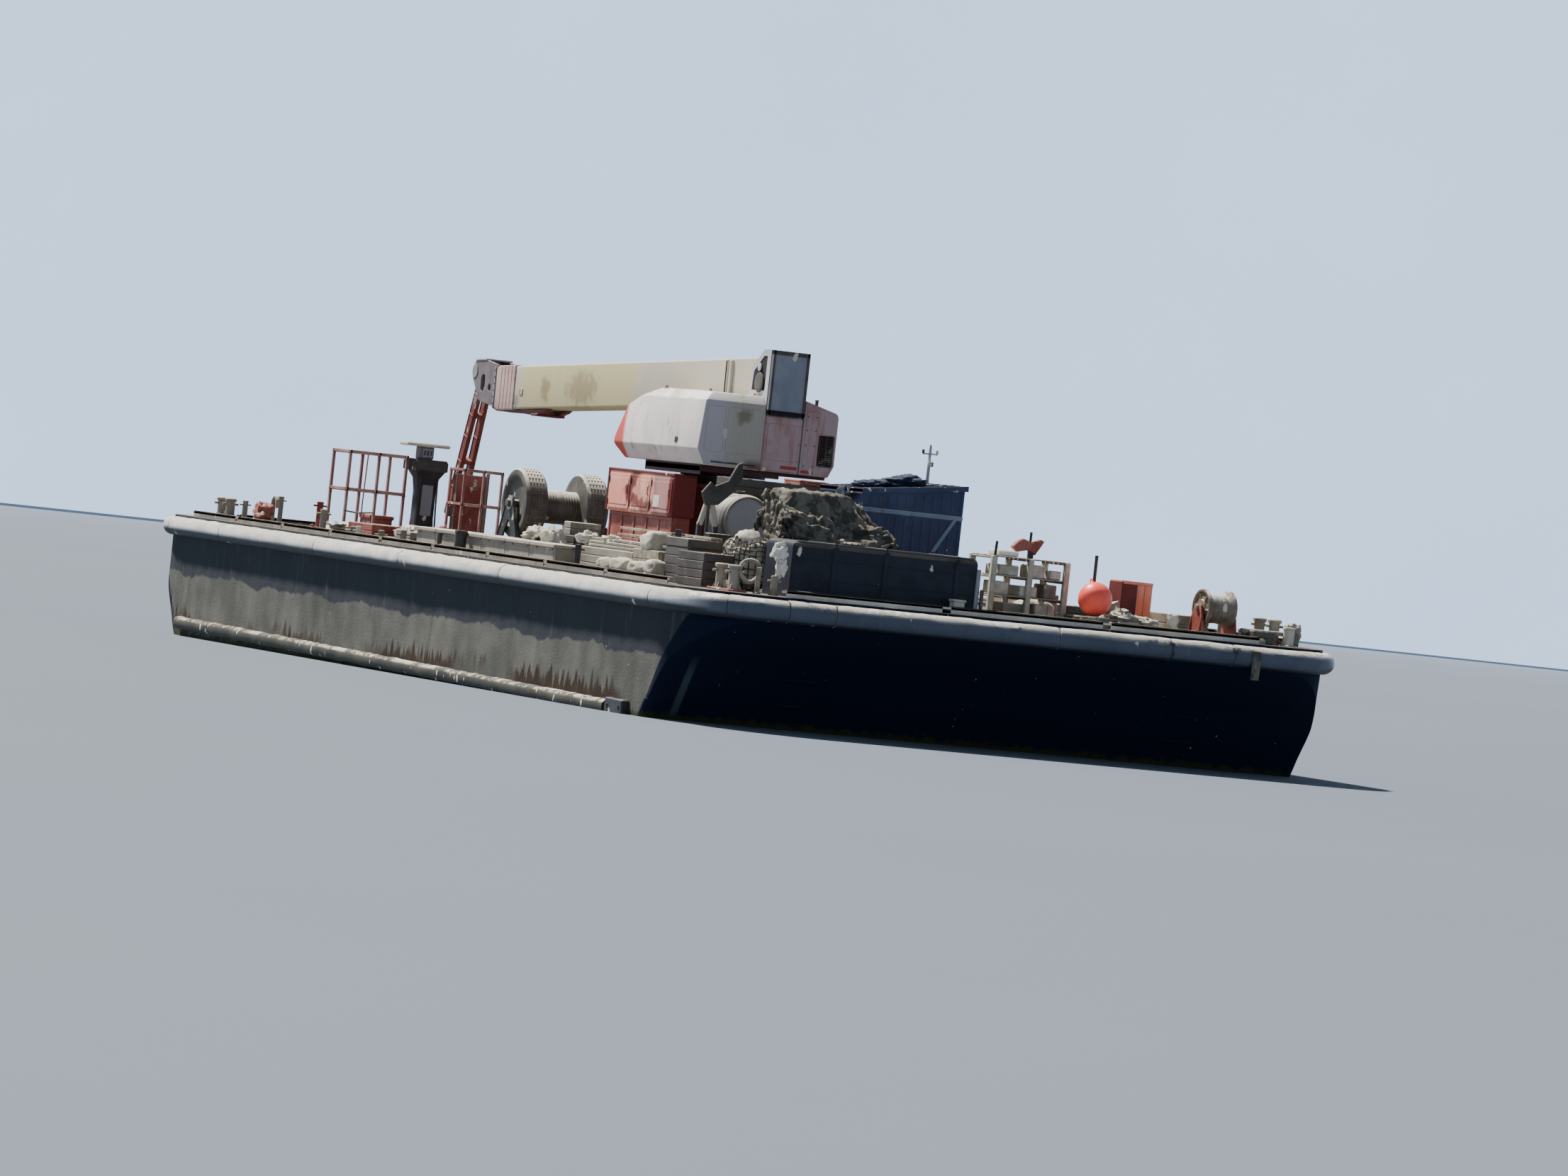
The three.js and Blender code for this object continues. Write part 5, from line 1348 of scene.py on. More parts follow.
def winch():
    x, y, z, radius, half = -4.5, -0.97, 3.79, 0.64, 0.8
    shape, frame = Shape(), Shape()
    inner = half - 0.44
    profile = [(0.03, half + 0.13), (0.068, half + 0.125), (0.068, half - 0.09), (0.2, half - 0.075),
               (0.43, half - 0.06), (0.46, half - 0.03), (0.52, half), (0.6, half - 0.014), (0.628,
                                                                                             half - 0.05)]
    profile += [(radius - 0.018 * (i % 2), half - 0.07 - i * 0.03) for i in range(11)]
    profile += [(0.6, inner + 0.02), (0.53, inner + 0.004)]
    profile += [(0.3 - 0.012 * (i % 2), inner - i * 0.026) for i in range(int(inner / 0.026))]
    shape.turned([*profile, *[(r, -t) for r, t in reversed(profile)]][::-1], (x, y, z), "Y", 56)
    for end in (-1, 1):
        t0, t1 = sorted((y + end * (half - 0.4), y + end * (half - 0.05)))
        rib = [(x + 0.61, t0), (x + 0.61, t1), (x + 0.637, t1 - 0.03), (x + 0.637, t0 + 0.03)]
        for i in range(36):
            shape.prism(rib, "Z", z - 0.014, z + 0.014, place=turn_about("Y", 10 * i, (x, y, z)))
    piece(shape, "winch_drum_flanges", "winch dark", "winch_drum", "winch_drum_body")
    for end in (-1, 1):
        t0, t1 = sorted((y + end * (half + 0.015), y + end * (half + 0.075)))
        outline = [(x - 0.56, DECK + 0.06), (x + 0.56, DECK + 0.06), (x + 0.13, z + 0.04),
                   (x + 0.09, z + 0.13),
                   (x - 0.09, z + 0.13), (x - 0.13, z + 0.04)]
        plate, holes = Shape(), Shape()
        plate.prism(outline, "Y", t0 + 0.012, t1 - 0.012)
        window = rounded([(x - 0.3, DECK + 0.16), (x + 0.3, DECK + 0.16), (x, z - 0.25)], 0.05)
        for hole in (window, circle(x, z, 0.076, 24)):
            holes.prism(hole, "Y", t0 - 0.1, t1 + 0.1)
        frame.take(carved(plate, [holes], bevel=0.004, segments=1))
        for a, b in ((-0.56, -0.13), (0.56, 0.13)):
            lean = [(x + a, DECK + 0.06), (x + b, z + 0.04), (x + b * 1.12, z + 0.04),
                    (x + a * 1.04, DECK + 0.06)]
            frame.prism(lean, "Y", t0, t1, 0.003)
        t0, t1 = t0 + 0.005, t1 - 0.005
        frame.skin([[(u, t, v) for u, v in circle(x, z, r)]
                    for r, t in ((0.076, t0), (0.125, t0), (0.125, t1), (0.076, t1))], 2, loop=True)
        bx = x + end * 0.48
        channel = [(0.06, 0), (0.06, 0.015), (0.008, 0.02), (0.008, 0.09), (0.06, 0.095), (0.06, 0.11)]
        channel += [(-u, v) for u, v in reversed(channel)]
        frame.prism([(bx + u, DECK + v) for u, v in channel], "Y", y - half - 0.09, y + half + 0.09)
        frame.bolts([(bx + a, y + b * (half + 0.045), DECK + 0.11) for a in (-0.035, 0.035) for b in (-1, 1)],
                    "Z",
                    0.014, 0.012, 2)
    profile = [(0.05, 0), (0.178, 0.002), (0.178, 0.03), (0.165, 0.035)]
    profile += [(0.17 - 0.015 * (i % 2), 0.05 + i * 0.03) for i in range(8)] + [(0.12, 0.3), (0.06, 0.32),
                                                                                (0.06, 0.34)]
    frame.turned(profile, (x, y + half + 0.075, z - 0.42), "Y", 28, 1)
    piece(frame, "winch_stand_plates", "dark rust grey", "winch_frame")


CABIN = {"x0": 8.0, "x1": 9.5, "y0": -1.5, "y1": 0.22, "low": 4.66, "high": 4.85, "wall": 0.045,
         "foot": 2.9703}
OPENING = {"x0": 8.306, "x1": 9.054, "z0": 3.016, "z1": 4.644}
WINDOW = {"y0": -1.1, "y1": -0.3, "sill": 3.9, "head": 4.35}


def roof_top(y):
    """Height of the single-pitch roof's top at y."""
    low, high = CABIN["low"], CABIN["high"]
    return low + (high - low) * (y - CABIN["y0"]) / (CABIN["y1"] - CABIN["y0"])


def cabin_walls():
    x0, x1, y0, y1, low, high, wall, foot = CABIN.values()
    dx0, dx1, dz0, dz1 = OPENING.values()
    w0, w1, sill, head = WINDOW.values()
    floor = Shape()
    floor.box((x0, y0, DECK), (x1, y1, foot - 0.012), 0.006)
    for x in np.linspace(x0 + 0.05, x1 - 0.05, 5):
        floor.box((x - 0.05, y0 - 0.012, DECK), (x + 0.05, y1 + 0.012, DECK + 0.045), 0.006, 1)
    floor.box((x0 + wall, y0 + wall, foot - 0.014), (x1 - wall, y1 - wall, foot), 0.002, 2)
    piece(floor, "cabin_sill", "dark rust timber", "cabin_floor")

    body, cuts, walls = Shape(), [Shape(), Shape(), Shape()], Shape()
    under = 0.0603
    body.prism([(y0, foot + 0.0003), (y1, foot + 0.0003), (y1, high - under), (y0, low - under)], "X", x0, x1)
    cuts[0].box((x0 + wall, y0 + wall, foot - 0.1), (x1 - wall, y1 - wall, high + 0.1))
    cuts[1].box((dx0 - 0.006, y1 - 0.1, dz0 - 0.006), (dx1 + 0.006, y1 + 0.1, dz1 + 0.006))
    cuts[2].box((x0 - 0.1, w0, sill), (x0 + 0.1, w1, head))
    walls.take(carved(body, cuts))
    for x, sx in ((x0, 1), (x1, -1)):
        for y, sy in ((y0, 1), (y1, -1)):
            walls.box((x - sx * 0.01, y - sy * 0.01, foot + 0.002),
                      (x + sx * 0.05, y + sy * 0.05, roof_top(y) - 0.065),
                      0.006)
    band = (4.3, 4.37)
    across, out = (-0.028, 0.028, 0.018, -0.018), (-0.004, -0.004, 0.009, 0.009)
    swap = Matrix(((0, 1, 0, 0), (1, 0, 0, 0), (0, 0, 1, 0), (0, 0, 0, 1)))
    for y in np.arange(y0 + 0.13, y1 - 0.1, 0.155):
        for z0, z1 in ((foot + 0.12, band[0] - 0.04), (band[1] + 0.04, roof_top(y) - 0.13)):
            walls.prism([(y + u, x1 + v) for u, v in zip(across, out)], "Z", z0, z1, place=swap)
    for x in np.arange(x0 + 0.16, x1 - 0.1, 0.155):
        walls.prism([(x + u, y0 - v) for u, v in zip(across, out)], "Z", foot + 0.12, low - 0.13)
    walls.box((x1 - 0.01, y0 - 0.014, band[0]), (x1 + 0.018, y1 + 0.014, band[1]), 0.006, 1)
    walls.box((x0 - 0.01, y0 - 0.018, band[0]), (x1, y0 + 0.01, band[1]), 0.006, 1)
    walls.box((x1 - 0.01, y0, foot + 0.02), (x1 + 0.014, y1, foot + 0.08), 0.006)
    for u0, u1, z0, z1 in ((dx0 - 0.036, dx0 - 0.006, 2.98, dz1 + 0.036),
                           (dx1 + 0.006, dx1 + 0.036, 2.98, dz1 + 0.036),
                           (dx0 - 0.036, dx1 + 0.036, dz1 + 0.006, dz1 + 0.036)):
        walls.box((u0, y1 - 0.01, z0), (u1, y1 + 0.012, z1), 0.004, 2)
    for u0, u1, z0, z1 in ((w0 - 0.05, w0, sill - 0.05, head + 0.05),
                           (w1, w1 + 0.05, sill - 0.05, head + 0.05),
                           (w0, w1, sill - 0.05, sill), (w0, w1, head, head + 0.05)):
        walls.box((x0 - 0.014, u0, z0), (x0 + 0.01, u1, z1), 0.004, 2)
    walls.prism([(y1 - 0.14, 4.32), (y1 - 0.08, 4.32), (-0.19, 3.78), (-0.27, 3.78)], "X", x1 - 0.002,
                x1 + 0.024,
                0.004, 1)
    piece(walls, "cabin_panels", "blue pale_blue dark", "cabin_walls")


def cabin_door():
    y1 = CABIN["y1"]
    dx0, dx1, dz0, dz1 = OPENING.values()
    door = Shape()
    door.box((dx0, y1 - 0.038, dz0), (dx1, y1 - 0.006, dz1), 0.004)
    for a, b, c, d in ((dx0, dx1, dz0, dz0 + 0.07), (dx0, dx1, dz1 - 0.07, dz1), (dx0, dx0 + 0.06, dz0, dz1),
                       (dx1 - 0.06, dx1, dz0, dz1), (dx0, dx1, 3.8, 3.86)):
        door.box((a, y1 - 0.02, c), (b, y1 + 0.006, d), 0.004)
    for i in range(8):
        z = 3.2 + i * 0.05
        door.prism([(y1 - 0.008, z), (y1 + 0.004, z + 0.004), (y1 - 0.006, z + 0.035)], "X", dx0 + 0.18,
                   dx1 - 0.18,
                   mark=1)
    handle = ((-0.005, 3.81), (0.045, 3.82), (0.045, 3.94), (-0.005, 3.95))
    door.tube([(dx1 - 0.115, y1 + v, z) for v, z in handle], 0.011, 10, 1)
    for z in (3.25, 3.85, 4.45):
        door.tube([(dx0 + 0.012, y1 + 0.004, z - 0.05), (dx0 + 0.012, y1 + 0.004, z + 0.05)], 0.01, 12, 1)
    piece(door, "cabin_door_leaf", "blue dark", "cabin_door", "cabin_door_body")


def cabin_window():
    x0 = CABIN["x0"]
    w0, w1, sill, head = WINDOW.values()
    pane = Shape()
    pane.box((x0 + 0.016, w0 + 0.005, sill + 0.005), (x0 + 0.026, w1 - 0.005, head - 0.005))
    for y in (w0 + 0.005, (w0 + w1) / 2 - 0.014, w1 - 0.033):
        pane.box((x0 + 0.012, y, sill + 0.005), (x0 + 0.03, y + 0.028, head - 0.005), 0.003, 1)
    for z in (sill + 0.005, head - 0.03):
        pane.box((x0 + 0.012, w0 + 0.01, z), (x0 + 0.03, w1 - 0.01, z + 0.025), 0.003, 1)
    piece(pane, "cabin_window_sash", "glass dark", "cabin_window")


def cabin_roof():
    x0, x1, y0, y1, low, high, _, _ = CABIN.values()
    roof = Shape()
    a, b = y0 - 0.05, y1 + 0.05

    def layer(start, end, y_from, y_to, lower, upper):
        roof.prism([(y, roof_top(y) + rise) for y, rise in
                    ((y_from, lower), (y_to, lower), (y_to, upper), (y_from, upper))], "X", start, end, 0.004)

    layer(x0 - 0.05, x1 + 0.05, a, b, -0.06, -0.012)
    for x in np.linspace(x0 - 0.03, x1 + 0.03, 7):
        layer(x - 0.02, x + 0.02, a + 0.01, b - 0.01, -0.02, 0.0)
    for y in (a, b - 0.024):
        layer(x0 - 0.05, x1 + 0.05, y, y + 0.024, -0.085, -0.006)
    layer(x1 + 0.03, x1 + 0.052, a, b, -0.085, -0.006)
    piece(roof, "cabin_roof_sheet", "blue", "cabin_roof")

    mast = Shape()
    x, y, tip = 8.95, -0.18, 5.45
    foot = roof_top(y)
    slope = turn_about("X", math.degrees(math.atan2(high - low, y1 - y0)), (x, y, foot))
    mast.box((x - 0.09, y - 0.09, foot + 0.0003), (x + 0.09, y + 0.09, foot + 0.018), 0.004, 0, slope)
    mast.turned([(0.04, foot + 0.012), (0.04, foot + 0.03), (0.028, foot + 0.06), (0.026, 5.1),
                 (0.02, tip - 0.04),
                 (0.012, tip)], (x, y, 0), "Z", 18)
    mast.bolts([(x + i * 0.07, y + j * 0.07, foot + 0.018) for i in (-1, 1) for j in (-1, 1)], "Z", 0.01,
               0.01, 1, slope)
    mast.tube([(x, y - 0.13, tip - 0.15), (x, y, tip - 0.145), (x, y + 0.13, tip - 0.15)], 0.012, 8)
    for v in (y - 0.12, y + 0.12):
        mast.turned([(0.012, -0.005), (0.022, 0), (0.022, 0.05), (0.01, 0.06)], (x, v, tip - 0.14), "Z", 14,
                    1)
    mast.turned([(0.03, 0), (0.05, 0.01), (0.05, 0.07), (0.03, 0.08)], (x + 0.05, y, 5.1), "Z", 16, 1)
    mast.tube([(x, y, 5.12), (x + 0.05, y, 5.12)], 0.012, 8, 1)
    piece(mast, "cabin_mast_pole", "grey dark", "cabin_mast")


def angle_bar(shape, a, b, size, thick=0.014):
    """A steel angle between two points that differ along one axis only."""
    axis = max(range(3), key=lambda i: abs(b[i] - a[i]))
    for thin in [i for i in (2, 1, 0) if i != axis]:
        low, high = [c - size for c in a], [c + size for c in a]
        low[axis], high[axis] = a[axis], b[axis]
        high[thin] = low[thin] + thick
        shape.box(low, high, 0.002)


def rail_frames():
    x = -10.2
    plans = (
        ("rail_frame_far", x, 0.9, (-2.82, -2.25, -1.7), (3.7, 4.4), 0.032),
        ("rail_frame_mid", -8.0, 0.7, (-1.38, -1.0, -0.64), (3.65, 4.28), 0.028),
    )
    for name, front, depth, ys, levels, size in plans:
        shape = Shape()
        for px in (front, front - depth):
            for y in ys:
                angle_bar(shape, (px, y, DECK + 0.01), (px, y, levels[-1] + size), size)
                shape.box((px - size * 2, y - size * 2, DECK), (px + size * 2, y + size * 2, DECK + 0.014),
                          0.003, 1)
            for z in levels:
                angle_bar(shape, (px, ys[0] - size, z), (px, ys[-1] + size, z), size)
        for y in (ys[0], ys[-1]):
            for z in levels:
                angle_bar(shape, (front - depth, y, z), (front, y, z), size)
        piece(shape, name + "_angles", "pink_rail rust", name)
    extra = Shape()
    extra.box((x - 0.86, -2.2, DECK), (x - 0.3, -1.76, 3.24), 0.02, 1)
    extra.box((x - 0.88, -2.22, 3.2), (x - 0.28, -1.74, 3.27), 0.01, 1)
    extra.tube([(x, -2.82, 3.3), (x, -2.6, 3.28), (x, -2.28, 3.31)], 0.016, 8)
    extra.tube([(x, -2.5, DECK), (x, -2.5, 3.5), (x, -2.48, 4.4)], 0.014, 8)
    extra.box((-8.66, -1.34, 3.05), (-8.62, -0.66, 4.2), 0.006, 1)
    for y in (-1.3, -0.7):
        extra.box((-8.64, y - 0.02, DECK), (-8.6, y + 0.02, 4.25), 0.005, 2)
    piece(extra, "rail_frame_panels", "pink_rail rust crusted")


def control_stand():
    shape, box = Shape(), Shape()
    x, y = -10.25, -1.285
    shape.box((-10.5, -1.62, DECK), (-10.0, -0.98, DECK + 0.08), 0.012)
    column = ((DECK + 0.07, 0.17, 0.2), (3.3, 0.15, 0.18), (3.8, 0.15, 0.18), (4.05, 0.17, 0.21),
              (4.2, 0.25, 0.3))
    shape.skin([[(x + a, y + b, z) for a, b in rectangle(-u, u, -v, v, 0.03)] for z, u, v in column])
    shape.box((-10.54, -1.655, 4.19), (-9.96, -0.97, 4.37), 0.014, 1)
    shape.box((-10.52, -1.64, 4.36), (-9.98, -0.985, 4.4), 0.012, 1)
    shape.prism(rectangle(y - 0.11, y + 0.11, 3.35, 3.98, 0.03), "X", x + 0.145, x + 0.16, 0.004, 2)
    shape.bolts([(x + a * 0.22, y + b * 0.27, DECK + 0.08) for a in (-1, 1) for b in (-1, 1)], "Z", 0.018,
                0.014, 2)
    for side in (-1, 1):
        shape.tube([(-10.05, y + side * 0.2, DECK + 0.08), (-10.06, y + side * 0.18, 3.5),
                    (-10.08, y + side * 0.17, 4.2)], 0.018, 8, 1)
    piece(shape, "control_stand_column", "dark frame grey", "control_stand")
    box.box((-10.39, -1.49, 4.4003), (-10.11, -1.22, 4.64), 0.02, 3)
    box.box((-10.48, -1.79, 4.63), (-10.02, -0.94, 4.7), 0.02)
    box.prism(rectangle(-1.46, -1.25, 4.44, 4.6, 0.02), "X", -10.112, -10.104, 0.003, 1)
    for v in (-1.42, -1.355, -1.29):
        box.tube([(-10.108, v, 4.48), (-10.075, v, 4.48), (-10.065, v, 4.56)], [0.009, 0.007, 0.014], 8, 2)
    piece(box, "control_box_case", "chalk grey dark head", "control_box")


def deck_locker():
    shape = Shape()
    rng = random.Random(4)
    shape.box((-1.1, -4.8, DECK), (5.2, -4.05, 3.2), 0.014)
    stops = np.linspace(-1.15, 5.25, 7)
    for a, b in zip(stops, stops[1:]):
        shape.box((a + 0.006, -4.85, 3.19), (b - 0.006, -4.0, 3.25 + rng.uniform(0, 0.01)), 0.01)
        shape.box((a + 0.1, -4.806, 2.96), (b - 0.1, -4.79, 3.15), 0.006)
        for x in (a + 0.2, b - 0.2):
            shape.box((x - 0.04, -4.82, 3.16), (x + 0.04, -4.79, 3.2), 0.004)
    piece(shape, "deck_locker_boards", "beige", "deck_locker")


def deck_tank():
    x0, x1, y0, y1, top, bend = 11.15, 12.15, -3.8, -0.7, 3.76, 0.11
    outline = [(y0, DECK), (y1, DECK), *arc(y1 - bend, top - bend, bend, 0, QUARTER, 7),
               *arc(y0 + bend, top - bend, bend, QUARTER, math.pi, 7)]
    shape = Shape()
    shape.prism(outline, "X", x0, x1, 0.02)
    for y in (y0 + 0.7, (y0 + y1) / 2, y1 - 0.35):
        shape.box((x0 - 0.022, y - 0.04, DECK), (x1 + 0.022, y + 0.04, top - 0.045), 0.012)
        shape.box((x0 - 0.01, y - 0.02, top - 0.05), (x1 + 0.01, y + 0.02, top + 0.006), 0.006)
    shape.box((x1 - 0.01, y0 + 0.03, top - 0.09), (x1 + 0.012, y1 - 0.03, top - 0.03), 0.008, 3)
    for z in (3.2, 3.5):
        shape.tube([(x1 + 0.001, y, z) for y in (y0 + 0.02, (y0 + y1) / 2, y1 - 0.02)], 0.008, 6)
    shape.turned([(0.1, -0.005), (0.19, 0), (0.19, 0.025), (0.16, 0.03), (0.15, 0.045), (0.03, 0.05)],
                 (x1 - 0.5, y0 + 1.2, top), "Z", 28, 1)
    shape.bolts(ring_of((x1 - 0.5, y0 + 1.2, top + 0.028), 0.172, 12), "Z", 0.011, 0.012, 1)
    shape.box((x1 - 0.06, y1 - 0.02, DECK), (x1 + 0.02, y1 + 0.05, 3.6), 0.008, 2)
    piece(shape, "deck_tank_shell", "tank dark grey frame", "deck_tank")


def round_tank():
    x0, x1, y, z, radius = 5.2, 6.0, -1.86, 3.93, 0.43
    shape, frame = Shape(), Shape()
    half = [(0.02, 0.004), (0.3, 0.006), (0.36, 0.02), (radius - 0.02, 0.06), (radius, 0.1), (radius, 0.16),
            (radius + 0.006, 0.165), (radius + 0.006, 0.2), (radius, 0.205)]
    shape.turned(half + [(r, x1 - x0 - t) for r, t in reversed(half)], (x0, y, z), "X", 44)
    shape.tube([(x1 - 0.02, u, v) for u, v in circle(y, z, 0.39, 40)], 0.022, 8, 3, loop=True)
    shape.turned([(0.05, radius - 0.02), (0.05, radius + 0.03), (0.075, radius + 0.03),
                  (0.075, radius + 0.05),
                  (0.02, radius + 0.055)], (x0 + 0.4, y, z), "Z", 18, 1)
    piece(shape, "round_tank_shell", "disc dark timber crusted", "round_tank")
    for px in (x0 + 0.18, x1 - 0.18):
        body, cutter, window = Shape(), Shape(), Shape()
        body.box((px - 0.06, y - 0.38, DECK), (px + 0.06, y + 0.38, z - 0.06))
        cutter.turned([(radius + 0.006, -1), (radius + 0.006, 1)], (px, y, z), "X", 40)
        window.prism(rectangle(y - 0.2, y + 0.2, DECK + 0.16, 3.36, 0.05), "X", px - 1, px + 1)
        frame.take(carved(body, [cutter, window], bevel=0.006, segments=1))
    for v in (y - 0.33, y + 0.33):
        frame.box((x0 + 0.06, v - 0.05, DECK), (x1 - 0.06, v + 0.05, DECK + 0.1), 0.012)
    piece(frame, "tank_cradle_saddles", "dark", "tank_cradle")


def plank(shape, x0, x1, y, z, rng, mark, width, thick):
    """A weathered board that sits a little askew."""
    place = turn_about("Z", rng.uniform(-1.2, 1.2), ((x0 + x1) / 2, y, z))
    skew = rng.uniform(-0.02, 0.02)
    shape.box((x0 + skew, y - width / 2, z), (x1 + skew, y + width / 2, z + thick), 0.004, mark, place)


def pallet_rack():
    shape = Shape()
    rng = random.Random(11)
    x0, x1, y0, y1 = 10.65, 11.5, -0.15, 1.2
    for z in (DECK, 3.2, 3.5, 3.79):
        for y in (y0 + 0.05, (y0 + y1) / 2, y1 - 0.05):
            shape.box((x0 + 0.02, y - 0.045, z), (x1 - 0.02, y + 0.045, z + 0.03), 0.006)
        for x in np.linspace(x0 + 0.06, x1 - 0.06, 6):
            place = turn_about("Z", rng.uniform(-1.5, 1.5), (x, 0.5, z))
            ends = (y0 + rng.uniform(0, 0.03), y1 - rng.uniform(0, 0.03))
            shape.box((x - 0.05, ends[0], z + 0.03), (x + 0.05, ends[1], z + 0.052), 0.004,
                      0 if rng.random() < 0.7 else 1, place)
    for y in (y0, (y0 + y1) / 2 - 0.045, y1 - 0.09):
        for x in (x0, x1 - 0.09):
            shape.box((x, y, DECK), (x + 0.09, y + 0.09, 3.84), 0.012, 1)
    for x, y, z in ((x1 - 0.06, y0 + 0.06, 4.06), (x1 - 0.4, y0 + 0.8, 4.25)):
        shape.tube([(x, y, 3.8), (x + 0.01, y, 3.95), (x, y + 0.01, z)], 0.022, 10, 2)
    foot = DECK + 0.052
    for y, width, z, height, mark in ((0.1, 0.26, 3.252, 0.2, 1), (0.55, 0.3, 3.252, 0.16, 3),
                                      (0.95, 0.2, 3.252, 0.22, 0),
                             (0.18, 0.34, 3.552, 0.16, 1), (0.7, 0.22, 3.552, 0.2, 1), (1.0, 0.18, 3.552,
                                                                                        0.14, 3),
                             (0.3, 0.4, foot, 0.18, 0), (0.85, 0.3, foot, 0.2, 1)):
        place = turn_about("Z", rng.uniform(-9, 9), (11.2, y, z))
        shape.box((10.95, y - width / 2, z), (11.42, y + width / 2, z + height), 0.014, mark, place)
    chunk = [(0.32, 4.0), (0.42, 3.93), (0.6, 3.97), (0.72, 3.9), (0.86, 4.12), (0.8, 4.15), (0.66, 4.09),
             (0.5, 4.14),
             (0.42, 4.1)]
    shape.prism(chunk, "X", 11.08, 11.2, 0.014, 4)
    shape.box((11.1, 0.62, 3.84), (11.18, 0.7, 3.98), 0.01, 2)
    shape.box((11.0, 0.0, 3.842), (11.4, 0.34, 3.93), 0.02, 3)
    piece(shape, "pallet_rack_boards", "crusted sack dark chalk rust", "pallet_rack")


def buoy():
    x, y, z, radius = 11.95, 1.44, 3.33, 0.265
    profile = []
    for a in np.linspace(-QUARTER + 0.08, QUARTER - 0.16, 26):
        seam = 0.004 * math.exp(-(a / 0.03) ** 2)
        profile.append(((radius + seam) * math.cos(a), (radius + seam) * math.sin(a)))
    profile += [(0.05, radius - 0.005), (0.05, radius + 0.02), (0.042, radius + 0.032),
                (0.01, radius + 0.032)]
    lean = Vector((0, 0, 1)).rotation_difference(Vector((-0.55, 0.0, 0.835))).to_matrix().to_4x4()
    ball, pad = Shape(Matrix.Translation((x, y, z)) @ lean), Shape()
    ball.turned(profile, (0, 0, 0), "Z", 48)
    ball.tube([(u, 0, v) for u, v in circle(0, radius + 0.06, 0.035, 16)], 0.012, 8, loop=True)
    piece(ball, "ball_buoy_float", "buoy", "ball_buoy", smooth=60)
    rng = random.Random(5)
    for i in range(6):
        plank(pad, x - 0.32, x + 0.32, y - 0.3 + i * 0.12, 3.03, rng, 0, 0.105, 0.026)
    for px in (x - 0.27, x, x + 0.27):
        pad.box((px - 0.045, y - 0.35, DECK), (px + 0.045, y + 0.35, 3.03), 0.008)
    piece(pad, "buoy_pallet", "timber", "buoy_pad")


def deck_bin():
    x0, x1, y0, y1, top, wall = 10.3, 10.75, 2.52, 3.07, 3.65, 0.03
    shape = Shape()
    outer = rectangle(x0 + 0.006, x1 - 0.006, y0 + 0.006, y1 - 0.006, 0.03)
    inner = rectangle(x0 + wall, x1 - wall, y0 + wall, y1 - wall, 0.02)
    levels = ((outer, DECK + 0.012), (outer, top - 0.02), (inner, top - 0.02), (inner, DECK + 0.05))
    shape.skin([[(u, v, z) for u, v in outline] for outline, z in levels])
    outer = rectangle(x0, x1, y0, y1, 0.034)
    inner = rectangle(x0 + 0.036, x1 - 0.036, y0 + 0.036, y1 - 0.036, 0.02)
    levels = ((outer, top - 0.045), (outer, top), (inner, top), (inner, top - 0.045))
    shape.skin([[(u, v, z) for u, v in outline] for outline, z in levels], loop=True)
    for a in (0.25, 0.5, 0.75):
        y, x = y0 + (y1 - y0) * a, x0 + (x1 - x0) * a
        shape.box((x1 - 0.012, y - 0.016, DECK + 0.05), (x1 + 0.006, y + 0.016, top - 0.04), 0.004)
        shape.box((x - 0.016, y0 - 0.006, DECK + 0.05), (x + 0.016, y0 + 0.012, top - 0.04), 0.004)
    for x in (x0 + 0.06, x1 - 0.06):
        for y in (y0 + 0.06, y1 - 0.06):
            shape.box((x - 0.04, y - 0.04, DECK), (x + 0.04, y + 0.04, DECK + 0.03), 0.004, 1)
    shape.box((x1 - 0.004, y0 + 0.01, DECK + 0.1), (x1 + 0.008, y0 + 0.26, top - 0.05), 0.002, 1)
    shape.box((x0 + 0.01, y0 - 0.009, DECK + 0.06), (x1 - 0.004, y0 + 0.008, top - 0.02), 0.002, 1)
    piece(shape, "deck_bin_sheet", "bin bin_dark", "deck_bin")


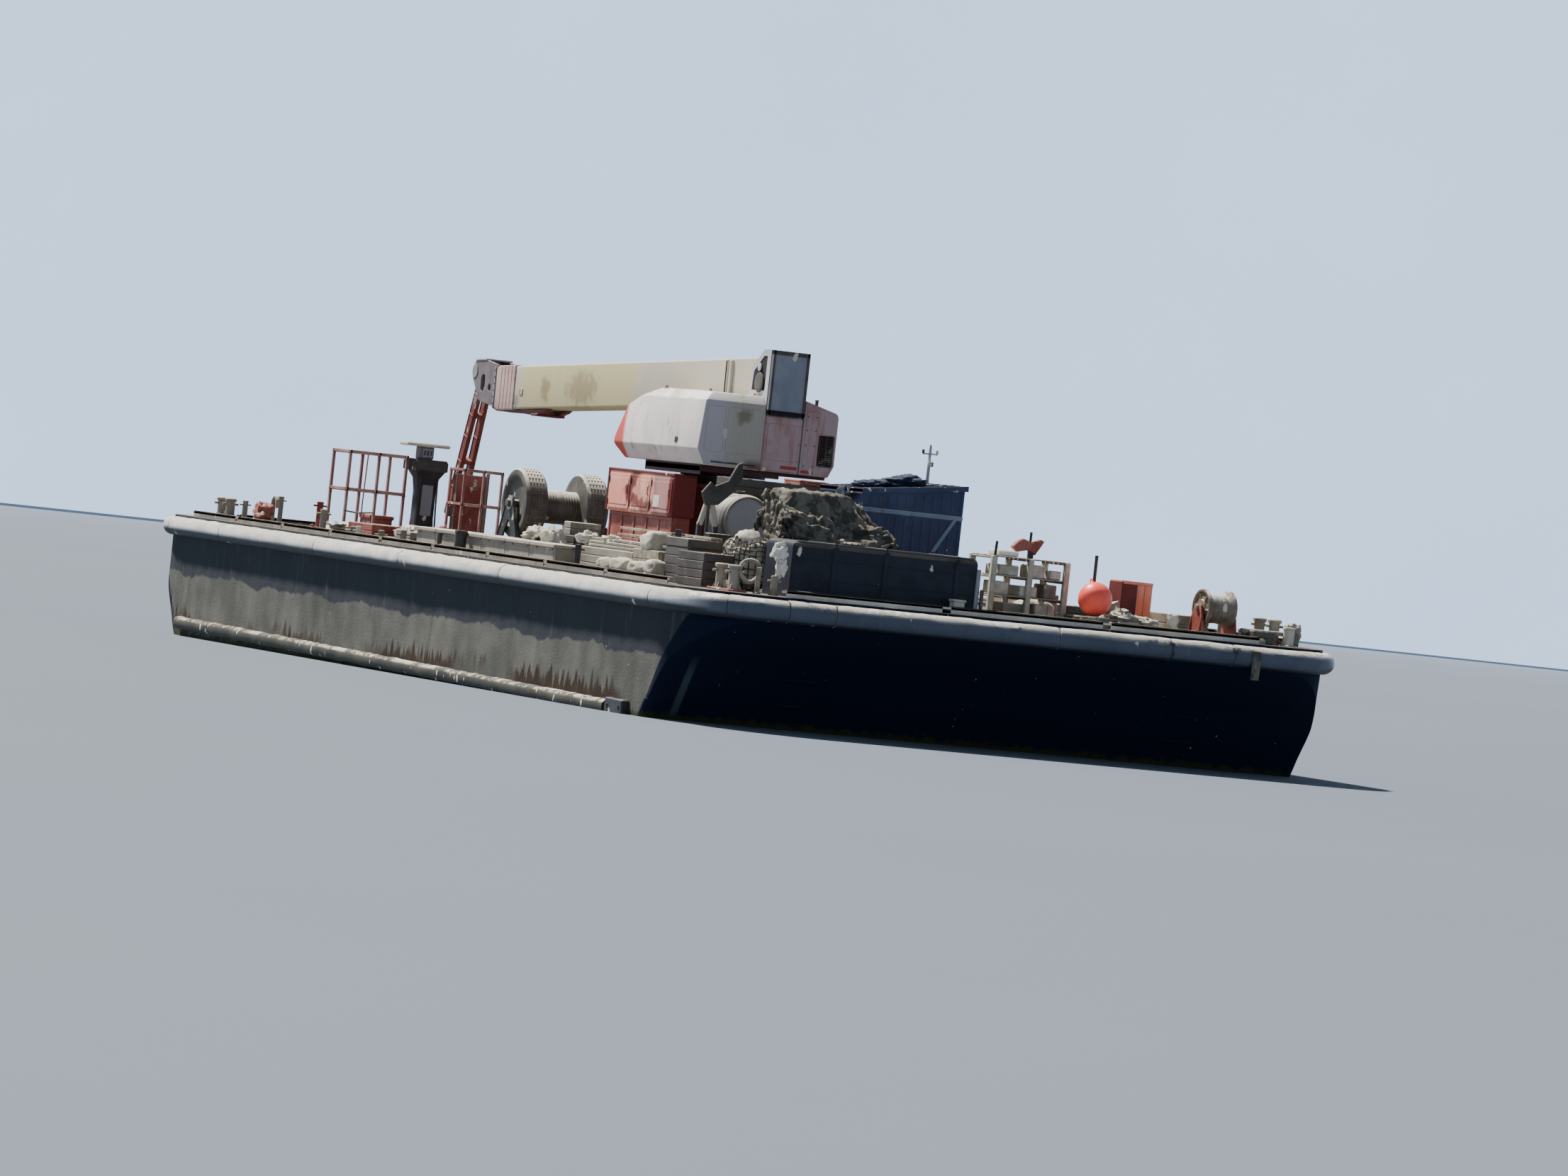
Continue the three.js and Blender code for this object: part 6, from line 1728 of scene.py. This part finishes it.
def mooring_roller():
    x, y, z, radius, half = 11.9, 3.56, 3.37, 0.29, 0.25
    shape, stand = Shape(), Shape()
    end = half + 0.09
    profile = [(0.02, -end), (0.045, -end + 0.004), (0.045, -half - 0.004), (0.12, -half),
               (0.13, -half + 0.02),
               (0.24, -half + 0.03), (0.255, -half), (radius - 0.006, -half), (radius, -half + 0.014),
               (radius, -half + 0.05), (radius - 0.02, -half + 0.07), (radius - 0.06, -half + 0.1)]
    profile += [(radius - 0.06 + 0.006 * math.sin(t * 60), t) for t in np.linspace(-half + 0.12, 0, 8)]
    shape.turned(profile + [(r, -t) for r, t in reversed(profile)][1:], (x, y, z), "Y", 44)
    for side in (-1, 1):
        t0, t1 = sorted((y + side * (half - 0.026), y + side * (half - 0.006)))
        for i in range(6):
            shape.prism(rectangle(x + 0.11, x + 0.25, t0, t1), "Z", z - 0.01, z + 0.01,
                        place=turn_about("Y", 60 * i + 10, (x, y, z)))
    piece(shape, "mooring_roller_wheel", "roller", "mooring_roller", "mooring_roller_body")
    outline = [(x - 0.26, DECK), (x + 0.26, DECK), (x + 0.11, z + 0.03), (x + 0.07, z + 0.06),
               (x - 0.07, z + 0.06),
               (x - 0.11, z + 0.03)]
    for side in (-1, 1):
        face = y + side * (half + 0.055)
        body, hole = Shape(), Shape()
        body.prism(outline, "Y", face - side * 0.04, face)
        hole.prism(circle(x, z, 0.05, 20), "Y", face - side * 0.14, face + side * 0.1)
        stand.take(carved(body, [hole], bevel=0.006, segments=1))
        for a in (-0.16, 0.16):
            stand.prism([(face, DECK), (face + side * 0.05, DECK), (face, z - 0.12)], "X", x + a - 0.008,
                        x + a + 0.008)
    stand.box((x - 0.26, y - half - 0.055, DECK), (x + 0.26, y + half + 0.055, DECK + 0.04), 0.008)
    piece(stand, "roller_stand_plates", "rust", "roller_stand")


# Soft heaps and loose gear on the deck.


def lump(shape, centre, size, seed, rough, square, place=None, mark=0, rows=14, columns=24):
    """A closed, uneven rounded form. A low square gives a boxier one."""
    def bend(value):
        return math.copysign(abs(value) ** square, value)
    rings = []
    for i in range(rows + 1):
        up = -QUARTER + math.pi * (i + 0.25) / (rows + 0.5)
        ring = []
        for c, s in circle(0, 0, 1, columns):
            way = Vector((bend(c) * bend(math.cos(up)), bend(s) * bend(math.cos(up)), bend(math.sin(up))))
            coarse = noise.noise(way * 1.6 + Vector((seed, 0, 0)))
            fine = noise.noise(way * 4.3 + Vector((0, seed, 0)))
            swell = 1 + rough * (coarse + 0.6 * fine) - rough * 0.5
            ring.append([at + w * half * swell for at, w, half in zip(centre, way, size)])
        rings.append(ring)
    shape.skin(rings, mark, place)


def grid_sheet(name, points, columns, rows):
    """A sheet in the scene, from rows of points."""
    row = columns + 1
    faces = [(j * row + i, j * row + i + 1, (j + 1) * row + i + 1, (j + 1) * row + i)
             for j in range(rows) for i in range(columns)]
    mesh = bpy.data.meshes.new(name)
    mesh.from_pydata(points, [], faces)
    return in_scene(name, mesh)


def heap_gear():
    """Crates and drums that the sheet lies over."""
    shape = Shape()
    for x0, x1, y0, y1, z0, z1, mark in (
            (9.74, 10.54, -3.26, -2.36, DECK, 3.66, 0), (9.76, 10.5, -2.3, -1.5, DECK, 3.62, 0),
            (10.62, 10.95, -3.2, -2.4, DECK, 3.62, 2), (10.6, 10.95, -2.3, -1.54, DECK, 3.5, 0),
            (9.78, 10.5, -3.24, -2.3, 3.67, 4.14, 1), (9.84, 10.4, -2.22, -1.72, 3.63, 4.1, 0),
            (9.8, 10.42, -3.18, -2.16, 4.15, 4.46, 0)):
        shape.box((x0, y0, z0), (x1, y1, z1), 0.02, mark)
        for z in np.arange(z0 + 0.08, z1 - 0.05, 0.14):
            shape.box((x0 - 0.012, y0 + 0.03, z), (x1 + 0.012, y1 - 0.03, z + 0.1), 0.004)
            shape.box((x0 + 0.03, y0 - 0.012, z), (x1 - 0.03, y1 + 0.012, z + 0.1), 0.004)
    drum = [(0.18, 0), (0.19, 0.01), (0.185, 0.14), (0.192, 0.15), (0.185, 0.16), (0.185, 0.3), (0.19, 0.4),
            (0.17, 0.41)]
    for x, y, z, scale in ((10.1, -1.96, 4.11, 0.6), (10.76, -2.8, 3.63, 0.8), (10.76, -1.95, 3.51, 0.8)):
        shape.turned([(r * scale, t * scale) for r, t in drum], (x, y, z), "Z", 30, 1)
    return piece(shape, "heap_crates", "timber drum dark")


def heap_fence():
    """Walls that keep the falling sheet clear of the gear around it."""
    fence = Shape()
    low, high, wall, top = (9.6, -3.42), (11.06, -1.34), 0.3, 4.5
    fence.box((low[0] - wall, low[1] - wall, DECK - 0.3), (high[0] + wall, high[1] + wall, DECK))
    for a, b in ((low[0] - wall, low[0]), (high[0], high[0] + wall)):
        fence.box((a, low[1] - wall, DECK - 0.1), (b, high[1] + wall, top))
    for a, b in ((low[1] - wall, low[1]), (high[1], high[1] + wall)):
        fence.box((low[0], a, DECK - 0.1), (high[0], b, top))
    return in_scene("fence", mesh_of(fence))


def let_it_fall(thing, gear, flat):
    """Runs the cloth simulation from the gathered sheet, with its flat shape at rest."""
    thing.shape_key_add(name="gathered")
    rest = thing.shape_key_add(name="flat")
    for point, place in zip(rest.data, flat):
        point.co = place
    walls = heap_fence()
    for solid in (gear, walls):
        solid.modifiers.new("collision", "COLLISION")
        solid.collision.thickness_outer = 0.012
        solid.collision.cloth_friction = 18
    cloth = thing.modifiers.new("cloth", "CLOTH")
    values = {"rest_shape_key": rest, "quality": 7, "mass": 0.35, "tension_stiffness": 30,
              "compression_stiffness": 30, "shear_stiffness": 12, "bending_stiffness": 0.6,
              "air_damping": 1.5}
    for key, value in values.items():
        setattr(cloth.settings, key, value)
    cloth.collision_settings.distance_min = 0.012
    cloth.collision_settings.use_self_collision = True
    cloth.collision_settings.self_distance_min = 0.012
    scene = bpy.context.scene
    for frame_number in range(1, 56):
        scene.frame_set(frame_number)
    graph = bpy.context.evaluated_depsgraph_get()
    settled = bpy.data.meshes.new_from_object(thing.evaluated_get(graph))
    thing.modifiers.clear()
    thing.shape_key_clear()
    thing.data = settled
    gear.modifiers.clear()
    bpy.data.objects.remove(walls)
    scene.frame_set(1)


def draped_sheet():
    """A mottled sheet thrown over the crates. It starts gathered, and cloth simulation lets it fold."""
    width, length, columns, rows, gather = 3.0, 3.9, 84, 108, 0.88
    gear = heap_gear()
    centre = Vector((10.32, -2.4, 4.58))
    flat, points = [], []
    for j in range(rows + 1):
        for i in range(columns + 1):
            u, v = (i / columns - 0.5) * width, (j / rows - 0.5) * length
            flat.append((u, v, 0.0))
            u, v = u * gather, v * gather
            a, b = max(-0.56, min(0.56, u)), max(-0.86, min(0.86, v))
            fall = Vector((u - a, v - b, 0.0))
            dist = fall.length
            way = fall.normalized() if dist > 1e-6 else fall
            ruffle = 0.09 * noise.noise(Vector((u * 4.2, v * 4.2, 1.5)))
            ruffle += 0.055 * noise.noise(Vector((u, v, 0.3)) * 12)
            normal = (way * min(dist * 4, 1.0) + Vector((0, 0, 1 - min(dist * 3, 1.0)))).normalized()
            place = Vector((a, b, -0.9 * max(0.0, dist - 0.07))) + way * min(dist, 0.07 + 0.06 * dist)
            points.append(centre + place + normal * ruffle)
    thing = grid_sheet("heap_sheet", points, columns, rows)
    let_it_fall(thing, gear, flat)
    thing.data.materials.append(MAT["tarp"])
    thing.data.shade_smooth()
    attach(thing, "barge")
    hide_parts("tarp_heap")


def net_bundle():
    """A slack bundle with strands of netting over it."""
    shape, coarse, net = Shape(), Shape(), Shape()
    centre = (10.45, -3.8, 3.3)
    lump(shape, centre, (0.42, 0.38, 0.42), 3.0, 0.2, 0.8, rows=26, columns=44)
    lump(shape, (10.42, -3.78, 3.64), (0.26, 0.22, 0.2), 8.0, 0.2, 0.85)
    piece(shape, "net_bundle_body", "sack", "net_bundle", smooth=80)
    lump(coarse, centre, (0.435, 0.395, 0.435), 3.0, 0.2, 0.8, rows=15, columns=26)
    strands = in_scene("form", mesh_of(coarse))
    strands.modifiers.new("wires", "WIREFRAME").thickness = 0.02
    net.take(evaluated(strands))
    bpy.data.objects.remove(strands)
    piece(net, "net_strands", "tarp", smooth=80)


# The loose gear's materials, which the tables number from 0.
LOOSE = "timber crusted dark rust sack frame chalk"
# Crates: their ends along X and Y, top, material, turn in degrees and, if not on the deck, foot.
CRATES = (
    (4.4, 5.12, -1.8, 0.04, 4.62, 5, 0), (4.44, 5.14, -0.62, -0.1, 4.7, 3, 0, 4.62),
    (5.4, 7.6, -4.45, -3.95, 3.28, 1, 0), (5.5, 7.75, -4.35, -4.0, 3.39, 1, 1, 3.29),
    (7.7, 8.7, -4.5, -3.9, 3.35, 0, 2), (8.9, 9.9, -4.5, -3.95, 3.6, 5, -2),
    (9.95, 10.9, -4.7, -4.2, 3.42, 5, 3), (6.2, 6.9, -3.8, -3.3, 3.5, 0, 8),
    (7.3, 8.1, -3.5, -2.9, 3.4, 2, -6), (12.28, 12.5, 1.6, 1.98, 3.03, 2, 4),
    (12.26, 12.44, -1.2, -0.98, 3.12, 6, 6), (1.9, 2.9, -3.6, -2.9, 3.4, 5, 5),
    (2.2, 2.7, -3.5, -3.0, 3.62, 1, -8, 3.4), (-6.9, -5.9, -3.9, -3.2, 3.15, 3, 7),
    (-3.2, -2.3, -4.4, -3.8, 3.12, 0, -5), (5.2, 6.0, -3.2, -2.7, 3.3, 2, 4),
    (11.9, 12.4, 4.0, 4.4, 3.1, 5, 5), (6.9, 7.1, -3.0, -2.5, 3.7, 5, 12),
    (3.0, 3.7, -3.4, -2.8, 3.25, 3, -9), (9.7, 10.4, 3.6, 4.3, 3.2, 0, 9),
    (8.0, 9.1, 1.6, 2.3, 3.3, 0, -4), (7.2, 7.8, 3.0, 3.6, 3.14, 5, 12),
    (-2.0, -1.2, 2.2, 3.4, 3.25, 5, 3), (-7.5, -6.6, 1.5, 2.7, 3.45, 0, -6),
    (-7.4, -6.7, 1.6, 2.6, 3.7, 3, 2, 3.46), (-10.2, -9.4, 3.0, 3.9, 3.3, 2, 8),
)
# Posts: X, Y, top, radius and material.
POSTS = (
    (-10.1, -4.8, 3.3, 0.05, 1), (-8.15, -4.8, 3.46, 0.045, 1), (-5.55, -4.9, 3.33, 0.06, 1),
    (-4.1, -4.85, 3.1, 0.05, 1), (-3.7, -4.9, 3.12, 0.045, 6), (-2.55, -4.9, 3.1, 0.05, 1),
    (-2.0, -4.8, 3.15, 0.04, 6), (-1.34, -4.95, 3.16, 0.055, 1), (0.34, -4.93, 3.2, 0.04, 5),
    (1.36, -4.95, 3.28, 0.1, 5), (12.28, 4.7, 3.2, 0.09, 6), (12.3, -4.12, 3.2, 0.05, 0),
    (12.1, -4.3, 3.3, 0.04, 0), (11.55, 1.6, 4.0, 0.026, 5), (9.15, -4.4, 3.72, 0.05, 2),
    (5.9, -4.7, 3.3, 0.05, 2), (12.2, -0.62, 3.3, 0.03, 5), (-12.2, -2.6, 3.4, 0.06, 3),
    (-12.2, 1.5, 3.4, 0.06, 3), (6.0, 4.6, 3.45, 0.05, 5), (0.0, 4.6, 3.45, 0.05, 5), (-6.0, 4.6, 3.45, 0.05,
                                                                                       5),
)
# Sacks and scrap: centre, half sizes and material. The sacks are the rows with SACK.
SACK = 4
LUMPS = (
    ((8.1, -4.3, 3.46), (0.3, 0.24, 0.2), SACK), ((7.0, -4.6, 3.05), (0.3, 0.16, 0.12), SACK),
    ((7.6, -4.62, 3.06), (0.33, 0.17, 0.13), SACK), ((8.25, -4.6, 3.05), (0.3, 0.16, 0.12), SACK),
    ((8.75, -4.55, 3.08), (0.24, 0.16, 0.15), SACK), ((12.3, -4.08, 3.56), (0.12, 0.14, 0.17), 6),
    ((12.3, -4.04, 3.32), (0.11, 0.11, 0.16), 6), ((12.0, 1.95, 3.05), (0.2, 0.3, 0.15), 1),
    ((12.0, 2.3, 3.02), (0.2, 0.25, 0.12), 1), ((12.1, 2.75, 3.05), (0.1, 0.12, 0.16), 6),
    ((11.2, 2.1, 3.1), (0.3, 0.35, 0.22), 1), ((2.4, -4.0, 3.36), (0.35, 0.22, 0.18), 1),
    ((2.75, -3.9, 3.3), (0.3, 0.25, 0.24), 6), ((5.3, -4.3, 3.4), (0.22, 0.2, 0.12), 6),
    ((6.1, -4.2, 3.42), (0.2, 0.2, 0.1), 6), ((-11.6, -3.9, 3.1), (0.3, 0.2, 0.2), 3),
    ((-4.6, -3.6, 3.05), (0.4, 0.3, 0.16), 1), ((-3.4, -3.5, 3.08), (0.3, 0.25, 0.2), 3),
    ((-1.9, -3.6, 3.02), (0.35, 0.25, 0.14), 1), ((12.15, 4.85, 3.12), (0.14, 0.16, 0.2), 1),
    ((9.6, 1.6, 3.05), (0.35, 0.3, 0.17), SACK), ((-8.9, -3.4, 3.0), (0.5, 0.3, 0.12), 1),
)


def loose_crates(rng):
    crates = Shape()
    plain_marks, crusted = (2, 6), 1
    for x0, x1, y0, y1, top, mark, turn, *foot in CRATES:
        place = turn_about("Z", turn, ((x0 + x1) / 2, (y0 + y1) / 2, 0))
        foot = foot[0] if foot else DECK
        crates.box((x0 + 0.015, y0 + 0.015, foot), (x1 - 0.015, y1 - 0.015, top - 0.02), 0.014, mark, place)
        if mark in plain_marks:
            crates.box((x0, y0, top - 0.04), (x1, y1, top), 0.01, mark, place)
            continue
        steps = max(2, round((top - foot) / 0.13))
        for i in range(steps):
            a = foot + (top - foot) * i / steps + 0.006
            b = foot + (top - foot) * (i + 1) / steps - 0.006
            slip = rng.uniform(0, 0.012)
            crates.box((x0 - slip, y0 + 0.03, a), (x1 + slip, y1 - 0.03, b), 0.005, mark, place)
            crates.box((x0 + 0.03, y0 - slip, a), (x1 - 0.03, y1 + slip, b), 0.005, mark, place)
        for y in np.arange(y0 + 0.06, y1 - 0.03, 0.115):
            a, b = x0 + rng.uniform(0, 0.02), x1 - rng.uniform(0, 0.02)
            crates.box((a, y - 0.05, top - 0.024), (b, y + 0.05, top), 0.004,
                       crusted if rng.random() < 0.5 else mark, place)
    piece(crates, "deck_crates", LOOSE)


def loose_posts():
    posts = Shape()
    for x, y, top, radius, mark in POSTS:
        posts.turned([(radius * 1.5, DECK), (radius * 1.5, DECK + 0.02), (radius, DECK + 0.03),
                      (radius, top - 0.04), (radius * 1.12, top - 0.03), (radius * 1.06, top - 0.005),
                      (radius * 0.5, top)], (x, y, 0), "Z", 16, mark)
        if 0.04 < radius < 0.07:
            posts.tube([(x, y + step * radius, top - 0.08) for step in (-2.2, 0, 2.2)], radius * 0.3, 8, mark)
    piece(posts, "deck_posts", LOOSE)


def loose_gear():
    rng = random.Random(77)
    loose_crates(rng)
    loose_posts()
    scrap = Shape()
    for i, (centre, size, mark) in enumerate(LUMPS):
        if mark != SACK:
            lump(scrap, centre, size, i * 3.7, 0.45, 0.85, mark=mark)
    for _ in range(46):
        x, y = rng.choice(((rng.uniform(-11, 12), rng.uniform(-4.9, -3.9)),
                           (rng.uniform(10.8, 12.4), rng.uniform(-4, 4.4))))
        s = rng.uniform(0.03, 0.09)
        lump(scrap, (x, y, DECK + s * 0.5), (s * 1.4, s, s * 0.7), x * 3, 0.5, 0.9,
             mark=rng.choice((0, 1, 3, 6)), rows=6, columns=9)
    piece(scrap, "deck_scrap", LOOSE, smooth=50)
    for i, (centre, size, mark) in enumerate(LUMPS):
        if mark == SACK:
            sack = Shape()
            lump(sack, centre, size, i * 2.3, 0.16, 0.7, rows=16, columns=28)
            piece(sack, f"sack_{i}", "sack", smooth=80)


def pipes_and_boards():
    """Long loose pieces: boards on the crates, pipes, an A-frame and a ring."""
    rng = random.Random(9)
    shape = Shape()
    for x0, x1, y, z, mark in (
            (5.3, 8.9, -4.25, 3.4, 1), (5.6, 8.2, -4.1, 3.4, 6), (6.0, 9.8, -4.0, 3.61, 0), (5.2, 7.4, -3.7,
                                                                                             3.5, 0),
            (-3.0, 0.4, -3.6, 3.04, 0), (-6.5, -3.0, -3.75, 2.93, 0), (2.2, 5.6, -3.75, 2.93, 0),
            (-9.6, -6.2, 3.7, 2.93, 0), (-9.4, -6.4, 3.85, 2.93, 1), (-9.5, -6.3, 3.95, 2.96, 0)):
        plank(shape, x0, x1, y, z, rng, mark, rng.uniform(0.12, 0.2), 0.04)
    for y0, y1, x, z in ((-0.6, 4.2, 12.42, DECK), (2.0, 3.2, 11.4, DECK), (3.9, 4.7, 12.2, 3.05)):
        shape.box((x - 0.05, y0, z), (x + 0.05, y1, z + 0.07), 0.01, 1)
    for y in (-2.66, -2.38):
        shape.tube([(5.9, y, DECK + 0.9), (5.9, -2.52, 4.33)], 0.05, 10, 6)
    for y in (-2.66, -2.38):
        shape.box((5.86, y - 0.04, DECK), (5.94, y + 0.04, DECK + 0.95), 0.01, 2)
    bent = ((-2.64, 4.34), (-2.5, 4.52), (-2.42, 4.46), (-2.2, 4.56), (-2.06, 4.84), (-1.98, 4.88),
            (-1.96, 4.62), (-2.12, 4.36), (-2.34, 4.16), (-2.56, 4.14))
    shape.prism([(y - 0.2, z - 0.01) for y, z in bent], "X", 6.24, 6.3, 0.01, 5)
    shape.tube([(6.26, -2.7, DECK), (6.25, -2.68, 3.6), (6.27, -2.7, 4.2)], 0.03, 10, 5)
    ring = [(12.0 + 0.03 * math.sin(a * 2), -4.4 + 0.16 * math.cos(a), 3.225 + 0.165 * math.sin(a))
            for a in np.linspace(0, TURN, 25)[:-1]]
    shape.tube(ring, 0.032, 10, 1, loop=True)
    for i in range(5):
        shift = 0.1 * i
        pipe = [(x, 3.9 + shift, 2.97 + 0.05 * (i % 2)) for x in (-1.5 + shift, 1.0, 3.6 - shift)]
        shape.tube(pipe, 0.04, 12, 5)
    piece(shape, "boards_and_pipes", LOOSE)


def roof_bundle():
    """A dark sheet rolled up on the cabin's roof, one corner of it hanging over the eave."""
    shape = Shape()
    tilt = turn_about("X", 6.3, (8.9, -1.0, roof_top(-1.0)))
    for i, (y, z, *size) in enumerate(((-0.66, 0.06, 0.42, 0.46, 0.085), (-0.52, 0.1, 0.34, 0.26, 0.085),
                                       (-1.02, 0.05, 0.36, 0.3, 0.07), (-1.3, 0.05, 0.3, 0.14, 0.06))):
        lump(shape, (8.95, y, roof_top(-1.0) + z), size, i * 5.1, 0.4, 0.85, tilt, rows=16, columns=32)
    lump(shape, (8.98, -1.62, 4.56), (0.28, 0.05, 0.13), 2.0, 0.5, 0.8, rows=12, columns=26)
    piece(shape, "roof_bundle", "dark_cloth", smooth=80)


def deck_fittings():
    """Plate seams, manholes, vents and pad eyes welded on the deck."""
    shape = Shape()
    for x in np.arange(-11.0, 11.1, 2.2):
        shape.tube([(x, y, DECK + 0.002) for y in (-5.1, 0, 5.1)], 0.008, 6)
    for y in (-3.3, -1.1, 1.1, 3.3):
        shape.tube([(x, y, DECK + 0.002) for x in (-12.3, 0, 12.3)], 0.008, 6)
    for x, y in ((-11.2, 0.0), (-6.2, 3.0), (-2.9, 0.9), (8.5, 3.4), (3.3, 0.9), (-8.9, -0.2)):
        shape.turned([(0.33, 0), (0.33, 0.03), (0.3, 0.05), (0.27, 0.05), (0.26, 0.04), (0.02, 0.044)],
                     (x, y, DECK), "Z", 36)
        shape.bolts(ring_of((x, y, DECK + 0.05), 0.29, 16), "Z", 0.012, 0.014, 1)
        grip = ((-0.08, 0.04), (-0.07, 0.075), (0.07, 0.075), (0.08, 0.04))
        shape.tube([(x + u, y, DECK + v) for u, v in grip], 0.009, 8, 1)
    for x, y in ((-12.0, 3.6), (-12.0, -3.6), (10.6, 4.4), (3.0, 5.0), (-4.6, 5.0)):
        bow = [(x, DECK), (x, DECK + 0.3), *arc(x + 0.12, DECK + 0.38, 0.12, math.pi, 0, 9),
               (x + 0.24, DECK + 0.3)]
        shape.tube([(u, y, v) for u, v in bow], 0.045, 14, 2)
        shape.turned([(0.1, DECK), (0.1, DECK + 0.02), (0.05, DECK + 0.03)], (x, y, 0), "Z", 20, 1)
    for x in (-9.0, -3.0, 0.6, 9.4):
        for y in (-5.0, 5.0):
            shape.box((x - 0.14, y - 0.06, DECK), (x + 0.14, y + 0.06, DECK + 0.016), 0.004, 1)
            shape.tube([(x + 0.06 * u, y, DECK + 0.01 + 0.09 * v) for u, v in arc(0, 0, 1, 0, math.pi, 11)],
                       0.016, 10, 1)
    piece(shape, "deck_fittings", "deck dark crusted")


def hung_rag():
    """A stiff pale rag that hangs over the strake at the near end."""
    width, drop, lip, columns, rows = 0.15, 0.53, 0.09, 12, 30
    points = []
    for j in range(rows + 1):
        s = j / rows * drop
        for i in range(columns + 1):
            wave = 0.012 * math.sin(i * 1.1 + s * 5) * min(1, s / 0.2)
            x, z = (wave, lip - s) if s > lip else (s - lip, (lip - s) * 0.2)
            y = 3.78 + (i / columns - 0.5) * width * (1 - 0.06 * s)
            points.append((HALF_X + 0.205 + x, y, STRAKE["mid"] + 0.1 + z))
    rag = grid_sheet("strake_rag", points, columns, rows)
    rag.data.materials.append(MAT["tarp"])
    rag.data.shade_smooth()
    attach(rag, "barge")


def water_floor():
    """The floor at the waterline, and a pale backdrop far around it."""
    size, far, tall = 900.0, 460.0, 90.0
    around = circle(0, 0, far, 96)
    count = len(around)
    corners = [(x, y, water_height(x, y)) for x, y in rectangle(-size, size, -size, size)]
    wall = [(x, y, water_height(x, y) + z) for z in (-1.0, tall) for x, y in around]
    bands = [(i, (i + 1) % count, count + (i + 1) % count, count + i) for i in range(count)]
    for name, points, faces, shades, glow in (
            ("floor", corners, [(0, 1, 2, 3)], ((94, 105, 118), (99, 109, 121)), 0.0),
            ("backdrop", wall, bands, ((170, 196, 228), (178, 202, 231)), 2.2)):
        mesh = bpy.data.meshes.new(name)
        mesh.from_pydata(points, [], faces)
        material, net, shader = new_material(name + "_paint")
        material.cycles.emission_sampling = "NONE"
        tone = net.mix(net.group("cloudy", Scale=0.02, Low=0.2, High=0.8)["Mask"], *shades)
        net.put(tone, shader.inputs["Emission Color" if glow else "Base Color"])
        if glow:
            shader.inputs["Base Color"].default_value = (0.0, 0.0, 0.0, 1.0)
        shader.inputs["Emission Strength"].default_value = glow
        shader.inputs["Roughness"].default_value = 0.9
        mesh.materials.append(material)
        in_scene(name, mesh)


for build in (
        hull, hull_fittings, strakes, lower_strakes, kerbs, bitts, pedestal, slewing_ring, machinery_box,
        platform, engine_hood, pump_housing, counterweight, bracket, boom_main, boom_collar, boom_inner,
        boom_head, jib, lift_cylinder, winch, cabin_walls, cabin_door, cabin_window, cabin_roof,
        rail_frames, control_stand, deck_locker, deck_tank, round_tank, pallet_rack, buoy, deck_bin,
        mooring_roller, draped_sheet, net_bundle, loose_gear, pipes_and_boards, roof_bundle, deck_fittings,
        hung_rag, water_floor, place_camera, light_studio):
    build()
